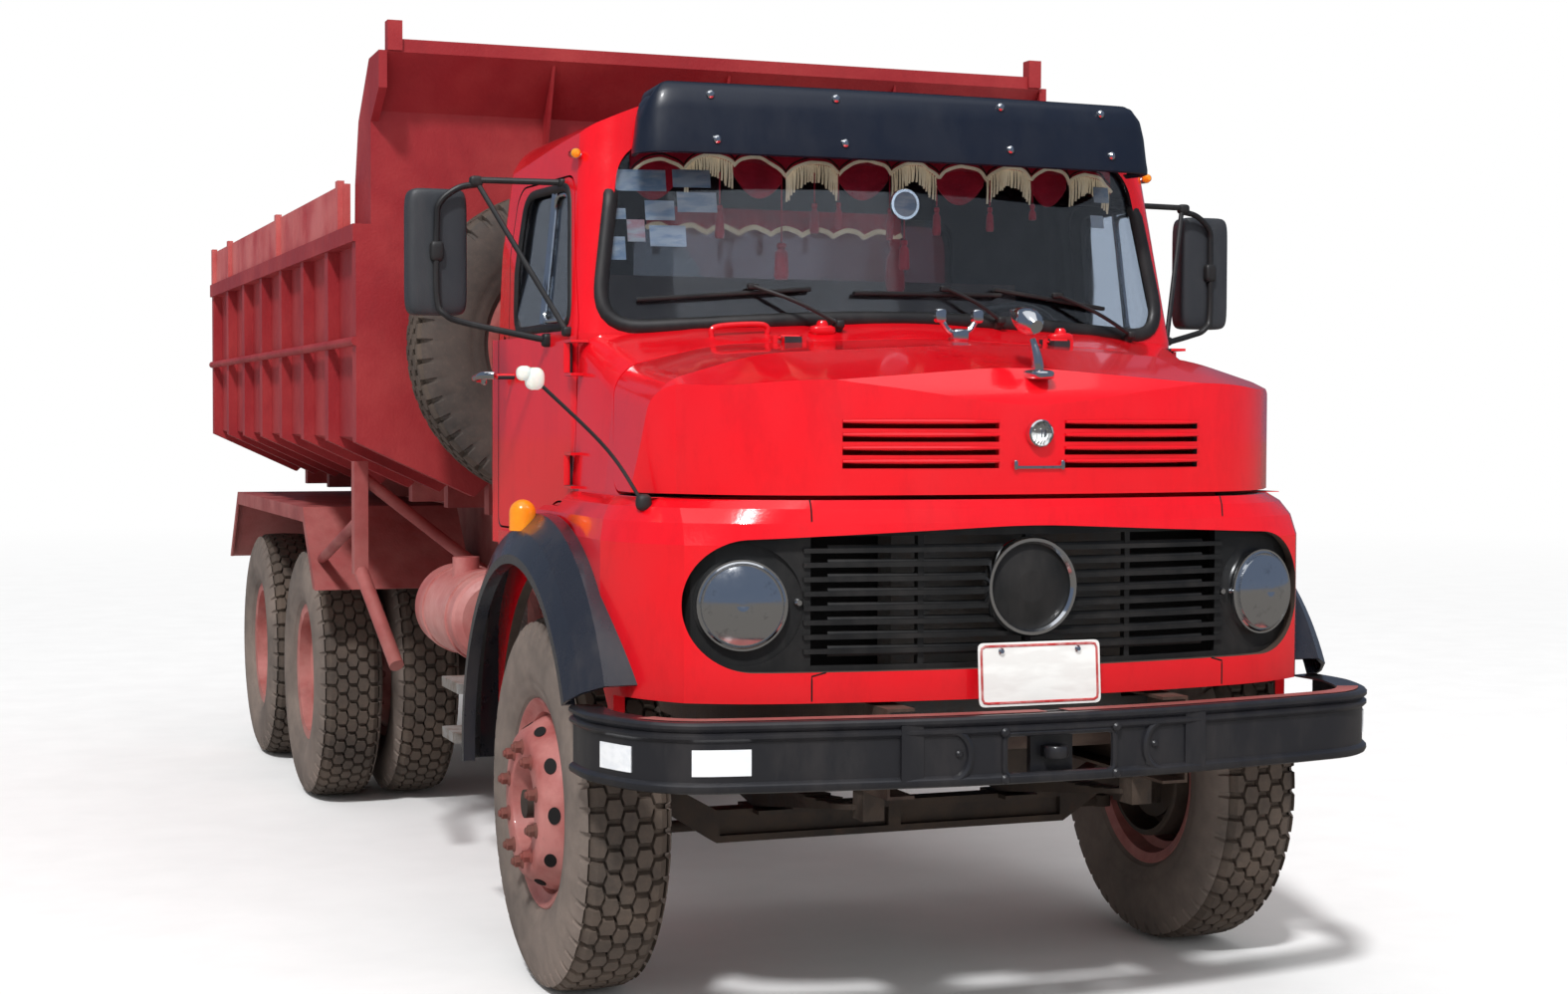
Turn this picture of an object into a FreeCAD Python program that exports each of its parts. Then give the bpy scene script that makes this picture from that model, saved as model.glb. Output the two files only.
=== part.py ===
import FreeCAD, Part
import math
import os
import re
import Sketcher

# Short-bonneted three-axle tipper truck, in millimetres.
# Every piece is drawn about the front axle: y = 0 at that axle, the truck faces -Y, z = 0 on the
# road, and its right-hand side is -X. Each finished piece is then placed along Y, so that the
# origin of the document lies under the middle of the truck.

V = FreeCAD.Vector
X_AXIS = V(1, 0, 0)
Y_AXIS = V(0, 1, 0)
Z_AXIS = V(0, 0, 1)
ORIGIN = V(0, 0, 0)
ALONG = {"x": X_AXIS, "y": Y_AXIS, "z": Z_AXIS}
TURN = {"x": (Y_AXIS, 90), "y": (X_AXIS, -90), "z": (Z_AXIS, 0)}

# Driving dimensions: name, value in millimetres or degrees, what it is
SIZES = (
    ("bumper_reach", 1100, "front of the bumper ahead of the front axle"),
    ("rear_reach", 5700, "rearmost point behind the front axle"),
    ("wheelbase", 3600, "front axle to first rear axle"),
    ("bogie_spread", 1320, "first to second rear axle"),
    ("running_gap", 8, "space between a moving piece and its neighbour"),
    ("panel_gap", 6, "space round a door or hood"),
    ("pin_fit", 0.05, "radial clearance of a pin in its bore"),
    ("tyre_radius", 525, "outside radius of every tyre"),
    ("tyre_width", 275, "width of every tyre over its sidewalls"),
    ("tread_width", 215, "width of the flat tread"),
    ("rim_seat_radius", 262, "radius of the bead seat"),
    ("rim_flange_radius", 295, "radius of the rim flange"),
    ("rim_width", 205, "width over the rim flanges"),
    ("rim_wall", 9, "thickness of the rim barrel"),
    ("disc_wall", 14, "thickness of a wheel disc"),
    ("wheel_offset", 160, "tyre centre to the outer face of its disc"),
    ("disc_radius", 172, "radius of the flat of the disc"),
    ("hub_bore_radius", 126, "radius of the disc's centre hole"),
    ("stud_circle", 167.5, "radius of the wheel-stud circle"),
    ("stud_count", 10, "studs in each wheel"),
    ("stud_radius", 14, "radius of a wheel nut and sleeve"),
    ("hand_hole_count", 10, "hand holes in each wheel disc"),
    ("drum_radius", 208, "outside radius of a brake drum"),
    ("spindle_radius", 40, "radius of an axle spindle in its hub"),
    ("front_track_half", 965, "truck centre to the front tyre centre"),
    ("rear_track_half", 890, "truck centre to the middle of a twin wheel"),
    ("kingpin_half", 820, "truck centre to a kingpin"),
    ("kingpin_radius", 20, "radius of a kingpin"),
    ("steer_arm", 200, "length of each steering arm"),
    ("rail_half", 432.5, "truck centre to the outside of a frame rail"),
    ("rail_height", 230, "height of a frame rail"),
    ("rail_flange", 75, "width of a rail's flanges"),
    ("rail_wall", 8, "thickness of a rail"),
    ("rail_bottom", 650, "underside of the frame rails above the road"),
    ("rail_setback", 115, "front ends of the rails behind the bumper's front"),
    ("rail_overhang", 130, "how far the rails run behind the bed hinge"),
    ("subframe_height", 170, "height of the tipper subframe"),
    ("subframe_width", 90, "width of a subframe rail"),
    ("subframe_front", 1650, "front end of the subframe"),
    ("hinge_back", 5150, "bed hinge behind the front axle"),
    ("hinge_rise", 150, "bed hinge above the frame's top"),
    ("bumper_half", 1128, "half width of the bumper"),
    ("bumper_bottom", 690, "underside of the bumper"),
    ("bumper_height", 180, "height of the bumper"),
    ("bumper_wall", 12, "thickness of the bumper's pressing"),
    ("bumper_slot", 300, "width of the slot in the bumper"),
    ("tow_bore_radius", 14, "radius of the tow lug's hole"),
    ("pillar_half", 967, "half width of the cab at its front pillars, belt height"),
    ("cab_half", 1028, "half width of the cab at its rear corners, belt height"),
    ("cab_floor", 1225, "underside of the cab"),
    ("cab_belt", 1850, "height of the belt line"),
    ("pillar_lean", 47, "how far the front pillars lean in up to the gutter"),
    ("side_lean", 60, "how far the rear corners lean in up to the gutter"),
    ("gutter_rise", 2335, "height of the roof gutter"),
    ("roof_rise", 2605, "top of the roof"),
    ("cab_back", 830, "rear wall behind the front axle"),
    ("cab_wall", 36, "thickness of the cab's walls and doors"),
    ("screen_foot", 130, "middle of the windscreen's foot ahead of the front axle"),
    ("screen_rake", 100, "how far the windscreen leans back up to the gutter"),
    ("firewall_reach", 250, "firewall ahead of the front axle"),
    ("door_lead", 30, "front edge of a door behind the front axle"),
    ("door_back", 700, "rear edge of a door behind the front axle"),
    ("door_sill", 1272, "lower edge of a door at its rear"),
    ("door_step", 1366, "lower edge of a door over the wheel arch"),
    ("door_top", 2315, "top edge of a door"),
    ("hood_half", 972, "half width of the hood at its lower edge"),
    ("hood_nose", 923, "front of the hood ahead of the front axle"),
    ("panel_half", 1034, "half width over the wings"),
    ("panel_nose", 937, "front of the front panel ahead of the front axle"),
    ("hood_sill", 1410, "lower edge of the hood"),
    ("hood_crown", 1842, "top of the hood at its rear"),
    ("hood_wall", 24, "thickness of the hood"),
    ("nose_wall", 30, "thickness of the front panel and wings"),
    ("panel_bottom", 890, "lower edge of the front panel"),
    ("arch_radius", 600, "radius of the front wheel arch"),
    ("arch_rise", 600, "centre of the front wheel arch above the road"),
    ("arch_back", 30, "centre of the wheel arch behind the front axle"),
    ("flare_half", 1150, "half width over the arch flares"),
    ("flare_wall", 8, "thickness of an arch flare"),
    ("lamp_half", 756, "truck centre to a headlamp"),
    ("lamp_rise", 1138, "height of the headlamps"),
    ("lamp_seat", 137, "headlamp rings behind the panel's front"),
    ("lamp_radius", 116, "radius of a headlamp ring"),
    ("visor_half", 815, "half width of the sun visor"),
    ("visor_reach", 160, "front of the visor ahead of the front axle"),
    ("tank_radius", 150, "radius of the fuel tank"),
    ("tank_length", 640, "length of the fuel tank"),
    ("tank_aside", 935, "truck centre to the tank's middle"),
    ("tank_front", 1060, "front end of the tank behind the front axle"),
    ("tank_rise", 950, "height of the tank's middle"),
    ("bed_front", 1600, "front wall of the bed behind the front axle"),
    ("bed_half", 1260, "half width of the bed over its side sheets"),
    ("bed_floor", 1380, "underside of the bed's floor"),
    ("bed_sill_half", 860, "half width of the flat of the floor"),
    ("bed_kink", 1540, "height where the bed's sides turn upright"),
    ("bed_rail", 2270, "top of the bed's side rails"),
    ("bed_wall", 30, "thickness of the bed's sheets"),
    ("rib_depth", 40, "how far a bed rib stands out"),
    ("rib_width", 70, "width of a bed rib"),
    ("rib_count", 8, "ribs along each side of the bed"),
    ("board_height", 165, "height of the side boards on the rails"),
    ("canopy_rise", 2880, "height of the canopy's lip"),
    ("gate_wall", 60, "thickness of the tailgate"),
    ("guard_rise", 1240, "top of the mudguards over the bogie"),
    ("guard_half", 1225, "half width over the mudguards"),
    ("spare_back", 1250, "spare wheel behind the front axle"),
    ("spare_aside", 660, "spare wheel to the right of the middle"),
    ("spare_rise", 1850, "height of the spare wheel's centre"),
)

DOC = FreeCAD.newDocument("TipperTruck")
SHEET = DOC.addObject("Spreadsheet::Sheet", "Sizes")
NODES = []


class Values:
    """The driving dimensions as numbers, read back from the sheet."""


def fill_sheet():
    """Write every driving dimension into the sheet under its own name."""
    for row, (alias, value, meaning) in enumerate(SIZES, start=1):
        SHEET.set(f"A{row}", meaning)
        SHEET.set(f"B{row}", str(value))
        SHEET.setAlias(f"B{row}", alias)
    DOC.recompute()
    for alias, _value, _meaning in SIZES:
        setattr(Values, alias, float(SHEET.get(alias)))


fill_sheet()
s = Values
CENTRE_SHIFT = "(bumper_reach - rear_reach) / 2"
RAIL_TOP = s.rail_bottom + s.rail_height
REAR_AXLES = (s.wheelbase, s.wheelbase + s.bogie_spread)
BOGIE_MIDDLE = s.wheelbase + s.bogie_spread / 2
HINGE_Z = RAIL_TOP + s.hinge_rise
FLARE_START = 4
FLARE_END = 154
HOOD_HINGE_Y = -s.firewall_reach
HOOD_HINGE_Z = s.hood_crown - 6
DOOR_HINGE_X = s.pillar_half + 12
DOOR_HINGE_Y = s.door_lead + 22
DOOR_HINGES = (1462, 1780)
DOOR_INNER = 840
COWL_GAP = 4
WHEEL_Y = 210
WHEEL_Z = 1800
HOIST_EYE_Y = 2300
HOIST_EYE_Z = 1150
HOIST_FOOT_Y = BOGIE_MIDDLE
HOIST_FOOT_Z = 985


def on_sheet(text):
    """Point every driving dimension named in an expression at its cell."""
    return re.sub(r"[a-z][a-z_]+", lambda word: "Sizes." + word.group(), str(text))


def bind(item, **cells):
    """Bind properties of an object to expressions on the sheet."""
    for name, text in cells.items():
        item.setExpression(name, on_sheet(text))
    return item


def put(item, x=0, y=0, z=0):
    """Bind an object's position to expressions on the sheet."""
    item.setExpression("Placement.Base.x", on_sheet(x))
    item.setExpression("Placement.Base.y", on_sheet(y))
    item.setExpression("Placement.Base.z", on_sheet(z))
    return item


def box(name, x, y, z, length, width, height):
    """Box from its low corner and its three edges."""
    item = bind(DOC.addObject("Part::Box", name), Length=length, Width=width, Height=height)
    return put(item, x, y, z)


def rod(name, x, y, z, radius, length, way="z"):
    """Cylinder from the centre of its first end, along one axis."""
    item = bind(DOC.addObject("Part::Cylinder", name), Radius=radius, Height=length)
    item.Placement.Rotation = FreeCAD.Rotation(*TURN[way])
    return put(item, x, y, z)


def gather(name, kind, items):
    """Compound or fusion of several objects."""
    item = DOC.addObject(kind, name)
    if kind == "Part::Compound":
        item.Links = items
    else:
        item.Shapes = items
    return item


def fuse(name, *items):
    """Join pieces into one solid."""
    return gather(name, "Part::MultiFuse", list(items))


def node(label, *items):
    """Finished sub-part: gives the piece its name and its place along the truck."""
    item = gather(label, "Part::Compound", list(items))
    item.Label = label
    item.setExpression("Placement.Base.y", on_sheet(CENTRE_SHIFT))
    NODES.append(item)
    return item


def shaped(name, shape):
    """Object that holds a shape worked out from the sheet's values."""
    item = DOC.addObject("Part::Feature", name)
    item.Shape = shape
    return item


def polygon(points):
    """Closed flat face through the points."""
    corners = [V(*point) for point in points]
    return Part.Face(Part.makePolygon(corners + [corners[0]]))


def prism(points, way, low, high):
    """Polygon in the plane square to an axis, extruded from low to high along it.

    The points are (y, z) for x, (x, z) for y and (x, y) for z.
    """
    if way == "x":
        corners = [(low, a, b) for a, b in points]
    elif way == "y":
        corners = [(a, low, b) for a, b in points]
    else:
        corners = [(a, b, low) for a, b in points]
    return polygon(corners).extrude(ALONG[way] * (high - low))


def rounded(points, radii):
    """Flat outline with a tangent arc at each corner; the points are plain pairs."""
    flat = [V(a, b, 0) for a, b in points]
    count = len(flat)
    edges = []
    starts, ends = [], []
    for i, corner in enumerate(flat):
        before = (flat[i - 1] - corner)
        after = (flat[(i + 1) % count] - corner)
        turn = before.getAngle(after)
        reach = radii[i] / math.tan(turn / 2) if radii[i] else 0
        first = corner + before.normalize() * reach
        last = corner + after.normalize() * reach
        starts.append(first)
        ends.append(last)
    for i, corner in enumerate(flat):
        if radii[i]:
            middle = starts[i] + (ends[i] - starts[i]) / 2
            towards = (corner - middle)
            half = (ends[i] - starts[i]).Length / 2
            sag = radii[i] - math.sqrt(max(radii[i] ** 2 - half ** 2, 0))
            peak = middle + towards.normalize() * sag
            edges.append(Part.Arc(starts[i], peak, ends[i]).toShape())
        nxt = starts[(i + 1) % count]
        if (nxt - ends[i]).Length > 1e-6:
            edges.append(Part.LineSegment(ends[i], nxt).toShape())
    return Part.Face(Part.Wire(edges))


def slab(face, way, low, high):
    """Flat outline stood square to an axis and extruded from low to high along it."""
    turned = face.copy()
    if way == "x":
        turned.rotate(ORIGIN, V(1, 1, 1), 120)
    elif way == "y":
        turned.rotate(ORIGIN, X_AXIS, 90)
    turned.translate(ALONG[way] * low)
    return turned.extrude(ALONG[way] * (high - low))


def block(x0, x1, y0, y1, z0, z1):
    """Plain box between two corners."""
    return Part.makeBox(x1 - x0, y1 - y0, z1 - z0, V(x0, y0, z0))


def both_sides(shape):
    """A shape and its mirror image, as two solids."""
    return Part.makeCompound([shape, shape.mirror(ORIGIN, X_AXIS)])


def pipe(points, radius):
    """Round bar along straight runs, with a ball at each bend."""
    runs = []
    for first, last in zip(points, points[1:]):
        start, end = V(*first), V(*last)
        runs.append(Part.makeCylinder(radius, (end - start).Length, start, end - start))
    for corner in points[1:-1]:
        runs.append(Part.makeSphere(radius, V(*corner)))
    return runs[0].multiFuse(runs[1:]) if len(runs) > 1 else runs[0]


# Sketches and bodies

def outline_sketch(body, name, plane, points):
    """Closed outline on an origin plane, each corner held by two lengths from the sheet."""
    sketch = body.newObject("Sketcher::SketchObject", name)
    planes = [item for item in body.Origin.OriginFeatures if item.Role == plane]
    sketch.AttachmentSupport = (planes[0], [""])
    sketch.MapMode = "FlatFace"
    texts = [(on_sheet(a), on_sheet(b)) for a, b in points]
    values = [(sheet_value(a), sheet_value(b)) for a, b in texts]
    for i, (a, b) in enumerate(values):
        after = values[(i + 1) % len(values)]
        sketch.addGeometry(Part.LineSegment(V(a, b, 0), V(after[0], after[1], 0)), False)
    for i in range(len(values)):
        sketch.addConstraint(Sketcher.Constraint("Coincident", i, 2, (i + 1) % len(values), 1))
    for i, (a, b) in enumerate(values):
        for kind, value, text in (("DistanceX", a, texts[i][0]), ("DistanceY", b, texts[i][1])):
            index = sketch.addConstraint(Sketcher.Constraint(kind, -1, 1, i, 1, value))
            sketch.setExpression(f"Constraints[{index}]", text)
    return sketch


def sheet_value(text):
    """Present value of an expression on the sheet."""
    found = SHEET.evalExpression(text)
    return float(getattr(found, "Value", found))


def turned_body(name, points):
    """Outline of (along, radius) pairs turned about the X axis."""
    body = DOC.addObject("PartDesign::Body", name)
    sketch = outline_sketch(body, name + "_section", "XY_Plane", points)
    turn = body.newObject("PartDesign::Revolution", name + "_turn")
    turn.Profile = (sketch, [""])
    turn.ReferenceAxis = (sketch, ["H_Axis"])
    turn.Angle = 360
    body.Tip = turn
    return body


def padded_body(name, plane, points, length, reverse=False):
    """Outline on an origin plane padded to a length."""
    body = DOC.addObject("PartDesign::Body", name)
    sketch = outline_sketch(body, name + "_section", plane, points)
    pad = body.newObject("PartDesign::Pad", name + "_pad")
    pad.Profile = (sketch, [""])
    pad.Reversed = reverse
    bind(pad, Length=length)
    body.Tip = pad
    return body


# Frame

def frame_rail(side, sign):
    """Channel-section rail, open towards the middle of the truck."""
    outer = f"{sign} * rail_half"
    web = f"{sign} * (rail_half - rail_wall)"
    lip = f"{sign} * (rail_half - rail_flange)"
    section = (
        (outer, "rail_bottom"), (lip, "rail_bottom"), (lip, "rail_bottom + rail_wall"),
        (web, "rail_bottom + rail_wall"), (web, "rail_bottom + rail_height - rail_wall"),
        (lip, "rail_bottom + rail_height - rail_wall"), (lip, "rail_bottom + rail_height"),
        (outer, "rail_bottom + rail_height"))
    length = "bumper_reach - rail_setback + hinge_back + rail_overhang"
    rail = padded_body("rail_" + side, "XZ_Plane", section, length, True)
    put(rail, 0, "rail_setback - bumper_reach", 0)
    node("frame_rail_" + side, rail)


def cross_members():
    """Round tubes between the rail webs, the hoist's foot and the posts under the cab."""
    tubes = []
    stations = ("-680", "2000", "2700", "wheelbase + bogie_spread / 2", "hinge_back + 60")
    for i, station in enumerate(stations):
        tubes.append(rod(f"cross_tube_{i}", "rail_wall - rail_half", station,
                         "rail_bottom + rail_height / 2", 50, "2 * (rail_half - rail_wall)", "x"))
    posts = []
    for y in (-240, 700):
        post = block(s.rail_half - 70, s.rail_half - 4, y, y + 80, RAIL_TOP, s.cab_floor)
        posts.extend([post, post.mirror(ORIGIN, X_AXIS)])
    cab_mounts = shaped("cab_mounts", Part.makeCompound(posts))
    node("cross_members", *tubes, shaped("hoist_bracket", hoist_foot()), cab_mounts)


def hoist_foot():
    """Beam over the bogie's cross tube, with the plates and the pin that carry the hoist."""
    near, far = HOIST_FOOT_Y - 60, HOIST_FOOT_Y + 60
    low = s.rail_bottom + s.rail_height / 2 + 50
    web = s.rail_half - s.rail_wall
    beam = block(-web, web, near, far, low, RAIL_TOP - 20)
    plates = [block(x, x + 20, near, far, low, HOIST_FOOT_Z + 50) for x in (-70, 50)]
    pin = Part.makeCylinder(30, 140, V(-70, HOIST_FOOT_Y, HOIST_FOOT_Z), X_AXIS)
    return beam.multiFuse(plates + [pin])


def subframe():
    """Two box rails on the frame, with the pins that the bed swings on."""
    rails = []
    side_view = (
        ("subframe_front", "rail_bottom + rail_height"), ("hinge_back + 130", "rail_bottom + rail_height"),
        ("hinge_back - 8", "rail_bottom + rail_height + subframe_height"),
        ("subframe_front + 160", "rail_bottom + rail_height + subframe_height"),
        ("subframe_front", "rail_bottom + rail_height + 30"))
    for side, start in (("right", "-rail_half"), ("left", "rail_half - subframe_width")):
        rail = padded_body(f"subframe_{side}", "YZ_Plane", side_view, "subframe_width")
        rails.append(put(rail, start, "0", "0"))
    pins = []
    for side, start in (("right", "-rail_half - 50"), ("left", "rail_half - 10")):
        pins.append(rod(f"bed_pin_{side}", start, "hinge_back", "rail_bottom + rail_height + hinge_rise",
                        30, 60, "x"))
    joined = [fuse(f"subframe_with_pin_{i}", rail, pin) for i, (rail, pin) in enumerate(zip(rails, pins))]
    node("subframe", *joined)


# Front axle, knuckles and steering

AXLE_BEAM_TOP = 480
PIN_LENGTH = 210


def front_axle():
    """Dropped forged beam with an eye for each kingpin."""
    low, high = AXLE_BEAM_TOP - 95, AXLE_BEAM_TOP
    eye = s.tyre_radius
    x1, x2, x3 = 560, 700, s.kingpin_half
    lower = [(-x3, eye - 45), (-x2, eye - 50), (-x1, low), (x1, low), (x2, eye - 50), (x3, eye - 45)]
    upper = [(x3, eye + 45), (x2, eye + 35), (x1, high), (-x1, high), (-x2, eye + 35), (-x3, eye + 45)]
    beam = prism(lower + upper, "y", -38, 38)
    waist = both_sides(prism([(20, low + 20), (x1 - 10, low + 20), (x1 - 10, high - 20), (20, high - 20)],
                             "y", -38, -14))
    waist_back = waist.mirror(ORIGIN, Y_AXIS)
    beam = beam.cut(waist).cut(waist_back)
    for sign in (-1, 1):
        beam = beam.fuse(Part.makeCylinder(45, 110, V(sign * x3, 0, eye - 55), Z_AXIS))
    for sign in (-1, 1):
        bore = s.kingpin_radius + s.pin_fit
        beam = beam.cut(Part.makeCylinder(bore, 140, V(sign * x3, 0, eye - 70), Z_AXIS))
    for sign in (-1, 1):
        beam = beam.fuse(block(sign * 395 - 55, sign * 395 + 55, -90, 90, high - 12, high))
    node("front_axle", shaped("front_axle_beam", beam))


def knuckle_shape(sign):
    """Yoke round the kingpin, spindle, backing flange and steering arm."""
    pin_x = sign * s.kingpin_half
    eye = s.tyre_radius
    yoke = block(min(pin_x - 44 * sign, pin_x + 75 * sign), max(pin_x - 44 * sign, pin_x + 75 * sign),
                 -42, 42, eye - 100, eye - 60)
    yoke = yoke.fuse(yoke.mirror(V(0, 0, eye), Z_AXIS))
    wall = block(min(pin_x + 52 * sign, pin_x + 75 * sign), max(pin_x + 52 * sign, pin_x + 75 * sign),
                 -60, 60, eye - 100, eye + 100)
    out = V(sign, 0, 0)
    flange = Part.makeCylinder(150, 14, V(sign * (s.kingpin_half + 66), 0, eye), out)
    reach = s.front_track_half + s.wheel_offset - 5 - s.kingpin_half - 66
    spindle = Part.makeCylinder(s.spindle_radius, reach, V(sign * (s.kingpin_half + 66), 0, eye), out)
    kingpin = Part.makeCylinder(s.kingpin_radius, PIN_LENGTH, V(pin_x, 0, eye - PIN_LENGTH / 2), Z_AXIS)
    arm = block(pin_x - 16, pin_x + 16, -42, s.steer_arm + 16, eye - 100, eye - 78)
    stub = Part.makeCylinder(11, 40, V(pin_x, s.steer_arm, eye - 130), Z_AXIS)
    return yoke.multiFuse([wall, flange, spindle, kingpin, arm, stub])


def tie_rod():
    """Track rod behind the axle, an eye on each steering arm's pin."""
    level = s.tyre_radius - 128
    bar = Part.makeCylinder(18, 2 * s.kingpin_half - 50, V(25 - s.kingpin_half, s.steer_arm, level), X_AXIS)
    shape = bar
    for sign in (-1, 1):
        eye = Part.makeCylinder(30, 36, V(sign * s.kingpin_half, s.steer_arm, level - 18), Z_AXIS)
        shape = shape.fuse(eye)
    right = Part.makeCylinder(11 + s.pin_fit, 80, V(-s.kingpin_half, s.steer_arm, level - 40), Z_AXIS)
    left = Part.makeCylinder(16, 80, V(s.kingpin_half, s.steer_arm, level - 40), Z_AXIS)
    node("tie_rod", shaped("tie_rod_bar", shape.cut(right).cut(left)))


# Wheels

TYRE_SECTION = (
    ("-rim_width / 2 + 14", "rim_seat_radius"), ("rim_width / 2 - 14", "rim_seat_radius"),
    ("rim_width / 2 - 10", "rim_flange_radius + 4"), ("tyre_width / 2", "0.55 * rim_seat_radius + 0.45 * tyre_radius"),
    ("tread_width / 2 + 20", "tyre_radius - 30"), ("tread_width / 2", "tyre_radius - 6"),
    ("tread_width / 6", "tyre_radius"), ("-tread_width / 6", "tyre_radius"),
    ("-tread_width / 2", "tyre_radius - 6"), ("-tread_width / 2 - 20", "tyre_radius - 30"),
    ("-tyre_width / 2", "0.55 * rim_seat_radius + 0.45 * tyre_radius"),
    ("10 - rim_width / 2", "rim_flange_radius + 4"))

RIM_SECTION = (
    ("rim_width / 2", "rim_flange_radius"), ("rim_width / 2 - 9", "rim_flange_radius"),
    ("rim_width / 2 - 14", "rim_seat_radius"), ("45", "rim_seat_radius - 2"), ("32", "rim_seat_radius - 24"),
    ("-32", "rim_seat_radius - 24"), ("-45", "rim_seat_radius - 2"), ("14 - rim_width / 2", "rim_seat_radius"),
    ("9 - rim_width / 2", "rim_flange_radius"), ("-rim_width / 2", "rim_flange_radius"),
    ("4 - rim_width / 2", "rim_seat_radius - rim_wall"), ("-49", "rim_seat_radius - rim_wall - 2"),
    ("-36", "rim_seat_radius - rim_wall - 24"), ("36", "rim_seat_radius - rim_wall - 24"),
    ("52", "rim_seat_radius - rim_wall - 8"), ("wheel_offset - disc_wall - 34", "disc_radius + 34"),
    ("wheel_offset - disc_wall", "disc_radius - 6"), ("wheel_offset - disc_wall", "hub_bore_radius"),
    ("wheel_offset", "hub_bore_radius"), ("wheel_offset", "disc_radius"),
    ("wheel_offset - 26", "disc_radius + 42"), ("wheel_offset - 68", "rim_seat_radius - rim_wall - 2"),
    ("rim_width / 2 - 4", "rim_seat_radius - rim_wall"))


def rim_body(name):
    """Pressed wheel: well, dished disc and a ring of hand holes through the disc's slope."""
    body = turned_body(name, RIM_SECTION)
    hole = body.newObject("Sketcher::SketchObject", name + "_hand_hole")
    planes = [item for item in body.Origin.OriginFeatures if item.Role == "YZ_Plane"]
    hole.AttachmentSupport = (planes[0], [""])
    hole.MapMode = "FlatFace"
    middle = sheet_value(on_sheet("disc_radius + 30"))
    hole.addGeometry(Part.Circle(V(middle, 0, 0), Z_AXIS, 17), False)
    hole.addConstraint(Sketcher.Constraint("PointOnObject", 0, 3, -1))
    reach = hole.addConstraint(Sketcher.Constraint("DistanceX", -1, 1, 0, 3, middle))
    hole.setExpression(f"Constraints[{reach}]", on_sheet("disc_radius + 30"))
    hole.addConstraint(Sketcher.Constraint("Radius", 0, 17))
    DOC.recompute()
    pocket = body.newObject("PartDesign::Pocket", name + "_hole")
    pocket.Profile = (hole, [""])
    pocket.Reversed = True
    bind(pocket, Length="wheel_offset + 10")
    ring = body.newObject("PartDesign::PolarPattern", name + "_holes")
    ring.Originals = [pocket]
    ring.Axis = ([item for item in body.Origin.OriginFeatures if item.Role == "X_Axis"][0], [""])
    ring.Angle = 360
    bind(ring, Occurrences="hand_hole_count")
    body.Tip = ring
    return body


def hub_shape(sign, disc_face, stack, drum_depth, nose):
    """Hub, brake drum and wheel nuts of one wheel.

    disc_face is the outboard face of the outermost disc, stack the discs' total thickness.
    """
    out = V(sign, 0, 0)

    def barrel(radius, start, length):
        return Part.makeCylinder(radius, length, V(sign * start, 0, 0), out)

    back = disc_face - stack
    flange = barrel(s.disc_radius + 20, back - 22, 22)
    drum = barrel(s.drum_radius, back - 22 - drum_depth, drum_depth)
    drum = drum.cut(barrel(s.drum_radius - 16, back - 22 - drum_depth, drum_depth - 14))
    core = barrel(s.hub_bore_radius, back - 22, stack + 22 + 26)
    snout = barrel(88, disc_face, nose)
    cap = barrel(62, disc_face + nose, 22)
    inner = barrel(s.spindle_radius + 34, back - 22 - drum_depth + 30, drum_depth - 10)
    solids = [flange, drum, core, snout, cap, inner]
    for i in range(int(s.stud_count)):
        angle = 2 * math.pi * (i + 0.5) / s.stud_count
        y, z = s.stud_circle * math.cos(angle), s.stud_circle * math.sin(angle)
        solids.append(Part.makeCylinder(s.stud_radius, 46, V(sign * (disc_face - 4), y, z), out))
    return solids[0].multiFuse(solids[1:])


def place_wheel(item, facing, across, along):
    """Stand a wheel piece on its axle with its disc towards one side."""
    if facing < 0:
        item.Placement.Rotation = FreeCAD.Rotation(Z_AXIS, 180)
    return put(item, across, along, "tyre_radius")


def front_wheel(side, sign):
    """Single front wheel with its hub."""
    across = f"{sign} * front_track_half"
    tyre = place_wheel(turned_body(f"tyre_f_{side}", TYRE_SECTION), sign, across, "0")
    node(f"tyre_front_{side}", tyre)
    rim = place_wheel(rim_body(f"rim_f_{side}"), sign, across, "0")
    face = s.front_track_half + s.wheel_offset
    hub = hub_shape(sign, face, s.disc_wall, 165, 60)
    bore = Part.makeCylinder(s.spindle_radius + s.pin_fit, face, V(0, 0, 0), V(sign, 0, 0))
    hub = hub.cut(bore)
    hub.translate(V(0, 0, s.tyre_radius))
    node(f"rim_front_{side}", fuse(f"wheel_f_{side}", rim, shaped(f"hub_f_{side}", hub)))


def twin_wheel(side, sign, number):
    """Pair of wheels back to back on one hub."""
    along = "wheelbase" if number == 1 else "wheelbase + bogie_spread"
    tag = f"{side}_{number}"
    tyres, rims = [], []
    for row, offset, facing in (("inner", "-", sign), ("outer", "+", -sign)):
        across = f"{sign} * (rear_track_half {offset} wheel_offset)"
        tyre = turned_body(f"tyre_{row}_{tag}", TYRE_SECTION)
        tyres.append(place_wheel(tyre, facing, across, along))
        rims.append(place_wheel(rim_body(f"rim_{row}_{tag}"), facing, across, along))
    node(f"tyres_rear_{tag}", *tyres)
    face = s.rear_track_half + s.disc_wall
    hub = hub_shape(sign, face, 2 * s.disc_wall, 170, 110)
    bore = Part.makeCylinder(s.spindle_radius + s.pin_fit, face + 60, V(0, 0, 0), V(sign, 0, 0))
    hub = hub.cut(bore)
    hub.translate(V(0, REAR_AXLES[number - 1], s.tyre_radius))
    node(f"rims_rear_{tag}", fuse(f"wheel_r_{tag}", *rims, shaped(f"hub_r_{tag}", hub)))


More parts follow.
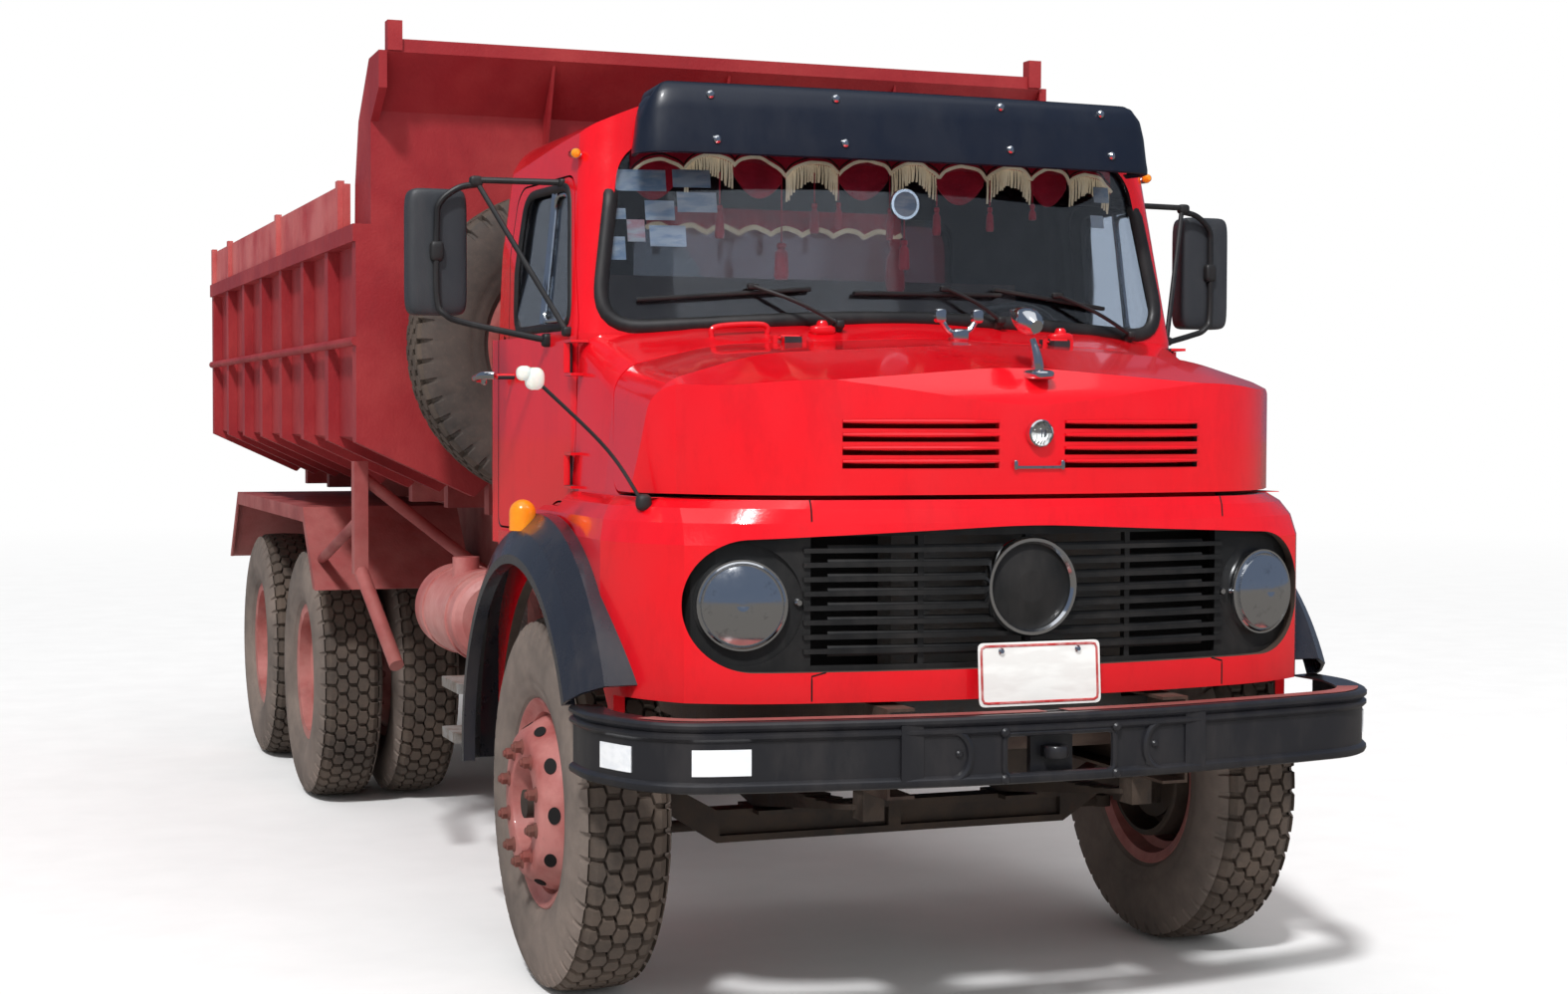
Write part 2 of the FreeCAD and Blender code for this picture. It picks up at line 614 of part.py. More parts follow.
def rear_axles():
    """Two driven axles: tube, round differential housing, spindles."""
    axles = []
    for along in REAR_AXLES:
        centre = V(0, along, s.tyre_radius)
        tube_half = s.rear_track_half - 210
        tube = Part.makeCylinder(72, 2 * tube_half, centre - X_AXIS * tube_half, X_AXIS)
        spindle_half = s.rear_track_half + s.disc_wall + 55
        spindle = Part.makeCylinder(s.spindle_radius, 2 * spindle_half, centre - X_AXIS * spindle_half, X_AXIS)
        case = Part.makeCylinder(185, 150, centre - Y_AXIS * 75, Y_AXIS)
        cover = Part.makeSphere(150, centre)
        nose = Part.makeCylinder(70, 210, centre - Y_AXIS * 210, Y_AXIS)
        axles.append(tube.multiFuse([spindle, case, cover, nose]))
    node("rear_axles", shaped("rear_axle_tubes", Part.makeCompound(axles)))


def leaf_stack(x, y, half_length, bottom, leaves, thick, width, camber):
    """Stack of leaves, each shorter than the one it lies on, the longest at the bottom."""
    solids = []
    for i in range(leaves):
        reach = half_length * (1 - 0.8 * i / leaves)
        base = bottom + i * thick
        drop = camber * (reach / half_length) ** 2
        points = [(y - reach, base + drop), (y, base), (y + reach, base + drop),
                  (y + reach, base + drop + thick), (y, base + thick), (y - reach, base + drop + thick)]
        solids.append(prism(points, "x", x - width / 2, x + width / 2))
    return solids[0].multiFuse(solids[1:]) if len(solids) > 1 else solids[0]


def leaf_springs():
    """Front springs over the axle beam and inverted bogie springs on their trunnion."""
    springs = []
    for sign in (-1, 1):
        x = sign * 395
        bottom = AXLE_BEAM_TOP
        stack = leaf_stack(x, 0, 760, bottom, 7, 13, 80, 110)
        end_z = bottom + 110 + 6
        front_hanger = block(x - 30, x + 30, -810, -740, end_z - 30, s.rail_bottom)
        rear_hanger = block(x - 30, x + 30, 740, 810, end_z - 30, s.rail_bottom)
        springs.append(stack.multiFuse([front_hanger, rear_hanger]))
    for sign in (-1, 1):
        x = sign * 540
        bottom = s.tyre_radius + 72
        half = s.bogie_spread / 2 + 60
        stack = leaf_stack(x, BOGIE_MIDDLE, half, bottom, 8, 15, 100, 0)
        saddle = block(x - 60, x + 60, BOGIE_MIDDLE - 110, BOGIE_MIDDLE + 110, bottom - 60, bottom)
        near, far = sorted((sign * s.rail_half, x))
        trunnion = block(near, far, BOGIE_MIDDLE - 90, BOGIE_MIDDLE + 90, bottom - 50, s.rail_bottom + 60)
        springs.append(stack.multiFuse([saddle, trunnion]))
    node("leaf_springs", shaped("leaf_spring_stacks", Part.makeCompound(springs)))


def driveline():
    """Engine as one block, gearbox behind it and the shafts to both rear axles."""
    engine = block(-310, 310, -560, 330, s.rail_bottom - 40, 1190)
    gearbox = block(-170, 170, 330, 860, s.rail_bottom, 1000)
    web = s.rail_half - s.rail_wall
    mounts = [block(-web, web, y, y + 80, s.rail_bottom + 40, s.rail_bottom + 90) for y in (-420, 240)]
    first = pipe([(0, 850, s.rail_bottom + 130), (0, s.wheelbase - 214.5, s.tyre_radius)], 42)
    start = s.wheelbase + 150.3
    second = Part.makeCylinder(42, REAR_AXLES[1] - 210.3 - start, V(0, start, s.tyre_radius), Y_AXIS)
    shape = Part.makeCompound([engine.multiFuse([gearbox, first] + mounts), second])
    node("driveline", shaped("engine_and_shafts", shape))


# Bumper and side gear

def bumper_band(inset):
    """Plan outline of the bumper, wrapping round both front corners."""
    half = s.bumper_half - inset
    nose = inset - s.bumper_reach
    tip = -530
    side = V(half, tip, 0)
    knee = V(half - 20, -740, 0)
    cheek = V(half - 240, -975 + inset, 0)
    turn = V(half - 88, -893 + 0.7 * inset, 0)
    edges = [Part.LineSegment(side, knee).toShape(), Part.Arc(knee, turn, cheek).toShape()]
    right = [edge.mirror(ORIGIN, X_AXIS) for edge in edges]
    middle = Part.Arc(cheek, V(0, nose, 0), V(-cheek.x, cheek.y, 0)).toShape()
    back = Part.LineSegment(V(-half, tip, 0), side).toShape()
    return Part.Face(Part.Wire(Part.__sortEdges__(edges + [middle] + right + [back])))


def tow_lug():
    """Plate behind the bumper's slot with a bored lug for a tow-bar pin."""
    front = -s.bumper_reach
    low = s.bumper_bottom
    plate = block(-60, 60, front + 58, front + 78, low, low + s.bumper_height)
    lug = block(-32, 32, front + 8, front + 60, low + 60, low + 90)
    bore = Part.makeCylinder(s.tow_bore_radius, 60, V(0, front + 34, low + 45), Z_AXIS)
    return plate.fuse(lug.cut(bore))


def bumper():
    """Pressed bumper with turned-in edges, a slot for the tow lug, a window above it and brackets."""
    low, high = s.bumper_bottom, s.bumper_bottom + s.bumper_height
    outer = bumper_band(0).extrude(Z_AXIS * s.bumper_height)
    inner = bumper_band(s.bumper_wall).extrude(Z_AXIS * (s.bumper_height - 2 * s.bumper_wall))
    throat = bumper_band(70).extrude(Z_AXIS * s.bumper_height)
    inner.translate(Z_AXIS * s.bumper_wall)
    shell = outer.cut(inner).cut(throat)
    shell.translate(Z_AXIS * low)
    half = s.bumper_slot / 2
    slot = block(-half, half, -s.bumper_reach - 20, -s.bumper_reach + 90, low + 28, low + 122)
    brackets = []
    for sign in (-1, 1):
        near, far = sorted((sign * (s.rail_half - 60), sign * s.rail_half))
        brackets.append(block(near, far, 20 - s.bumper_reach, s.rail_setback - s.bumper_reach, low + 20, high - 20))
    window = s.tow_bore_radius + 16
    face, plate = s.bumper_wall - s.bumper_reach, 58 - s.bumper_reach
    pin_way = block(-window, window, face, plate, high - s.bumper_wall, high)
    shell = shell.cut(slot).cut(pin_way).multiFuse(brackets + [tow_lug()])
    node("bumper", shaped("bumper_pressing", shell))


def fuel_tank():
    """Round tank along the right-hand rail on two brackets, with its straps."""
    tank = turned_body("tank_barrel", (
        ("0", "1"), ("0", "tank_radius - 30"), ("12", "tank_radius - 8"), ("30", "tank_radius"),
        ("tank_length - 30", "tank_radius"), ("tank_length - 12", "tank_radius - 8"),
        ("tank_length", "tank_radius - 30"), ("tank_length", "1")))
    tank.Placement.Rotation = FreeCAD.Rotation(Z_AXIS, 90)
    put(tank, "-tank_aside", "tank_front", "tank_rise")
    gear = []
    for along in (s.tank_front + 130, s.tank_front + s.tank_length - 150):
        strap = Part.makeCylinder(s.tank_radius + 6, 45, V(-s.tank_aside, along - 22, s.tank_rise), Y_AXIS)
        hollow = Part.makeCylinder(s.tank_radius - 2, 45, V(-s.tank_aside, along - 22, s.tank_rise), Y_AXIS)
        strap = strap.cut(hollow)
        arm = block(-s.tank_aside + s.tank_radius - 8, -s.rail_half, along - 22, along + 22, 770, 830)
        root = block(-s.tank_aside + s.tank_radius - 8, -s.tank_aside + s.tank_radius + 40, along - 22, along + 22,
                     770, s.tank_rise)
        gear.append(strap.multiFuse([arm, root]))
    filler = Part.makeCylinder(45, 70, V(-s.tank_aside - 40, s.tank_front + 300, s.tank_rise + s.tank_radius - 30),
                               Z_AXIS)
    gear = gear[0].multiFuse([gear[1], filler])
    node("fuel_tank", fuse("tank_with_straps", tank, shaped("tank_straps", gear)))


def battery_box():
    """Battery box on the left-hand rail behind the cab."""
    case = block(s.rail_half, s.rail_half + 420, 1050, 1500, 740, 1020)
    lid = block(s.rail_half + 4, s.rail_half + 428, 1042, 1508, 1020, 1050)
    node("battery_box", shaped("battery_case", case.fuse(lid)))


def cab_steps():
    """Two treads on a hanger behind each front wheel."""
    treads = []
    for sign in (-1, 1):
        pieces = []
        for x0, x1, y0, y1, z0 in ((-1130, -900, 790, 1030, 745), (-1140, -900, 790, 980, 590)):
            pieces.append(block(x0, x1, y0, y1, z0, z0 + 32))
        pieces.append(block(-930, -905, 800, 830, 590, 1150))
        pieces.append(block(-930, -905, 930, 960, 590, 1150))
        pieces.append(block(-930, -s.rail_half, 800, 960, 1120, 1150))
        pieces.append(block(-s.rail_half - 40, -s.rail_half, 800, 960, RAIL_TOP - 60, 1150))
        one = pieces[0].multiFuse(pieces[1:])
        treads.append(one if sign < 0 else one.mirror(ORIGIN, X_AXIS))
    node("cab_steps", shaped("step_hangers", Part.makeCompound(treads)))


# Cab

def cab_wire(inset, height):
    """Cab's plan at a height: bowed windscreen, round pillars, sides spreading to the rear."""
    rise = (height - s.cab_belt) / (s.gutter_rise - s.cab_belt)
    back = s.cab_back - 12 * rise
    rake = s.screen_rake * rise
    pillar_x = s.pillar_half - s.pillar_lean * rise - inset
    rear_x = s.cab_half - s.side_lean * rise
    centre = V(0, rake - s.screen_foot + inset, height)
    brow = V(s.pillar_half - 77 - 0.3 * inset - 70 * rise, 118 - s.screen_foot + 0.95 * inset + 0.8 * rake, height)
    bend = V(s.pillar_half - 22 - 0.7 * inset - 58 * rise, 148 - s.screen_foot + 0.7 * inset + 0.8 * rake, height)
    pillar = V(pillar_x, 200 - s.screen_foot + 0.8 * rake, height)
    corner = 80 - inset
    rear = V(rear_x - inset, back - 80, height)
    turn = V(rear_x - 80 + 0.70711 * corner, back - 80 + 0.70711 * corner, height)
    heel = V(rear_x - 80, back - inset, height)
    right = [Part.Arc(brow, bend, pillar).toShape(), Part.LineSegment(pillar, rear).toShape(),
             Part.Arc(rear, turn, heel).toShape()]
    left = [edge.mirror(ORIGIN, X_AXIS) for edge in reversed(right)]
    middle = Part.Arc(V(-brow.x, brow.y, height), centre, brow).toShape()
    tail = Part.LineSegment(heel, V(-heel.x, heel.y, height)).toShape()
    return Part.Wire(Part.__sortEdges__([middle] + right + [tail] + left))


def roof_front(inset):
    """Front profile that trims the roof: gutter, round shoulders, low crown."""
    top = s.roof_rise - inset
    half = s.cab_half - 38
    gutter = s.gutter_rise - 5
    shoulder = half - 85 - inset
    points = [(-half, 1700), (half, 1700), (half, gutter), (shoulder, top - 160), (600 - inset, top - 30), (0, top),
              (inset - 600, top - 30), (-shoulder, top - 160), (-half, gutter)]
    return rounded(points, [0, 0, 40, 160, 1300, 4500, 1300, 160, 40])


def roof_side(inset):
    """Side profile that trims the roof: rising over the windscreen, rounded down to the back."""
    top = s.roof_rise + 7 - inset
    back = s.cab_back + 20
    points = [(-300, 1700), (-300, top - 362), (170, top - 27), (450, top), (700, top - 22),
              (back - 0.5 * inset, top - 172), (back, 1700)]
    return rounded(points, [0, 0, 400, 1000, 220, 150, 0])


def body_section(inset, y, low, corner_x, corner_z, edge_z, crown, radius):
    """Cross-section shared by the hood and the cowl: leaning sides, round shoulders, crown."""
    half = s.hood_half - inset
    shoulder = corner_x - inset
    points = [(-half, low), (half, low), (shoulder, corner_z - inset), (640, edge_z - inset), (0, crown - inset),
              (-640, edge_z - inset), (-shoulder, corner_z - inset)]
    face = rounded(points, [0, 0, radius, 800, 2500, 800, radius])
    face.rotate(ORIGIN, X_AXIS, 90)
    face.translate(Y_AXIS * y)
    return face.OuterWire


def cowl(inset):
    """Body between the hood's rear seam and the windscreen, rising to the glass."""
    crown = s.hood_crown
    low = s.cab_floor + inset
    sections = [body_section(inset, -600, low, 925, crown - 142, crown - 60, crown - 27, 110),
                body_section(inset, -s.firewall_reach, low, 928, crown - 97, crown - 27, crown, 110),
                body_section(inset, 60, low, 952, crown + 20, crown + 62, crown + 138, 60)]
    form = Part.makeLoft(sections, True, True)
    gap = -inset - COWL_GAP
    below = block(-2000, 2000, -2000, -s.firewall_reach - gap, 0, s.hood_sill - 6 + inset)
    return form.cut(hood_seam(gap)).cut(below)


def cab_upper(inset):
    """Cab above the belt line: two plans lofted together, trimmed by the roof's profiles."""
    top = s.roof_rise + 60
    upper = Part.makeLoft([cab_wire(inset, s.cab_belt), cab_wire(inset, top)], True, True)
    upper = upper.common(slab(roof_front(inset), "y", -1000, 2000))
    return upper.common(slab(roof_side(inset), "x", -1500, 1500))


def cab_form(inset):
    """Cab body, drawn in by a wall's thickness for its inside."""
    upper = cab_upper(inset)
    low = s.cab_floor + inset
    lower = Part.Face(cab_wire(inset, s.cab_belt)).extrude(Z_AXIS * (low - s.cab_belt))
    return upper.multiFuse([lower, cowl(inset)]).removeSplitter()


def door_outline(inset):
    """Door seen from the side, its lower edge stepped over the wheel arch."""
    front, back = s.door_lead + inset, s.door_back - inset
    sill, step, top = s.door_sill + inset, s.door_step + inset, s.door_top - inset
    points = [(front, step), (180, step), (430, sill), (back, sill), (back - 4, s.cab_belt), (back - 40, top),
              (front + 140, top), (front, s.cab_belt + 20)]
    return rounded(points, [10, 150, 60, 30, 400, 70, 70, 200])


def window_outline(inset):
    """Opening of a door window."""
    front, back = s.door_lead + 52 + inset, s.door_back - 95 - inset
    low, high = s.cab_belt + 25 + inset, s.door_top - 36 - inset
    points = [(front, low), (back, low), (back - 30, high), (front + 124, high)]
    return rounded(points, [40, 40, 60, 60])


def screen_outline(inset):
    """Windscreen opening seen from the front, its lower edge arched over the cowl."""
    low, high = s.cab_belt + 12 + inset, s.gutter_rise + 75 - inset
    half_low, half_high = s.pillar_half - 66 - inset, s.pillar_half - 152 - inset
    points = [(-half_low, low), (0, low + 62), (half_low, low), (half_high, high), (-half_high, high)]
    return rounded(points, [90, 3000, 90, 130, 130])


def back_window_outline(inset):
    """Rear window opening seen from behind."""
    low, high = s.cab_belt + 60 + inset, s.gutter_rise - 60 - inset
    half = 560 - inset
    return rounded([(-half, low), (half, low), (half, high), (-half, high)], [70, 70, 70, 70])


def cab_shell():
    """Hollow cab with its openings, floor and engine cover."""
    wall = cab_form(0).cut(cab_form(s.cab_wall))
    door_side = slab(door_outline(0), "x", DOOR_INNER, 1300)
    wall = wall.cut(door_side).cut(door_side.mirror(ORIGIN, X_AXIS))
    wall = wall.cut(slab(screen_outline(0), "y", -600, 200))
    wall = wall.cut(slab(back_window_outline(0), "y", 600, s.cab_back + 100))
    tunnel_top = s.cab_floor + 160
    tunnel = block(-360, 360, -s.firewall_reach + 10, 340, s.cab_floor, tunnel_top)
    hollow = block(-330, 330, -s.firewall_reach - 10, 310, s.cab_floor - 10, tunnel_top - 30)
    leaves = hinge_leaves()
    leaves += [piece.mirror(ORIGIN, X_AXIS) for piece in leaves]
    for sign in (-1, 1):
        wall = wall.cut(hood_hinge(sign, 16, 384, 456))
        leaves.append(hood_hinge(sign, 4, 370, 470))
        for start in (370, 457):
            near, far = sorted((sign * start, sign * (start + 13)))
            leaves.append(block(near, far, HOOD_HINGE_Y - 4, HOOD_HINGE_Y + 20, HOOD_HINGE_Z - 26, HOOD_HINGE_Z + 7))
    wall = wall.fuse(tunnel).cut(hollow).multiFuse(leaves)
    node("cab_shell", shaped("cab_walls", wall))


def door_hinge(height, radius, length):
    """Round piece on the right-hand door's hinge line, centred at a height."""
    return Part.makeCylinder(radius, length, V(-DOOR_HINGE_X, DOOR_HINGE_Y, height - length / 2), Z_AXIS)


def hinge_leaves():
    """The cab's half of the right-hand door's hinges: two plates and a pin at each."""
    side = 30 - s.pillar_half
    ahead = s.door_lead - 45
    seam = s.door_lead - 6
    near, far = -3 - s.pillar_half, -DOOR_HINGE_X - 9
    leaf = [(side, ahead), (side, seam), (near, seam), (near, DOOR_HINGE_Y), (far, DOOR_HINGE_Y), (far, ahead)]
    pieces = []
    for height in DOOR_HINGES:
        pieces.append(door_hinge(height, 6, 100))
        for low in (height - 51, height + 43):
            pieces.append(prism(leaf, "z", low, low + 8))
            pieces.append(Part.makeCylinder(9, 8, V(-DOOR_HINGE_X, DOOR_HINGE_Y, low), Z_AXIS))
    return pieces


def doors():
    """Both doors, each the cab's own wall cut out round the door's edge."""
    wall = cab_form(0).cut(cab_form(s.cab_wall))
    outline = slab(door_outline(s.panel_gap), "x", -1300, -DOOR_INNER)
    window = slab(window_outline(0), "x", -1300, -DOOR_INNER)
    right = wall.common(outline).cut(window)
    side = 28 - s.cab_half
    handle_y = s.door_back - 60
    handle = pipe([(side, handle_y - 90, 1735), (side - 58, handle_y - 80, 1735), (side - 58, handle_y + 20, 1735)], 9)
    barrels = [door_hinge(height, 13, 84) for height in DOOR_HINGES]
    right = right.multiFuse([handle] + barrels)
    for height in DOOR_HINGES:
        right = right.cut(door_hinge(height, 6 + s.pin_fit, 110))
    node("door_right", shaped("door_r", right))
    node("door_left", shaped("door_l", right.mirror(ORIGIN, X_AXIS)))
    pane = pane_sheet().common(slab(window_outline(0), "x", -1300, -DOOR_INNER))
    node("door_glass_right", shaped("glass_r", pane))
    node("door_glass_left", shaped("glass_l", pane.mirror(ORIGIN, X_AXIS)))


def pane_sheet():
    """Thin sheet within the walls' thickness, from which every pane is cut."""
    depth = s.cab_wall * 0.4
    return cab_upper(depth).cut(cab_upper(depth + 6))


def cab_glass():
    """Windscreen and rear window, panes set in the thickness of the walls."""
    sheet = pane_sheet()
    screen = sheet.common(slab(screen_outline(0), "y", -600, 200))
    back = sheet.common(slab(back_window_outline(0), "y", 600, s.cab_back + 100))
    node("cab_glass", shaped("cab_panes", Part.makeCompound([screen, back])))


def visor():
    """Deep sun visor across the top of the windscreen, open underneath and behind."""
    low, high = 2352, 2540
    front = -s.visor_reach
    profile = [(front, low), (front + 14, high - 24), (front + 60, high), (150, high - 4), (150, high - 60),
               (60, high - 20), (front + 64, high - 10), (front + 24, high - 30), (front + 10, low)]
    sheet = prism(profile, "x", -s.visor_half, s.visor_half)
    ends = []
    for sign in (-1, 1):
        near, far = sorted((sign * s.visor_half, sign * (s.visor_half - 12)))
        end = prism([(front, low), (front + 14, high - 24), (front + 60, high), (10, high),
                     (10, high - 60), (front + 60, low)], "x", near, far)
        ends.append(end)
    shape = sheet.multiFuse(ends)
    shape = shape.cut(cab_form(0))
    node("visor", shaped("visor_sheet", shape))


def bench_seat():
    """Bench with its back rest, a soft piece in one plain solid on a base."""
    floor = s.cab_floor + s.cab_wall
    base = block(-700, 700, 380, 740, floor, floor + 190)
    squab = block(-760, 760, 300, 780, floor + 190, floor + 330)
    rest = prism([(670, floor + 330), (775, floor + 330), (788, floor + 800), (720, floor + 800)], "x", -760, 760)
    node("bench_seat", shaped("bench", base.multiFuse([squab, rest])))


def dashboard():
    """Dashboard across the firewall and the steering column."""
    low, high = 1600, 1830
    front = -s.firewall_reach + s.cab_wall
    profile = [(front, low), (front + 190, low + 30), (front + 210, high - 40), (front + 150, high), (front, high - 20)]
    board = prism(profile, "x", -850, 850)
    end = 12.3 * math.sqrt(0.5)
    column = pipe([(430, WHEEL_Y - 395, WHEEL_Z - 395), (430, WHEEL_Y - end, WHEEL_Z - end)], 24)
    hanger = block(405, 455, -60, -20, 1560, 1650)
    board = board.common(cab_form(s.cab_wall)).multiFuse([hanger, column])
    node("dashboard", shaped("dashboard_and_column", board))


def steering_wheel():
    """Three-spoked wheel on the column's top."""
    rim = Part.makeTorus(215, 14)
    boss = Part.makeCylinder(40, 40, V(0, 0, -12), Z_AXIS)
    parts = [boss]
    for i in range(3):
        angle = math.radians(90 + 120 * i)
        parts.append(Part.makeCylinder(9, 208, ORIGIN, V(math.cos(angle), math.sin(angle), 0)))
    shape = rim.multiFuse(parts)
    shape.rotate(ORIGIN, X_AXIS, -45)
    shape.translate(V(430, WHEEL_Y, WHEEL_Z))
    node("steering_wheel", shaped("steering_ring", shape))


# Hood, wings and front panel

def nose_wire(inset, back, lift=0.0, height=0.0):
    """Plan of the front panel and wings; lift 1 draws it in to the hood's lower edge."""
    half = s.panel_half + (s.hood_half - s.panel_half) * lift - inset
    nose = -s.panel_nose + (s.panel_nose - s.hood_nose) * lift + inset

    def between(panel, hood, normal):
        x = panel[0] + (hood[0] - panel[0]) * lift - normal[0] * inset
        y = panel[1] + (hood[1] - panel[1]) * lift + normal[1] * inset
        return V(x, y, height)

    cheek = between((600, -882), (520, -880), (0.17, 0.98))
    jaw = between((768, -838), (735, -798), (0.4, 0.92))
    shoulder = between((900, -770), (880, -640), (0.75, 0.66))
    bend = between((978, -645), (948, -530), (0.9, 0.43))
    hip = V(half, -470 + 70 * lift, height)
    tail = V(half, back, height)
    right = [Part.Arc(cheek, jaw, shoulder).toShape(), Part.Arc(shoulder, bend, hip).toShape(),
             Part.LineSegment(hip, tail).toShape()]
    left = [edge.mirror(ORIGIN, X_AXIS) for edge in reversed(right)]
    middle = Part.Arc(V(-cheek.x, cheek.y, height), V(0, nose, height), cheek).toShape()
    end = Part.LineSegment(tail, V(-half, back, height)).toShape()
    return Part.Wire(Part.__sortEdges__([middle] + right + [end] + left))


def nose_plan(inset, back):
    """Plan of the front panel and wings as a face."""
    return Part.Face(nose_wire(inset, back))


def nose_form(inset, back, low, high):
    """Front panel and wings, upright below, rounded in to the hood's edge above."""
    brow = ((0, 1290), (0.2, 1345), (0.55, 1382), (1, high))
    wires = [nose_wire(inset, back, 0, low)]
    wires += [nose_wire(inset, back, lift, height) for lift, height in brow]
    return Part.makeLoft(wires, True, True)


def hood_form(inset, back):
    """Hood: cross-sections lofted along the truck, trimmed by its plan and its rounded nose."""
    crown = s.hood_crown
    low = s.hood_sill - 100
    sections = [body_section(inset, -s.hood_nose - 60, low, 918, crown - 250, crown - 168, crown - 135, 110),
                body_section(inset, -600, low, 925, crown - 142, crown - 60, crown - 27, 110),
                body_section(inset, -s.firewall_reach, low, 928, crown - 97, crown - 27, crown, 110),
                body_section(inset, back, low, 928, crown - 97, crown - 27, crown, 110)]
    form = Part.makeLoft(sections, True, True)
    plan = Part.Face(nose_wire(inset, 400, 1.0)).extrude(Z_AXIS * 3000)
    nose = inset - s.hood_nose - 2
    side = rounded([(nose, low - 10), (nose, crown - 172 - inset), (nose + 100, crown - 88 - inset), (-300, crown + 150),
                    (300, crown + 150), (300, low - 10)], [0, 90, 160, 0, 0, 0])
    return form.common(plan).common(slab(side, "x", -1500, 1500))


def hood_hinge(sign, radius, start, end):
    """Round piece on the hood's hinge line, between two distances from the middle."""
    near, far = sorted((sign * start, sign * end))
    return Part.makeCylinder(radius, far - near, V(near, HOOD_HINGE_Y, HOOD_HINGE_Z), X_AXIS)


def hood_seam(gap):
    """Side view of what the hood keeps: everything ahead of its curved rear seam."""
    top = s.hood_crown + 200
    rear = -s.firewall_reach - gap
    points = [(-1400, s.hood_sill + gap), (rear - 80, s.hood_sill + gap), (rear, 1700), (rear, top), (-1400, top)]
    return slab(rounded(points, [0, 90, 300, 0, 0]), "x", -2000, 2000)


def hood():
    """Hood shell, hinged at its rear edge, with its rows of louvres cut in the nose."""
    back = 20 - s.firewall_reach
    shell = hood_form(0, back).cut(hood_form(s.hood_wall, back + 10))
    shell = shell.common(hood_seam(s.panel_gap))
    for sign in (-1, 1):
        for row in range(4):
            level = 1484 + 34 * row
            near, far = sorted((sign * 95, sign * 515))
            shell = shell.cut(block(near, far, -s.hood_nose - 60, -s.hood_nose + 160, level, level + 14))
    for sign in (-1, 1):
        near, far = sorted((sign * 394, sign * 446))
        lug = block(near, far, HOOD_HINGE_Y - 30, HOOD_HINGE_Y - 5, HOOD_HINGE_Z - 18, HOOD_HINGE_Z + 3)
        shell = shell.multiFuse([lug, hood_hinge(sign, 10, 392, 448)]).cut(hood_hinge(sign, 4 + s.pin_fit, 380, 460))
    node("hood", shaped("hood_shell", shell))


def arch_cut(grow):
    """Cylinder through both wings that opens the wheel arches."""
    radius = s.arch_radius + grow
    wheel = Part.makeCylinder(radius, 4000, V(-2000, s.arch_back, s.arch_rise), X_AXIS)
    below = block(-2000, 2000, s.arch_back - radius, s.arch_back + radius, 0, s.arch_rise)
    return wheel.fuse(below)


def front_panel():
    """Front panel and wings in one: the nose plan upright, open over the wheels."""
    back = 655
    low, high = 600, s.hood_sill - 6
    wall = nose_form(0, back, low, high).cut(nose_form(s.nose_wall, back + 100, low - 10, high + 10))
    wall = wall.cut(arch_cut(0))
    wall = wall.cut(block(-2000, 2000, -2000, -540, 0, s.panel_bottom))
    wall = wall.cut(slab(door_outline(-s.panel_gap), "x", -2000, 2000))
    wall = wall.cut(block(-2000, 2000, s.door_lead - s.panel_gap, 2000, s.door_step - s.panel_gap, 3000))
    wall = wall.cut(cab_form(0))
    mouth_half, mouth_low, mouth_high = 905, 968, 1318
    mouth = rounded([(-mouth_half, mouth_low), (mouth_half, mouth_low), (mouth_half, mouth_high - 20),
                     (0, mouth_high + 20), (-mouth_half, mouth_high - 20)], [165, 165, 160, 2500, 160])
    wall = wall.cut(slab(mouth, "y", -1400, -500))
    node("front_panel", shaped("front_panel_and_wings", wall))


def flare_ring():
    """Flare of the left arch: its section turned round the arch's centre."""
    body = s.panel_half - 64
    lip = s.flare_half
    ring = s.arch_radius
    wall = s.flare_wall
    section = [(body, ring + 142), (lip - 80, ring + 140), (lip - 28, ring + 92), (lip, ring + 26), (lip, ring),
               (lip - 36, ring), (lip - 36, ring + wall), (lip - wall, ring + wall), (lip - wall, ring + 26),
               (lip - 34, ring + 90 - wall), (lip - 84, ring + 140 - wall), (body, ring + 142 - wall)]
    face = polygon([(x, radius, 0) for x, radius in section])
    face.rotate(ORIGIN, X_AXIS, -FLARE_START)
    flare = face.revolve(ORIGIN, X_AXIS, FLARE_START + FLARE_END)
    flare.translate(V(0, s.arch_back, s.arch_rise))
    return flare


def arch_flares():
    """Broad flare round each front arch, rolled in at its lip, ending over the bumper."""
    body_side = nose_plan(0, 655).extrude(Z_AXIS * 4000)
    flare = flare_ring().cut(body_side).cut(cab_form(0))
    node("arch_flares", shaped("arch_flare_pair", both_sides(flare)))


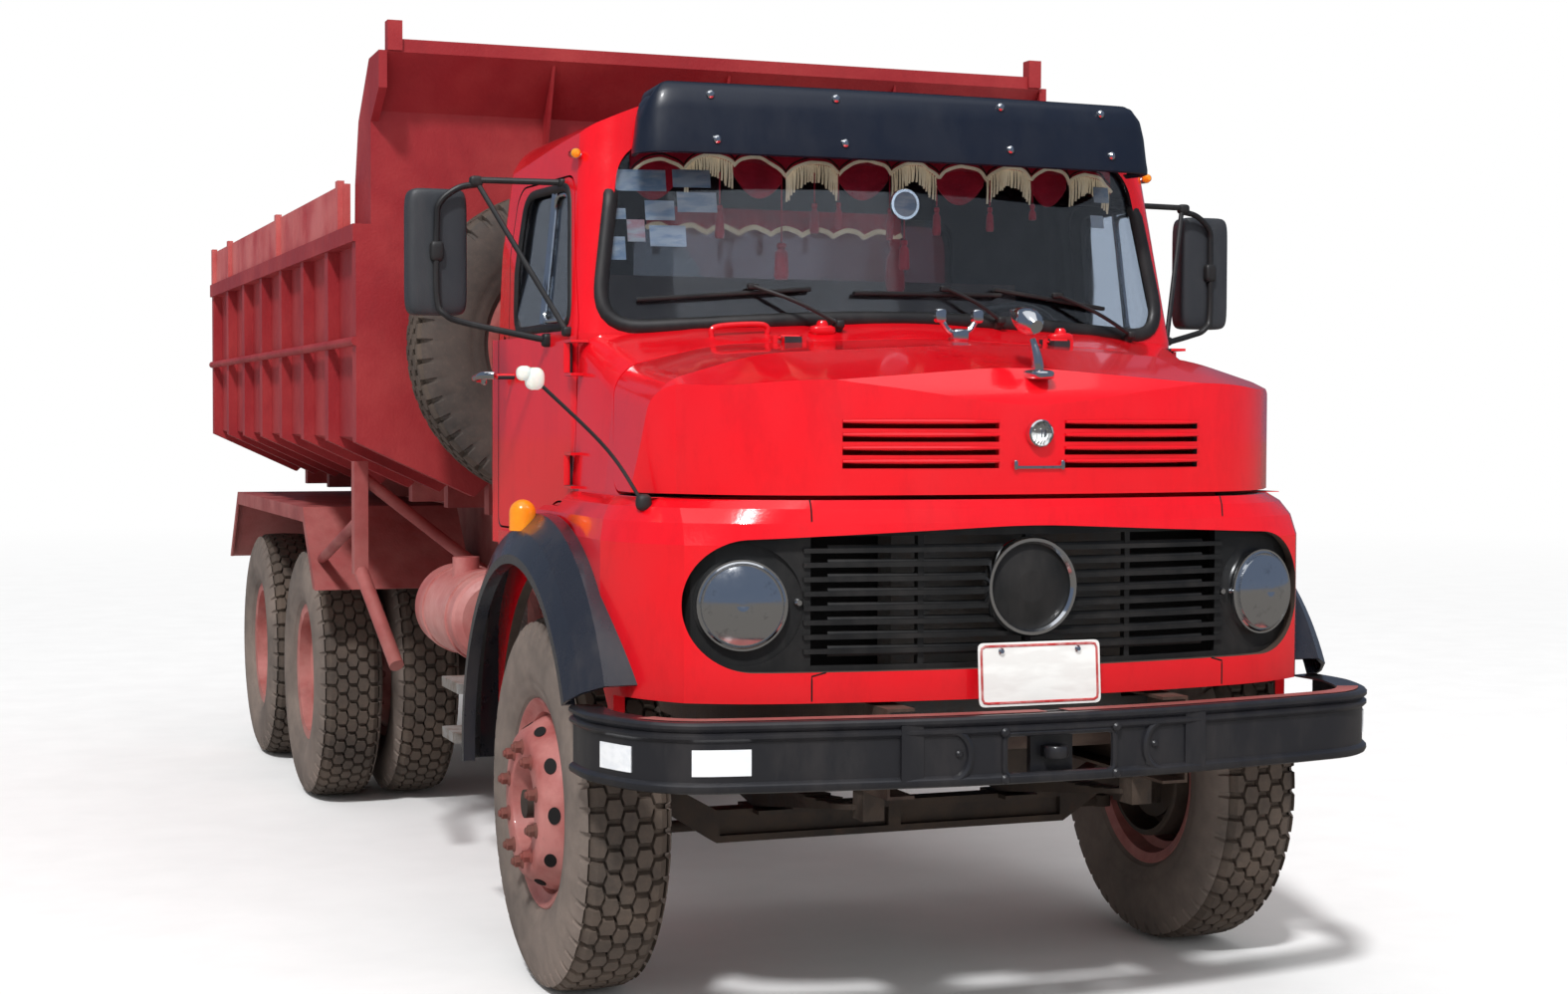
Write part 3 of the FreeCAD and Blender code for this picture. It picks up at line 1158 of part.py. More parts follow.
def grille():
    """Black oval surround with the lamps' bays and a grid of slats in the middle."""
    depth = 28
    high = s.hood_sill - 6
    back_plate = nose_form(s.nose_wall + 0.3, 0, 600, high)
    back_inner = nose_form(s.nose_wall + depth, 100, 590, high + 10)
    band = back_plate.cut(back_inner)
    mouth_half, mouth_low, mouth_high = 940, 940, 1345
    frame = slab(rounded([(-mouth_half, mouth_low), (mouth_half, mouth_low), (mouth_half, mouth_high),
                          (-mouth_half, mouth_high)], [180, 180, 180, 180]), "y", -1400, -560)
    band = band.common(frame)
    half, low, high = 590, 982, 1312
    band = band.cut(block(-half, half, -1400, -500, low, high))
    bars = []
    count = 9
    pitch = (high - low) / count
    slats = nose_plan(s.nose_wall - 8, 0).extrude(Z_AXIS * 12)
    slats = slats.cut(nose_plan(s.nose_wall + 20, 100).extrude(Z_AXIS * 12))
    slats = slats.common(block(-half - 20, half + 20, -1400, -500, -10, 30))
    for i in range(1, count):
        bar = slats.copy()
        bar.translate(Z_AXIS * (low + i * pitch - 6))
        bars.append(bar)
    for x in (-300, 0, 300):
        post = nose_plan(s.nose_wall + 4, 0).extrude(Z_AXIS * (high - low + 20))
        post = post.cut(nose_plan(s.nose_wall + 26, 100).extrude(Z_AXIS * (high - low + 20)))
        post = post.common(block(x - 8, x + 8, -1400, -500, 0, 1000))
        post.translate(Z_AXIS * (low - 10))
        bars.append(post)
    shape = band.multiFuse(bars)
    seat = Part.makeCylinder(s.lamp_radius + 8, 90, V(0, 0, -90), Z_AXIS)
    bay = Part.makeCylinder(s.lamp_radius - 8, 400, V(0, 0, -200), Z_AXIS)
    front = Part.makeCylinder(s.lamp_radius + 40, 200, ORIGIN, Z_AXIS)
    for sign in (-1, 1):
        shape = shape.cut(lamp_placed(front, sign)).fuse(lamp_placed(seat, sign)).cut(lamp_placed(bay, sign))
    node("grille", shaped("grille_surround", shape))


def lamp_placed(shape, sign):
    """Stand a lamp's piece, drawn facing up, in its bay: turned a little outwards."""
    one = shape.copy()
    one.rotate(ORIGIN, X_AXIS, 90)
    one.rotate(ORIGIN, Z_AXIS, sign * 16)
    one.translate(V(sign * s.lamp_half, s.lamp_seat - s.panel_nose, s.lamp_rise))
    return one


def headlamps():
    """Round headlamps: bowl, ring and a domed lens in one piece each."""
    bowl = Part.makeCone(70, s.lamp_radius - 10, 90, V(0, 0, -90), Z_AXIS)
    ring = Part.makeCylinder(s.lamp_radius, 22, ORIGIN, Z_AXIS)
    dome = Part.makeSphere(230, V(0, 0, 22 - 198)).common(Part.makeCylinder(100, 60, V(0, 0, 10), Z_AXIS))
    lamp = bowl.multiFuse([ring, dome])
    pair = [lamp_placed(lamp, sign) for sign in (-1, 1)]
    node("headlamps", shaped("headlamp_pair", Part.makeCompound(pair)))


def radiator():
    """Radiator behind the grille."""
    web = s.rail_half - s.rail_wall
    core = block(-340, 340, -790, -700, 850, 1340)
    foot = block(-web, web, -785, -735, RAIL_TOP - 90, RAIL_TOP - 20)
    node("radiator", shaped("radiator_core", core.fuse(foot)))


def marker_lamps():
    """Amber domes on the flares and tail lamps on their brackets."""
    lamps = []
    flare = flare_ring()
    for sign in (-1, 1):
        top = s.arch_rise + s.arch_radius + 92
        dome = Part.makeSphere(38, V(0, 0, 50)).common(block(-60, 60, -60, 60, 50, 100))
        lamp = dome.fuse(Part.makeCylinder(38, 50, ORIGIN, Z_AXIS))
        lamp.translate(V(sign * (s.flare_half - 42), 60, top))
        side = flare if sign > 0 else flare.mirror(ORIGIN, X_AXIS)
        lamps.append(max(lamp.cut(side).Solids, key=lambda part: part.BoundBox.ZMax))
        rail_end = s.hinge_back + s.rail_overhang
        tail = block(sign * 505 - 70, sign * 505 + 70, rail_end + 6, rail_end + 40, 780, 880)
        near, far = sorted((sign * 360, sign * 520))
        bar = block(near, far, rail_end, rail_end + 6, 810, 860)
        lamps.append(tail.fuse(bar))
    node("marker_lamps", shaped("lamp_set", Part.makeCompound(lamps)))


# Dump bed

def bed_profile():
    """Cross-section of the bed: flat floor, sloping lower sides, upright sheets."""
    wall = s.bed_wall
    outer = [(s.bed_half, s.bed_rail), (s.bed_half, s.bed_kink), (s.bed_sill_half, s.bed_floor)]
    inner = [(s.bed_sill_half - 0.3 * wall, s.bed_floor + wall), (s.bed_half - wall, s.bed_kink + 0.4 * wall),
             (s.bed_half - wall, s.bed_rail)]
    left = [(-x, z) for x, z in outer][::-1]
    left_inner = [(-x, z) for x, z in inner][::-1]
    return outer + left + left_inner + inner


def bed_back():
    """Rear end of the bed's floor and sides."""
    return s.rear_reach - s.gate_wall - s.running_gap


def bed_shell():
    """Open box of floor, sides and front wall, on two long sills."""
    wall = s.bed_wall
    trough = prism(bed_profile(), "y", s.bed_front, bed_back())
    outline = [(s.bed_half, s.bed_rail), (s.bed_half, s.bed_kink), (s.bed_sill_half, s.bed_floor),
               (-s.bed_sill_half, s.bed_floor), (-s.bed_half, s.bed_kink), (-s.bed_half, s.bed_rail)]
    front = prism(outline, "y", s.bed_front, s.bed_front + wall)
    node("bed_shell", shaped("bed_sheets", trough.fuse(front)))


def bed_sills():
    """Long sills and cross bearers under the floor, ears for the hinge and the hoist."""
    base = RAIL_TOP + s.subframe_height + 0.3
    pieces = []
    for sign in (-1, 1):
        near, far = sorted((sign * (s.rail_half - s.subframe_width), sign * s.rail_half))
        pieces.append(block(near, far, s.bed_front + 40, bed_back(), base, s.bed_floor))
    bearers = 7
    first, last = s.bed_front, bed_back() - 70
    for i in range(bearers):
        y = first + (last - first) * i / (bearers - 1)
        pieces.append(block(22 - s.bed_sill_half, s.bed_sill_half - 22, y, y + 70, s.bed_floor - 110, s.bed_floor))
    frame = pieces[0].multiFuse(pieces[1:])
    for sign in (-1, 1):
        near, far = sorted((sign * (s.rail_half + 6), sign * (s.rail_half + 30)))
        ear = block(near, far, s.hinge_back - 70, s.hinge_back + 70, HINGE_Z - 60, s.bed_floor)
        near, far = sorted((sign * (s.rail_half - 10), sign * (s.rail_half + 30)))
        root = block(near, far, s.hinge_back - 70, s.hinge_back + 70, base + 20, s.bed_floor)
        frame = frame.fuse(ear).fuse(root)
    bore = Part.makeCylinder(30 + s.pin_fit, 1400, V(-700, s.hinge_back, HINGE_Z), X_AXIS)
    frame = frame.cut(bore)
    for sign in (-1, 1):
        near, far = sorted((sign * 42, sign * 66))
        ear = block(near, far, HOIST_EYE_Y - 60, HOIST_EYE_Y + 60, HOIST_EYE_Z - 60, s.bed_floor - 60)
        frame = frame.fuse(ear)
    frame = frame.fuse(block(-s.rail_half + 20, s.rail_half - 20, HOIST_EYE_Y - 60, HOIST_EYE_Y + 60,
                             s.bed_floor - 90, s.bed_floor))
    hole = Part.makeCylinder(26, 400, V(-200, HOIST_EYE_Y, HOIST_EYE_Z), X_AXIS)
    node("bed_sills", shaped("bed_bearers", frame.cut(hole)))


def bed_ribs():
    """Upright ribs with raked feet, the top rail and a pipe along each side."""
    depth = s.rib_depth
    low = s.bed_half
    profile = [(low, s.bed_rail - 60), (low + depth, s.bed_rail - 60), (low + depth, s.bed_kink - 16),
               (s.bed_sill_half + 30, s.bed_floor - 46), (s.bed_sill_half - 20, s.bed_floor),
               (s.bed_sill_half, s.bed_floor), (low, s.bed_kink)]
    first, last = s.bed_front, bed_back() - s.rib_width
    count = int(s.rib_count)
    pieces = [block(low, low + depth + 10, first, bed_back(), s.bed_rail - 60, s.bed_rail)]
    pieces.append(Part.makeCylinder(16, bed_back() - first, V(low + depth, first, 1870), Y_AXIS))
    for i in range(count):
        y = first + (last - first) * i / (count - 1)
        pieces.append(prism(profile, "y", y, y + s.rib_width))
    side = pieces[0].multiFuse(pieces[1:])
    node("bed_ribs", shaped("bed_rib_rows", both_sides(side)))


def bed_canopy():
    """Upper front wall, its forward-leaning canopy, side wings and end posts."""
    crease = 2655
    lip = s.bed_front - 150
    sheet = prism([(s.bed_front, s.bed_rail), (s.bed_front + 20, s.bed_rail), (s.bed_front + 20, crease),
                   (lip + 14, s.canopy_rise - 40), (lip + 14, s.canopy_rise), (lip, s.canopy_rise),
                   (lip, s.canopy_rise - 44), (s.bed_front, crease)],
                  "x", -s.bed_half + 40, s.bed_half - 40)
    pieces = [sheet]
    for sign in (-1, 1):
        near, far = sorted((sign * (s.bed_half - 40), sign * (s.bed_half - 12)))
        wing = prism([(s.bed_front, s.bed_rail), (s.bed_front, 2620), (lip, 2715), (lip, s.canopy_rise - 40),
                      (s.bed_front + 30, 2835), (s.bed_front + 230, 2645), (s.bed_front + 300, 2430),
                      (s.bed_front + 310, s.bed_rail)], "x", near, far)
        near, far = sorted((sign * (s.bed_half - 90), sign * (s.bed_half - 40)))
        post = block(near, far, lip - 12, lip + 38, s.canopy_rise - 40, s.canopy_rise + 60)
        pieces.extend([wing, post])
    for x in (-640, 0, 640):
        gusset = prism([(s.bed_front, crease - 220), (s.bed_front, crease), (lip + 6, s.canopy_rise - 44)],
                       "x", x - 5, x + 5)
        pieces.append(gusset)
    node("bed_canopy", shaped("bed_canopy_sheet", pieces[0].multiFuse(pieces[1:])))


def side_boards():
    """Boards standing on the side rails with their posts."""
    first, last = s.bed_front + 312, bed_back()
    board = block(s.bed_half + 2, s.bed_half + 26, first, last, s.bed_rail, s.bed_rail + s.board_height)
    pieces = [board]
    for y in (first + 20, first + 1500, first + 3050, last - 60):
        pieces.append(block(s.bed_half + 20, s.bed_half + 44, y, y + 50, s.bed_rail,
                            s.bed_rail + s.board_height + 12))
    node("side_boards", shaped("side_board_pair", both_sides(pieces[0].multiFuse(pieces[1:]))))


def tailgate():
    """Tailgate hung from two top lugs, closing the bed's section."""
    gap = s.running_gap
    face = bed_back() + gap
    half = s.bed_half - 5
    outline = [(half, s.bed_rail - 5), (half, s.bed_kink), (s.bed_sill_half, s.bed_floor),
               (-s.bed_sill_half, s.bed_floor), (-half, s.bed_kink), (-half, s.bed_rail - 5)]
    sheet = prism(outline, "y", face, face + 16)
    pieces = [sheet]
    for x in (-900, -450, 0, 450, 900):
        pieces.append(block(x - 35, x + 35, face + 10, face + s.gate_wall, s.bed_kink + 10, s.bed_rail - 70))
    for z in (s.bed_kink - 40, s.bed_rail - 75):
        pieces.append(block(-half + 30, half - 30, face + 10, face + s.gate_wall, z, z + 60))
    for sign in (-1, 1):
        near, far = sorted((sign * (half - 120), sign * (half - 70)))
        pieces.append(block(near, far, face + 10, face + 50, s.bed_rail - 40, s.bed_rail + 75))
    shape = pieces[0].multiFuse(pieces[1:])
    bore = Part.makeCylinder(14 + s.pin_fit, 3000, V(-1500, face + 25, s.bed_rail + 45), X_AXIS)
    node("tailgate", shaped("tailgate_sheet", shape.cut(bore)))


def gate_hinges():
    """Arms on the bed's side sheets with the pins that the tailgate hangs on."""
    face = bed_back() + s.running_gap
    arms = []
    for sign in (-1, 1):
        near, far = sorted((sign * (s.bed_half - 60), sign * s.bed_half))
        arm = prism([(bed_back() - 120, s.bed_rail), (bed_back(), s.bed_rail), (bed_back(), s.bed_rail + 20),
                     (face + 50, s.bed_rail + 20), (face + 50, s.bed_rail + 75), (bed_back() - 120, s.bed_rail + 75)],
                    "x", near, far)
        start, end = sorted((sign * (s.bed_half - 132), sign * (s.bed_half - 20)))
        pin = Part.makeCylinder(14, end - start, V(start, face + 25, s.bed_rail + 45), X_AXIS)
        arms.append(arm.fuse(pin))
    node("gate_hinges", shaped("gate_hinge_arms", Part.makeCompound(arms)))


# Hoist under the bed

def hoist():
    """Barrel pivoted over the bogie and its rod, reaching forward to the bed."""
    run = V(0, HOIST_EYE_Y - HOIST_FOOT_Y, HOIST_EYE_Z - HOIST_FOOT_Z)
    length = run.Length
    out = V(run).normalize()
    foot = V(0, HOIST_FOOT_Y, HOIST_FOOT_Z)
    eye = Part.makeCylinder(52, 90, foot - X_AXIS * 45, X_AXIS)
    barrel = Part.makeCylinder(72, length - 330, foot + out * 90, out)
    neck = Part.makeCylinder(42, 100, foot + out * 20, out)
    bore = Part.makeCylinder(48.5, length - 360, foot + out * 120, out)
    throat = Part.makeCylinder(40.1, 200, foot + out * (length - 330), out)
    shape = barrel.multiFuse([eye, neck]).cut(bore).cut(throat)
    shape = shape.cut(Part.makeCylinder(30 + s.pin_fit, 120, foot - X_AXIS * 60, X_AXIS))
    node("hoist_barrel", shaped("hoist_tube", shape))
    rod_shape = Part.makeCylinder(40, length - 190, foot + out * 150, out)
    piston = Part.makeCylinder(48, 60, foot + out * 130, out)
    head = Part.makeCylinder(50, 70, foot + out * length - X_AXIS * 35, X_AXIS)
    rod_shape = rod_shape.multiFuse([piston, head])
    node("hoist_rod", shaped("hoist_ram", rod_shape))


# Guards and spare wheel

def mudguards():
    """Angular guards over the bogie, their stays and the side rail ahead of them."""
    top = s.guard_rise
    first, last = REAR_AXLES[0], REAR_AXLES[1]
    sheet = 8
    outline = [(first - 660, 920), (first - 350, top), (last + 350, top), (last + 640, 910),
               (last + 632, 908), (last + 347, top - sheet), (first - 347, top - sheet), (first - 652, 918)]
    inner = s.rear_track_half - s.wheel_offset - s.tyre_width / 2 - s.running_gap
    guard = prism(outline, "x", -s.guard_half, -inner)
    apron = prism([(first - 660, 920), (first - 350, top), (first - 350, top - 60), (first - 600, 920)],
                  "x", -s.guard_half, -s.guard_half + sheet)
    apron_top = prism([(first - 350, top), (last + 350, top), (last + 350, top - 60), (first - 350, top - 60)],
                      "x", -s.guard_half, -s.guard_half + sheet)
    apron_end = prism([(last + 640, 910), (last + 350, top), (last + 350, top - 60), (last + 580, 910)],
                      "x", -s.guard_half, -s.guard_half + sheet)
    stays = []
    for y in (first - 100, last + 60):
        stays.append(block(-inner, -s.rail_half, y, y + 60, RAIL_TOP + 60, RAIL_TOP + 110))
        stays.append(block(-inner, 30 - inner, y, y + 60, RAIL_TOP + 60, top - 4))
    guard = guard.multiFuse([apron, apron_top, apron_end] + stays)
    node("mudguards", shaped("guard_pair", both_sides(guard)))


def side_guards():
    """Upright post and raked tubes ahead of each bogie."""
    post = block(-1225, -1175, 2060, 2120, 1040, 1450)
    tube = pipe([(-1200, 2090, 1060), (-1140, 1720, 740)], 26)
    brace = pipe([(-1200, 2090, 1400), (-s.rail_half - 30, 2090, RAIL_TOP - 60)], 22)
    foot = block(-s.rail_half - 36, -s.rail_half, 2050, 2130, RAIL_TOP - 120, RAIL_TOP - 10)
    stay = pipe([(-1200, 2090, 1240), (-1180, REAR_AXLES[0] - 560, 1040)], 20)
    one = post.multiFuse([tube, brace, stay, foot])
    node("side_guards", shaped("side_guard_pair", both_sides(one)))


def carrier_tubes(front):
    """Square tubes of the spare wheel's carrier, cut to length and butted together."""
    half, post = 30, 390
    back = front + 2 * half
    tubes = [block(x - half, x + half, front, back, RAIL_TOP, 2120) for x in (-post, post)]
    for z in (s.spare_rise, 1180):
        for start, end in ((-s.spare_aside - 150, -post - half), (half - post, post - half)):
            tubes.append(block(start, end, front, back, z - half, z + half))
    return tubes


def spare_wheel():
    """Spare wheel standing across the truck behind the cab, on its carrier."""
    tyre = turned_body("tyre_spare", TYRE_SECTION)
    tyre.Placement.Rotation = FreeCAD.Rotation(Z_AXIS, 90)
    put(tyre, "-spare_aside", "spare_back", "spare_rise")
    node("spare_tyre", tyre)
    rim = rim_body("rim_spare")
    rim.Placement.Rotation = FreeCAD.Rotation(Z_AXIS, 90)
    put(rim, "-spare_aside", "spare_back", "spare_rise")
    node("spare_rim", rim)
    face = s.spare_back + s.wheel_offset
    plate = Part.makeCylinder(s.disc_radius - 4, 14, V(-s.spare_aside, face, s.spare_rise), Y_AXIS)
    frame = Part.makeCompound([plate] + carrier_tubes(face + 14))
    node("spare_carrier", shaped("carrier_frame", frame))


# Mirrors

def mirrors():
    """Mirror heads on tubular arms, carried by the doors."""
    head = slab(rounded([(-88, 1909), (88, 1909), (88, 2277), (-88, 2277)], [30, 30, 30, 30]), "y", 365, 435)
    head.translate(V(-1283, 0, 0))
    arms = pipe([(-985, 250, 1836), (-1283, 362, 1885), (-1283, 362, 2300), (-930, 270, 2297)], 9)
    brace = pipe([(-975, 75, 1855), (-1172, 333, 2299)], 8)
    feet = [block(-1000, -960, 232, 268, 1816, 1856), block(-985, -955, 62, 92, 1842, 1866),
            block(-950, -915, 250, 290, 2286, 2306)]
    shape = head.multiFuse([arms, brace] + feet).cut(cab_form(0))
    node("mirror_right", shaped("mirror_r", shape))
    node("mirror_left", shaped("mirror_l", shape.mirror(ORIGIN, X_AXIS)))


# The whole truck

def draw():
    """Make every sub-part."""
    for side, sign in (("right", -1), ("left", 1)):
        frame_rail(side, sign)
        node(f"knuckle_{side}", shaped(f"knuckle_{side}_forging", knuckle_shape(sign)))
        front_wheel(side, sign)
        twin_wheel(side, sign, 1)
        twin_wheel(side, sign, 2)
    makers = (cross_members, subframe, front_axle, tie_rod, rear_axles, leaf_springs, driveline, radiator,
              bumper, fuel_tank, battery_box, cab_steps, cab_shell, doors, cab_glass, visor, bench_seat,
              dashboard, steering_wheel, hood, front_panel, arch_flares, grille, headlamps, marker_lamps,
              bed_shell, bed_sills, bed_ribs, bed_canopy, side_boards, tailgate, gate_hinges, hoist,
              mudguards, side_guards, spare_wheel, mirrors)
    for maker in makers:
        maker()


def check():
    """Stop if anything failed to build or a finished piece isn't a sound shape."""
    for item in DOC.Objects:
        if "Invalid" in item.State or "Error" in item.State:
            raise RuntimeError(f"{item.Name} failed: {item.State}")
    unsound = [item.Label for item in NODES
               if item.Shape.isNull() or not item.Shape.isValid() or not item.Shape.Solids]
    if unsound:
        raise RuntimeError(f"no sound shape: {unsound}")


def write():
    """Write each finished piece to its own file."""
    os.makedirs("parts", exist_ok=True)
    for item in NODES:
        item.Shape.exportStep(os.path.join("parts", item.Label + ".step"))


draw()
DOC.recompute()
check()
write()
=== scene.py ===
"""Dressing of a short-bonneted three-axle tipper truck, laid out as an add-on and run as a script.

Lengths are metres. Places are given about the front axle (y = 0 there, the truck faces -Y) and are
moved into the frame's own axes by here().
"""

import math

import bpy
import numpy as np
from mathutils import Matrix, Vector
from mathutils.bvhtree import BVHTree


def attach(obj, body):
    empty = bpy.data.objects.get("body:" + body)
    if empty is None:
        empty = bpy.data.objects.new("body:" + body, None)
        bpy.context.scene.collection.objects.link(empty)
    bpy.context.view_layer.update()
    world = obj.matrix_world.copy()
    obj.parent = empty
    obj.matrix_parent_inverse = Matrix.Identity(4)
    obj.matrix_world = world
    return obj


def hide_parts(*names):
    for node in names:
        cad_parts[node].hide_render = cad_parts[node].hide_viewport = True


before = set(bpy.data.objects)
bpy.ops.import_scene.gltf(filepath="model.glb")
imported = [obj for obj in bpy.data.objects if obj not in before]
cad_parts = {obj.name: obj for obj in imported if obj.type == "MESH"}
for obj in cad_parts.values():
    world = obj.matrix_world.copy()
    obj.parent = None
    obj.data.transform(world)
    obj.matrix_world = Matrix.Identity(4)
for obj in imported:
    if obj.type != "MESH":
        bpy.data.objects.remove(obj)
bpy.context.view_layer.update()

bl_info = {
    "name": "Tipper truck dressing",
    "version": (1, 0, 0),
    "blender": (4, 5, 0),
    "location": "View3D > Sidebar > Truck",
    "description": "Finishes and trim for a short-bonneted tipper truck",
    "category": "Object",
}

AXLE_Y = -2.3
FORWARD = (0.0, -1.0, 0.0)
BACKWARD = (0.0, 1.0, 0.0)
TO_LEFT = (1.0, 0.0, 0.0)
DOWN = (0.0, 0.0, -1.0)
UP = (0.0, 0.0, 1.0)
SIDES = (("right", -1), ("left", 1))

# Planes in front of the windscreen and of the nose, from which points are carried back onto them
SCREEN_AHEAD = -1.0
NOSE_AHEAD = -1.6

CLOTH_THICKNESS = 0.003


# Places and lines


def here(points):
    """Points about the front axle, moved into the frame's axes."""
    return np.asarray(points, float) + np.array([0.0, AXLE_Y, 0.0])


def unit(vectors):
    """Vectors of length one."""
    size = np.linalg.norm(vectors, axis=-1, keepdims=True)
    return vectors / np.maximum(size, 1e-9)


def flow(points, count):
    """Smooth line through points: Catmull-Rom, count samples evenly spaced in its parameter."""
    p = np.asarray(points, float)
    p = np.vstack([2 * p[:1] - p[1:2], p, 2 * p[-1:] - p[-2:-1]])
    spans = len(p) - 3
    t = np.linspace(0, spans, count)
    k = np.minimum(t.astype(int), spans - 1)
    f = (t - k)[:, None]
    a, b, c, d = p[k], p[k + 1], p[k + 2], p[k + 3]
    return 0.5 * (2 * b + (c - a) * f + (2 * a - 5 * b + 4 * c - d) * f**2 + (3 * b - a - 3 * c + d) * f**3)


def rounded_line(corners, radii, per_corner=8):
    """Closed outline: each corner is a parabola between the points a radius away along its two runs."""
    p = np.asarray(corners, float)
    r = np.asarray(radii, float)[:, None]
    before, after = np.roll(p, 1, axis=0) - p, np.roll(p, -1, axis=0) - p
    first = p + unit(before) * np.minimum(r, 0.48 * np.linalg.norm(before, axis=1, keepdims=True))
    last = p + unit(after) * np.minimum(r, 0.48 * np.linalg.norm(after, axis=1, keepdims=True))
    t = np.linspace(0, 1, per_corner)[None, :, None]
    arcs = (1 - t) ** 2 * first[:, None] + 2 * t * (1 - t) * p[:, None] + t**2 * last[:, None]
    return arcs.reshape(-1, p.shape[1])


def resampled(line, count, closed=False):
    """The same line at evenly spaced points."""
    p = np.asarray(line, float)
    if closed:
        p = np.vstack([p, p[:1]])
    run = np.concatenate([[0], np.cumsum(np.linalg.norm(np.diff(p, axis=0), axis=1))])
    at = np.linspace(0, run[-1], count, endpoint=not closed)
    return np.stack([np.interp(at, run, p[:, k]) for k in range(p.shape[1])], -1)


_trees = {}


def on_surface(node, points, direction, lift=0.0):
    """Points carried along a direction onto a CAD node, then lifted off it along its normal."""
    if node not in _trees:
        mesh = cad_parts[node].data
        _trees[node] = BVHTree.FromPolygons([v.co for v in mesh.vertices], [p.vertices for p in mesh.polygons])
    tree, way = _trees[node], Vector(direction)
    found = []
    for point in np.asarray(points, float):
        place, normal, _index, _distance = tree.ray_cast(Vector(point), way)
        if place is None:
            place, normal, _index, _distance = tree.find_nearest(Vector(point) + way * 0.5)
        if normal.dot(way) > 0:
            normal = -normal
        found.append(place + normal * lift)
    return np.array(found)


def landed(node, x, y, z, direction, lift=0.0):
    """Places about the front axle, each of x, y and z a number or an array, carried onto a CAD node."""
    x, y, z = np.broadcast_arrays(*(np.atleast_1d(v) for v in (x, y, z)))
    return on_surface(node, here(np.stack([x, y, z], -1)), direction, lift)


# Surfaces


def outward(points, faces):
    """The same surface wound so that its faces look out: the sum of a.(b x c) over its quads is the volume's sign."""
    about = points - points.mean(axis=0)
    quads = np.array([f for f in faces if len(f) == 4])
    a, b, c, d = (about[quads[:, k]] for k in range(4))
    volume = (np.einsum("ij,ij->i", a, np.cross(b, c)) + np.einsum("ij,ij->i", a, np.cross(c, d))).sum()
    return points, ([f[::-1] for f in faces] if volume < 0 else faces)


def skin(grid, wrap_rows=False):
    """Surface over a grid of points: quads between neighbours, each row closed on itself, the two ends closed flat.

    With wrap_rows the last row joins the first instead.
    """
    rows, columns = grid.shape[:2]
    i = np.arange(rows if wrap_rows else rows - 1)
    a, b = np.meshgrid(i, np.arange(columns), indexing="ij")
    c, d = (a + 1) % rows, (b + 1) % columns
    faces = np.stack([a * columns + b, c * columns + b, c * columns + d, a * columns + d], -1)
    faces = faces.reshape(-1, 4).tolist()
    if not wrap_rows:
        faces.append(list(range(columns))[::-1])
        faces.append(list(range((rows - 1) * columns, rows * columns)))
    return outward(grid.reshape(-1, 3), faces)


def carry(path, profile, up=UP, closed=False, scale=None):
    """Profile carried along a path: each ring is path + side * x + lift * y, side square to the path and up."""
    path = np.asarray(path, float)
    if closed:
        along = np.roll(path, -1, axis=0) - np.roll(path, 1, axis=0)
    else:
        along = np.gradient(path, axis=0)
    along = unit(along)
    side = unit(np.cross(along, np.broadcast_to(np.asarray(up, float), path.shape)))
    lift = np.cross(side, along)
    shape = np.asarray(profile, float)[None]
    if scale is not None:
        shape = shape * np.asarray(scale, float)[:, None, None]
    grid = path[:, None] + side[:, None] * shape[..., :1] + lift[:, None] * shape[..., 1:]
    return skin(grid, wrap_rows=closed)


def circle(radius, sides=10, squash=1.0):
    """Round profile, squashed in its second direction."""
    t = np.linspace(0, 2 * np.pi, sides, endpoint=False)
    return np.stack([radius * np.cos(t), radius * squash * np.sin(t)], -1)


def bar(points, radius, sides=8, up=UP, count=None):
    """Round bar along a smooth line through the points."""
    line = flow(points, count or 6 * len(points)) if len(points) > 2 else points
    return carry(line, circle(radius, sides), up)


def axes_of(axis):
    """The axis at length one, and two directions square to it."""
    a = unit(np.asarray(axis, float))
    helper = np.array([0.0, 0.0, 1.0]) if abs(a[2]) < 0.9 else np.array([0.0, 1.0, 0.0])
    u = unit(np.cross(helper, a))
    return a, u, np.cross(a, u)


def turned(profile, centre, axis=UP, sides=24, ring=False):
    """Profile of (radius, height) turned about an axis: centre + radius * (u cos t + v sin t) + axis * height.

    Its points on the axis are left out and its ends closed flat, or it closes on itself as a ring.
    """
    p = np.asarray(profile, float)
    if not ring:
        p = p[p[:, 0] > 1e-6]
    a, u, v = axes_of(axis)
    t = np.linspace(0, 2 * np.pi, sides, endpoint=False)
    around = np.cos(t)[:, None] * u + np.sin(t)[:, None] * v
    grid = np.asarray(centre, float) + p[:, None, :1] * around[None] + p[:, None, 1:] * a
    return skin(grid, wrap_rows=ring)


def signed_power(values, exponent):
    """Power of the values' size, with their sign."""
    return np.sign(values) * np.abs(values) ** exponent


def pillow(centre, half, plan=0.35, side=0.35, rows=10, columns=24):
    """Superellipsoid: half sizes times signed powers of cosine and sine, so small powers give a rounded box."""
    v = np.linspace(-np.pi / 2, np.pi / 2, rows + 2)[1:-1, None]
    u = np.linspace(-np.pi, np.pi, columns, endpoint=False)[None]
    x = half[0] * signed_power(np.cos(v), side) * signed_power(np.cos(u), plan)
    y = half[1] * signed_power(np.cos(v), side) * signed_power(np.sin(u), plan)
    z = half[2] * signed_power(np.sin(v), side) * np.ones_like(u)
    return skin(np.stack([x, y, z], -1) + np.asarray(centre, float))


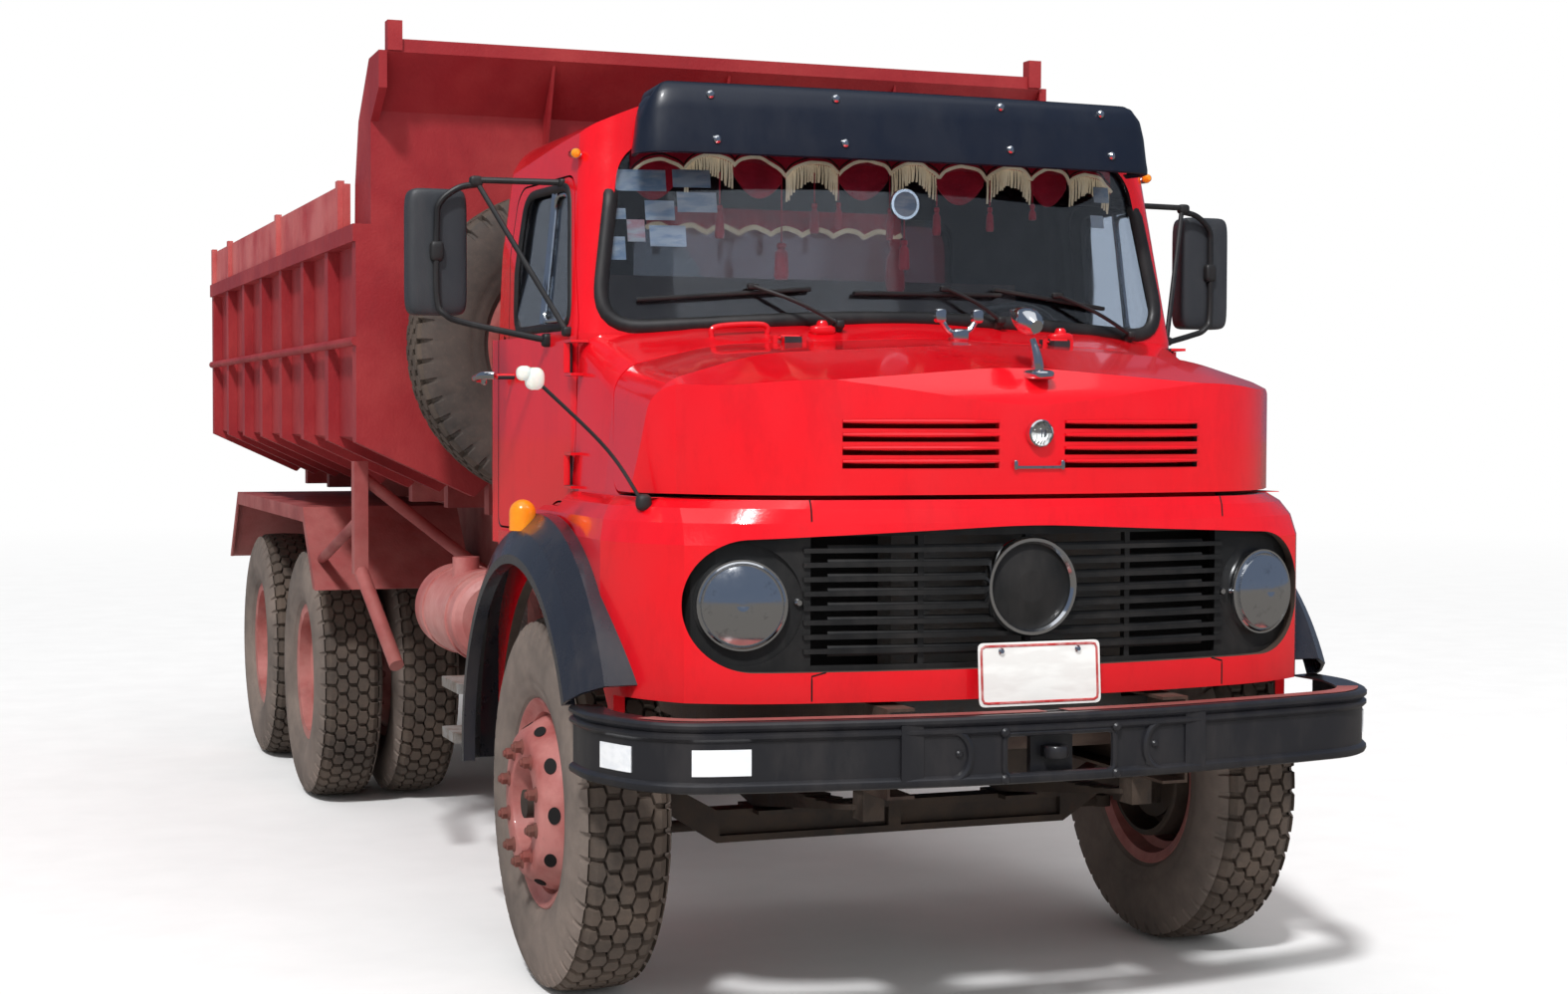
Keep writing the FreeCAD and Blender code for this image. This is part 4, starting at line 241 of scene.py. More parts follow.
def plate(outline, thickness, normal):
    """Plate: an outline of points, and the same outline a thickness along a normal."""
    first = np.asarray(outline, float)
    step = np.asarray(normal, float) * thickness
    count = len(first)
    points = np.vstack([first, first + step])
    i = np.arange(count)
    j = (i + 1) % count
    faces = np.stack([i, j, j + count, i + count], -1).tolist()
    faces.append(list(range(count))[::-1])
    faces.append(list(range(count, 2 * count)))
    return outward(points, faces)


def brick(x0, x1, y0, y1, z0, z1):
    """Block between six planes, given about the front axle."""
    return plate(here([(x0, y0, z0), (x1, y0, z0), (x1, y1, z0), (x0, y1, z0)]), z1 - z0, UP)


def lined(rows):
    """Cloth with a back: rows of points and the same rows a cloth's thickness behind, as one closed skin."""
    back = rows[:, ::-1] + np.array([0, CLOTH_THICKNESS, 0])
    return skin(np.concatenate([rows, back], axis=1))


def mirrored(form):
    """A form on the other side of the truck, its faces wound to match."""
    points, faces = form
    return points * np.array([-1.0, 1.0, 1.0]), [f[::-1] for f in faces]


def both(forms):
    """Forms and their mirror images."""
    return list(forms) + [mirrored(form) for form in forms]


def piece(name, forms, material, body="root", replaces=(), sharp=35.0):
    """One object from one or more forms, riding on a body."""
    forms = [forms] if isinstance(forms, tuple) else list(forms)
    points, faces, start = [], [], 0
    for form_points, form_faces in forms:
        points.append(form_points)
        faces.extend([[i + start for i in f] for f in form_faces])
        start += len(form_points)
    mesh = bpy.data.meshes.new(name)
    mesh.from_pydata(np.vstack(points).tolist(), [], faces)
    mesh.update()
    mesh.shade_smooth()
    mesh.set_sharp_from_angle(angle=math.radians(sharp))
    mesh.materials.append(finish(material))
    item = bpy.data.objects.new(name, mesh)
    bpy.context.scene.collection.objects.link(item)
    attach(item, body)
    if replaces:
        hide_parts(*replaces)
    return item


# Finishes


class Tree:
    """A material's nodes, added and joined in few words."""

    def __init__(self, name):
        self.material = bpy.data.materials.new(name)
        self.material.use_nodes = True
        self.nodes = self.material.node_tree.nodes
        self.links = self.material.node_tree.links
        self.shader = self.nodes["Principled BSDF"]
        source = self.add("ShaderNodeTexCoord")
        self.place, self.facing = source.outputs["Object"], source.outputs["Normal"]

    def add(self, kind, inputs=None, **settings):
        """New node with some settings and inputs: a socket is joined, anything else is set."""
        made = self.nodes.new(kind)
        for key, value in settings.items():
            setattr(made, key, value)
        for key, value in (inputs or {}).items():
            if isinstance(value, bpy.types.NodeSocket):
                self.links.new(value, made.inputs[key])
            else:
                made.inputs[key].default_value = value
        return made

    def noise(self, scale, detail=5.0, rough=0.6, squeeze=(1.0, 1.0, 1.0)):
        """Noise over the object's own coordinates, squeezed along an axis where needed."""
        place = self.place
        if squeeze != (1.0, 1.0, 1.0):
            place = self.add("ShaderNodeMapping", {"Vector": place, "Scale": squeeze}).outputs[0]
        settings = {"Vector": place, "Scale": scale, "Detail": detail, "Roughness": rough}
        return self.add("ShaderNodeTexNoise", settings).outputs[0]

    def fit(self, value, low, high, to_low=0.0, to_high=1.0):
        """Value from low to high carried to another range, held at its ends."""
        made = self.add("ShaderNodeMapRange", {0: value, 1: low, 2: high, 3: to_low, 4: to_high})
        return made.outputs[0]

    def math(self, kind, a, b=0.0):
        """One sum of two values."""
        return self.add("ShaderNodeMath", {0: a, 1: b}, operation=kind).outputs[0]

    def mix(self, share, a, b):
        """Colour between a and b."""
        made = self.add("ShaderNodeMix", {0: share}, data_type="RGBA")
        for socket, value in ((made.inputs[6], a), (made.inputs[7], b)):
            if isinstance(value, bpy.types.NodeSocket):
                self.links.new(value, socket)
            else:
                socket.default_value = (*value, 1.0)
        return made.outputs[2]

    def axis(self, index):
        """One of the object's coordinates."""
        return self.add("ShaderNodeSeparateXYZ", {0: self.place}).outputs[index]

    def bump(self, height, strength, distance):
        """Bump from a height value."""
        made = self.add("ShaderNodeBump", {"Height": height, "Strength": strength, "Distance": distance})
        return made.outputs[0]

    def shade(self, **inputs):
        """Join or set the shader's own sockets, named with underscores for spaces."""
        for key, value in inputs.items():
            socket = self.shader.inputs[key.replace("_", " ")]
            if isinstance(value, bpy.types.NodeSocket):
                self.links.new(value, socket)
            elif isinstance(value, tuple) and len(value) == 3:
                socket.default_value = (*value, 1.0)
            else:
                socket.default_value = value
        return self.material


ROAD_DUST = (0.23, 0.175, 0.14)
DRY_MUD = (0.16, 0.115, 0.085)
PRIMER = (0.11, 0.05, 0.035)
RUST = (0.14, 0.05, 0.025)
FADED_PRINT = (0.75, 0.76, 0.74)


# The near-black default lining is painted shade on the backs of the cab's and hood's sheets
def enamel(name, colour, faded, fade=(0.45, 0.75), patch=1.4, rough=(0.2, 0.32), coat=0.6, dust=0.25,
           dust_top=1.3, orange_peel=0.04, chips=0.0, inside=None, lining=(0.022, 0.022, 0.026)):
    """Painted steel: two tones in soft patches, fine grime, dust that thickens towards the road, chips to primer.

    Faces that look towards the place named inside are the back of the sheet, and take the lining's colour:
    the dark default lining is painted shade inside the cab and under the hood, the wings' brown lining is road dust.
    """
    t = Tree(name)
    tone = t.mix(t.fit(t.noise(patch, 6), *fade), colour, faded)
    grime = t.fit(t.noise(9, 8, 0.75, (1.0, 1.0, 0.35)), 0.5, 0.78, 0.0, 0.3)
    tone = t.mix(grime, tone, tuple(0.45 * c for c in colour))
    low = t.fit(t.axis(2), dust_top, 0.25, 0.0, dust)
    cover = t.math("MULTIPLY", low, t.fit(t.noise(5, 8, 0.7), 0.3, 0.62, 0.25, 1.0))
    if chips:
        worn = t.fit(t.noise(30, 8, 0.75), 0.68, 0.72, 0.0, chips)
        tone = t.mix(worn, tone, PRIMER)
    tone = t.mix(cover, tone, ROAD_DUST)
    gloss = t.math("ADD", t.fit(t.noise(7, 6), 0.3, 0.7, *rough), t.math("MULTIPLY", cover, 0.5))
    peel = t.math("ADD", t.noise(90, 2), t.math("MULTIPLY", t.noise(6, 3), 1.5))
    coating = coat
    if inside is not None:
        # Backs of the sheets: painted shade inside the cab and under the hood, road dust inside the wings
        away = t.add("ShaderNodeVectorMath", {0: t.place, 1: tuple(here(inside))}, operation="SUBTRACT").outputs[0]
        facing = t.add("ShaderNodeVectorMath", {0: away, 1: t.facing}, operation="DOT_PRODUCT").outputs["Value"]
        outer = t.fit(facing, -0.03, -0.01)
        inner_shade_and_dust = t.mix(t.fit(t.noise(8, 6), 0.4, 0.7), lining, tuple(1.6 * c for c in lining))
        tone = t.mix(outer, inner_shade_and_dust, tone)
        gloss = t.math("MAXIMUM", gloss, t.fit(outer, 0.0, 1.0, 0.8, 0.0))
        coating = t.math("MULTIPLY", outer, coat)
    return t.shade(Base_Color=tone, Roughness=gloss, Coat_Weight=coating, Coat_Roughness=0.05,
                   Normal=t.bump(peel, orange_peel, 0.01))


def moulded(name, colour, dusty, rough=(0.35, 0.5), grain=0.15, grain_scale=260.0, dust=0.3, coat=0.0):
    """Black moulding or satin paint with fine grain, streaks of dust and finger-worn gloss."""
    t = Tree(name)
    streak = t.fit(t.noise(6, 8, 0.7, (1.0, 1.0, 0.3)), 0.45, 0.75, 0.0, dust)
    tone = t.mix(streak, colour, dusty)
    gloss = t.math("ADD", t.fit(t.noise(11, 6), 0.3, 0.7, *rough), t.math("MULTIPLY", streak, 0.4))
    return t.shade(Base_Color=tone, Roughness=gloss, Coat_Weight=coat, Coat_Roughness=0.12,
                   Normal=t.bump(t.noise(grain_scale, 3), grain, 0.002))


def dusty_rubber(name, colour, dust, share, grain=0.3):
    """Rubber with road dust in soft bands and patches, darker where it is scrubbed."""
    t = Tree(name)
    band = t.fit(t.noise(3.2, 8, 0.7), 0.32, 0.62, share[0], share[1])
    speck = t.fit(t.noise(55, 6, 0.8), 0.5, 0.8, 0.0, 0.35)
    tone = t.mix(speck, t.mix(band, colour, dust), DRY_MUD)
    return t.shade(Base_Color=tone, Roughness=t.fit(band, 0.0, 1.0, 0.62, 0.92), Specular_IOR_Level=0.3,
                   Normal=t.bump(t.noise(180, 5), grain, 0.003))


def iron(name, colour, dirt, share=(0.3, 0.65)):
    """Chassis iron under grease and road dirt."""
    t = Tree(name)
    caked = t.fit(t.noise(7, 9, 0.75), share[0], share[1])
    rust = t.fit(t.noise(26, 7, 0.7), 0.55, 0.75, 0.0, 0.5)
    tone = t.mix(caked, t.mix(rust, colour, RUST), dirt)
    return t.shade(Base_Color=tone, Roughness=t.fit(caked, 0.0, 1.0, 0.5, 0.92), Metallic=0.15,
                   Normal=t.bump(t.noise(70, 6), 0.35, 0.004))


def bright(name, colour, rough=(0.06, 0.2)):
    """Chromed or polished metal with pits and a little haze."""
    t = Tree(name)
    haze = t.noise(24, 7, 0.7)
    tone = t.mix(t.fit(haze, 0.58, 0.75), colour, tuple(0.55 * c for c in colour))
    return t.shade(Base_Color=tone, Metallic=1.0, Roughness=t.fit(haze, 0.35, 0.75, *rough),
                   Normal=t.bump(t.noise(160, 3), 0.03, 0.001))


def clear(name, colour, rough=0.02, smear=0.12, ribs=0.0, shaded=None):
    """Glass: clear, with smears in its gloss, moulded ribs where it is a lens, darker at the cab's back as painted
    shade.
    """
    t = Tree(name)
    # Glass behind y = -1.60, the rear window, takes the darker colour: painted shade behind the cab
    if shaded:
        colour = t.mix(t.fit(t.axis(1), -1.64, -1.60), colour, shaded)
    smudge = t.fit(t.noise(5, 7, 0.7), 0.45, 0.8, rough, rough + smear)
    inputs = {"Base_Color": colour, "Roughness": smudge, "Transmission_Weight": 1.0, "IOR": 1.46}
    if ribs:
        wave = t.add("ShaderNodeTexWave", {"Vector": t.place, "Scale": ribs, "Distortion": 0.0},
                     bands_direction="X")
        inputs["Normal"] = t.bump(wave.outputs[0], 0.35, 0.004)
    else:
        inputs["Normal"] = t.bump(t.noise(2.5, 2), 0.02, 0.01)
    return t.shade(**inputs)


def cloth(name, colour, deep, scale=220.0, sheen=0.5, rough=0.85, glow=0.0):
    """Velvet or yarn: two tones in a fine weave, with sheen and a painted glow that stands in for sunlight on it."""
    t = Tree(name)
    fold = t.fit(t.noise(9, 5), 0.35, 0.65)
    fine = t.fit(t.noise(scale, 3), 0.4, 0.6, 0.0, 0.4)
    tone = t.mix(fine, t.mix(fold, colour, deep), tuple(1.3 * c for c in colour))
    # The emission is a painted glow for sunlight falling on the cloth
    return t.shade(Base_Color=tone, Roughness=rough, Sheen_Weight=sheen, Sheen_Roughness=0.4,
                   Emission_Color=tone, Emission_Strength=glow, Normal=t.bump(t.noise(scale, 4), 0.4, 0.001))


def vinyl(name, colour, worn):
    """Seat vinyl with a pebbled grain and polished patches."""
    t = Tree(name)
    cell = t.add("ShaderNodeTexVoronoi", {"Vector": t.place, "Scale": 240.0}).outputs[0]
    rub = t.fit(t.noise(6, 5), 0.45, 0.7)
    return t.shade(Base_Color=t.mix(rub, colour, worn), Roughness=t.fit(rub, 0, 1, 0.6, 0.4),
                   Normal=t.bump(cell, 0.3, 0.001))


def signal(name, colour, glow=0.0):
    """Coloured lamp plastic, lit through a little."""
    t = Tree(name)
    tone = t.mix(t.fit(t.noise(30, 5), 0.4, 0.7, 0, 0.35), colour, tuple(0.6 * c for c in colour))
    gloss = t.fit(t.noise(12, 4), 0.3, 0.7, 0.12, 0.28)
    inputs = {"Base_Color": tone, "Roughness": gloss, "Coat_Weight": 0.7, "Subsurface_Weight": 0.25}
    if glow:
        inputs["Emission_Color"] = colour
        inputs["Emission_Strength"] = glow
    return t.shade(**inputs)


def card(name, tones, scale):
    """Weathered printed paper or foil: soft bands of two tones, and nothing to read on it."""
    t = Tree(name)
    wash = t.fit(t.noise(scale, 3, 0.5, (0.4, 1.0, 1.6)), 0.42, 0.58)
    fade = t.fit(t.noise(40, 5), 0.4, 0.7, 0.0, 0.3)
    return t.shade(Base_Color=t.mix(fade, t.mix(wash, *tones), FADED_PRINT),
                   Roughness=t.fit(fade, 0, 1, 0.35, 0.6))


def chequer(name, colour, dust):
    """Tread plate: raised crossed lozenges on light metal, dusty in between."""
    t = Tree(name)
    wave = t.add("ShaderNodeTexWave", {"Vector": t.place, "Scale": 34.0}, bands_direction="DIAGONAL")
    raised = t.fit(wave.outputs[0], 0.55, 0.8)
    tone = t.mix(t.fit(t.noise(18, 7), 0.35, 0.65), colour, dust)
    return t.shade(Base_Color=tone, Metallic=0.4, Roughness=t.fit(t.noise(30, 5), 0.3, 0.7, 0.4, 0.7),
                   Normal=t.bump(raised, 0.6, 0.003))


CAB_COAT = dict(fade=(0.5, 0.8), patch=1.1, rough=(0.16, 0.26), coat=0.7, dust=0.3, dust_top=0.95)
DULL = dict(fade=(0.42, 0.68), patch=2.4, rough=(0.5, 0.68), coat=0.05, dust=0.3, dust_top=1.6,
            orange_peel=0.12, chips=0.7)
ENAMELS = {
    # The cab and hood keep the dark default lining, painted shade on the backs of their sheets; the wings' brown
    # lining is road dust
    "cab_enamel": ("cab", dict(CAB_COAT, inside=(0.0, 0.30, 1.55))),
    "hood_enamel": ("cab", dict(CAB_COAT, inside=(0.0, -0.45, 1.45))),
    "wing_enamel": ("cab", dict(CAB_COAT, inside=(0.0, -0.30, 1.15), lining=(0.060, 0.040, 0.030))),
    "plain_enamel": ("cab", CAB_COAT),
    "bed_enamel": ("bed", DULL),
    # The boards' faded tone is partly faded paint and partly a painted highlight of sun glare on their tops
    "board_enamel": ("board", dict(DULL, fade=(0.3, 0.6), patch=3.0, rough=(0.45, 0.6), dust=0.2, dust_top=1.2)),
    "guard_enamel": ("guard", dict(DULL, fade=(0.35, 0.62), patch=3.2, dust=0.6, dust_top=1.5, chips=0.8)),
    "wheel_enamel": ("wheel", dict(DULL, fade=(0.35, 0.62), patch=7.0, rough=(0.4, 0.55), coat=0.15, dust=0.35,
                                   dust_top=1.1, orange_peel=0.1, chips=0.6)),
    "tank_enamel": ("tank", dict(DULL, fade=(0.35, 0.6), patch=4.0, rough=(0.4, 0.55), coat=0.15, dust=0.5,
                                 dust_top=1.2, chips=0.5)),
}

PLAIN_FINISHES = {
    "tyre_tread": (dusty_rubber, ((0.030, 0.026, 0.024), (0.115, 0.085, 0.066), (0.25, 0.9))),
    "tyre_wall": (dusty_rubber, ((0.050, 0.044, 0.040), (0.205, 0.162, 0.138), (0.35, 1.0), 0.2)),
    "spare_wall": (dusty_rubber, ((0.032, 0.030, 0.029), (0.11, 0.085, 0.072), (0.1, 0.8), 0.2)),
    "black_rubber": (moulded, ((0.012, 0.012, 0.013), (0.07, 0.06, 0.055), (0.4, 0.55), 0.1, 200.0, 0.35)),
    "bumper_paint": (moulded, ((0.014, 0.014, 0.017), (0.085, 0.07, 0.062), (0.3, 0.42), 0.05, 120.0, 0.25, 0.35)),
    "flare_moulding": (moulded, ((0.016, 0.018, 0.026), (0.085, 0.07, 0.062), (0.2, 0.34), 0.05, 120.0, 0.28, 0.6)),
    "visor_moulding": (moulded, ((0.005, 0.009, 0.021), (0.016, 0.021, 0.034), (0.34, 0.46), 0.04, 90.0, 0.3, 0.12)),
    "grille_moulding": (moulded, ((0.008, 0.008, 0.008), (0.06, 0.05, 0.045), (0.4, 0.6), 0.1, 200.0, 0.3)),
    "mirror_moulding": (moulded, ((0.028, 0.031, 0.037), (0.09, 0.09, 0.09), (0.38, 0.5), 0.3, 420.0, 0.25)),
    "dash_moulding": (moulded, ((0.018, 0.017, 0.017), (0.08, 0.07, 0.06), (0.5, 0.65), 0.3, 300.0, 0.3)),
    "chassis_iron": (iron, ((0.050, 0.026, 0.020), (0.11, 0.075, 0.055))),
    "axle_iron": (iron, ((0.030, 0.022, 0.018), (0.075, 0.052, 0.038))),
    "radiator_metal": (iron, ((0.09, 0.09, 0.09), (0.11, 0.085, 0.07), (0.4, 0.7))),
    "chrome": (bright, ((0.78, 0.79, 0.80),)),
    "ground_steel": (bright, ((0.52, 0.52, 0.52), (0.18, 0.34))),
    "mirror_glass": (bright, ((0.86, 0.88, 0.90), (0.01, 0.03))),
    # The window glass's last colour darkens the rear window: painted shade behind the cab
    "window_glass": (clear, ((0.60, 0.66, 0.74), 0.02, 0.08, 0.0, (0.14, 0.16, 0.22))),
    "lens_glass": (clear, ((0.93, 0.95, 0.94), 0.03, 0.08, 38.0)),
    "amber_lens": (signal, ((0.95, 0.27, 0.008), 0.12)),
    "white_knob": (signal, ((0.82, 0.80, 0.74),)),
    "lamp_bowl": (card, (((0.66, 0.65, 0.65), (0.46, 0.46, 0.48)), 9.0)),
    "reflective_white": (card, (((0.80, 0.81, 0.83), (0.72, 0.74, 0.77)), 30.0)),
    "plate_white": (card, (((0.80, 0.80, 0.78), (0.72, 0.71, 0.69)), 20.0)),
    "plate_red": (card, (((0.50, 0.02, 0.02), (0.42, 0.03, 0.03)), 20.0)),
    "sticker_paper": (card, (((0.62, 0.66, 0.70), (0.30, 0.42, 0.55)), 26.0)),
    "sticker_pink": (card, (((0.66, 0.30, 0.30), (0.62, 0.60, 0.58)), 26.0)),
    # The last number of the velvet and the yarn is a painted glow standing in for sunlight on the pelmet
    "red_velvet": (cloth, ((0.34, 0.010, 0.024), (0.16, 0.004, 0.012), 220.0, 0.3, 0.85, 0.22)),
    "cream_yarn": (cloth, ((0.86, 0.72, 0.50), (0.62, 0.48, 0.30), 300.0, 0.3, 0.85, 0.30)),
    "dark_braid": (cloth, ((0.05, 0.03, 0.03), (0.02, 0.012, 0.012), 300.0, 0.2)),
    # Near black: dark joints in the panel seams, and painted shade in the wheels' hand holes and behind the grille
    "cavity_black": (moulded, ((0.006, 0.005, 0.005), (0.015, 0.012, 0.01), (0.8, 0.9), 0.1, 120.0, 0.2)),
    "nut_enamel": (iron, ((0.26, 0.055, 0.045), (0.13, 0.060, 0.045))),
    "seat_vinyl": (vinyl, ((0.060, 0.030, 0.026), (0.10, 0.055, 0.045))),
    "step_plate": (chequer, ((0.36, 0.35, 0.34), (0.20, 0.16, 0.13))),
}

_made = {}


def finish(name):
    """A finish by name, made once."""
    if name not in _made:
        if name in ENAMELS:
            paint, settings = ENAMELS[name]
            tones = bpy.context.scene.truck_colours
            fresh, faded = (tuple(getattr(tones, key)) for key in (paint, paint + "_faded"))
            _made[name] = enamel(name, fresh, faded, **settings)
        else:
            maker, settings = PLAIN_FINISHES[name]
            _made[name] = maker(name, *settings)
    return _made[name]


# Each finish and the frame's nodes that take it; the other rims and tyres are named by their kind
FINISH_NODES = {
    "chassis_iron": ("frame_rail_right", "frame_rail_left", "cross_members", "hoist_barrel"),
    "axle_iron": ("front_axle", "tie_rod", "rear_axles", "leaf_springs", "driveline", "knuckle_right",
                  "knuckle_left"),
    "guard_enamel": ("subframe", "battery_box", "bed_sills", "mudguards", "side_guards", "spare_carrier"),
    "bed_enamel": ("bed_shell", "bed_ribs", "bed_canopy", "tailgate", "gate_hinges"),
    "board_enamel": ("side_boards",),
    "tank_enamel": ("fuel_tank",),
    "wheel_enamel": ("spare_rim", "rim_front_right", "rim_front_left"),
    "cab_enamel": ("cab_shell", "door_right", "door_left"),
    "hood_enamel": ("hood",),
    "wing_enamel": ("front_panel",),
    "window_glass": ("cab_glass", "door_glass_right", "door_glass_left"),
    "radiator_metal": ("radiator",),
    "bumper_paint": ("bumper",),
    "step_plate": ("cab_steps",),
    "visor_moulding": ("visor",),
    "dash_moulding": ("dashboard", "steering_wheel"),
    "flare_moulding": ("arch_flares",),
    "grille_moulding": ("grille",),
    "mirror_moulding": ("mirror_right", "mirror_left"),
    "chrome": ("headlamps",),
    "amber_lens": ("marker_lamps",),
    "ground_steel": ("hoist_rod",),
    "seat_vinyl": ("bench_seat",),
}
NODE_FINISH = {node: name for name, nodes in FINISH_NODES.items() for node in nodes}


# Settings a user would change


class TruckSizes(bpy.types.PropertyGroup):
    """Sizes of the trim."""

    tread_depth: bpy.props.FloatProperty(name="Tread depth", description="Depth of the tyre grooves", default=0.017,
                                         min=0.004, max=0.03, unit="LENGTH")
    tread_pitches: bpy.props.IntProperty(name="Tread pitches", description="Blocks round each tyre", default=48,
                                         min=24, max=90)
    gasket_radius: bpy.props.FloatProperty(name="Gasket radius", description="Half width of the window rubbers",
                                           default=0.020, min=0.005, max=0.03, unit="LENGTH")
    fringe_drop: bpy.props.FloatProperty(name="Fringe drop", description="Length of the pelmet's fringes",
                                         default=0.075, min=0.02, max=0.2, unit="LENGTH")
    wiper_radius: bpy.props.FloatProperty(name="Wiper arm radius", description="Thickness of a wiper's arm",
                                          default=0.006, min=0.003, max=0.012, unit="LENGTH")


def colour_property(label, default):
    """Colour setting with a label."""
    return bpy.props.FloatVectorProperty(name=label, description=label + " of the paint", default=default,
                                         subtype="COLOR", size=3, min=0.0, max=1.0)


class TruckColours(bpy.types.PropertyGroup):
    """Paint colours, fresh and faded."""

    cab: colour_property("Cab red", (0.74, 0.003, 0.010))
    cab_faded: colour_property("Cab red, faded", (0.62, 0.005, 0.012))
    bed: colour_property("Bed red", (0.30, 0.008, 0.014))
    bed_faded: colour_property("Bed red, faded", (0.38, 0.028, 0.030))
    board: colour_property("Board red", (0.42, 0.022, 0.026))
    # The faded board tone is partly faded paint and partly a painted highlight of sun glare on the boards' tops
    board_faded: colour_property("Board red, faded", (0.56, 0.13, 0.12))
    guard: colour_property("Guard red", (0.26, 0.022, 0.024))
    guard_faded: colour_property("Guard red, faded", (0.40, 0.095, 0.090))
    wheel: colour_property("Wheel red", (0.34, 0.060, 0.055))
    wheel_faded: colour_property("Wheel red, faded", (0.50, 0.17, 0.155))
    tank: colour_property("Tank red", (0.42, 0.10, 0.095))
    tank_faded: colour_property("Tank red, faded", (0.55, 0.24, 0.22))


# Stage

BACKDROP = (1.0, 1.0, 1.0, 1.0)
SOFT_SKY = (0.46, 0.46, 0.46, 1.0)
MIRRORED_SKY = (0.11, 0.14, 0.20, 1.0)
MIRRORED_FLOOR = (0.16, 0.15, 0.14, 1.0)
FLOOR_RADII = (0.5, 4.0, 12.0, 40.0, 160.0)
FLOOR_SIDES = 64
FLOOR_FADE = (7.0, 26.0)
LIGHTS = (
    ("KeyLight", "SUN", (-4.5, -7.5, 10.5), 2.5, {"angle": math.radians(6)}),
    ("SkyPanel", "AREA", (-1.0, -4.0, 10.0), 260.0, {"size": 11.0}),
    ("FrontPanel", "AREA", (2.0, -15.0, 5.5), 260.0, {"size": 7.0}),
)
UNMIRRORED_LIGHT = "FrontPanel"
LIGHTS_AIM = (0.0, -1.0, 1.2)
CAMERA_PLACE = (-2.721, -6.303, 1.613)
CAMERA_YAW, CAMERA_PITCH, CAMERA_ROLL = 20.69, -1.97, 0.17
SENSOR_WIDTH = 36.0
LENS_LENGTH = 52.99


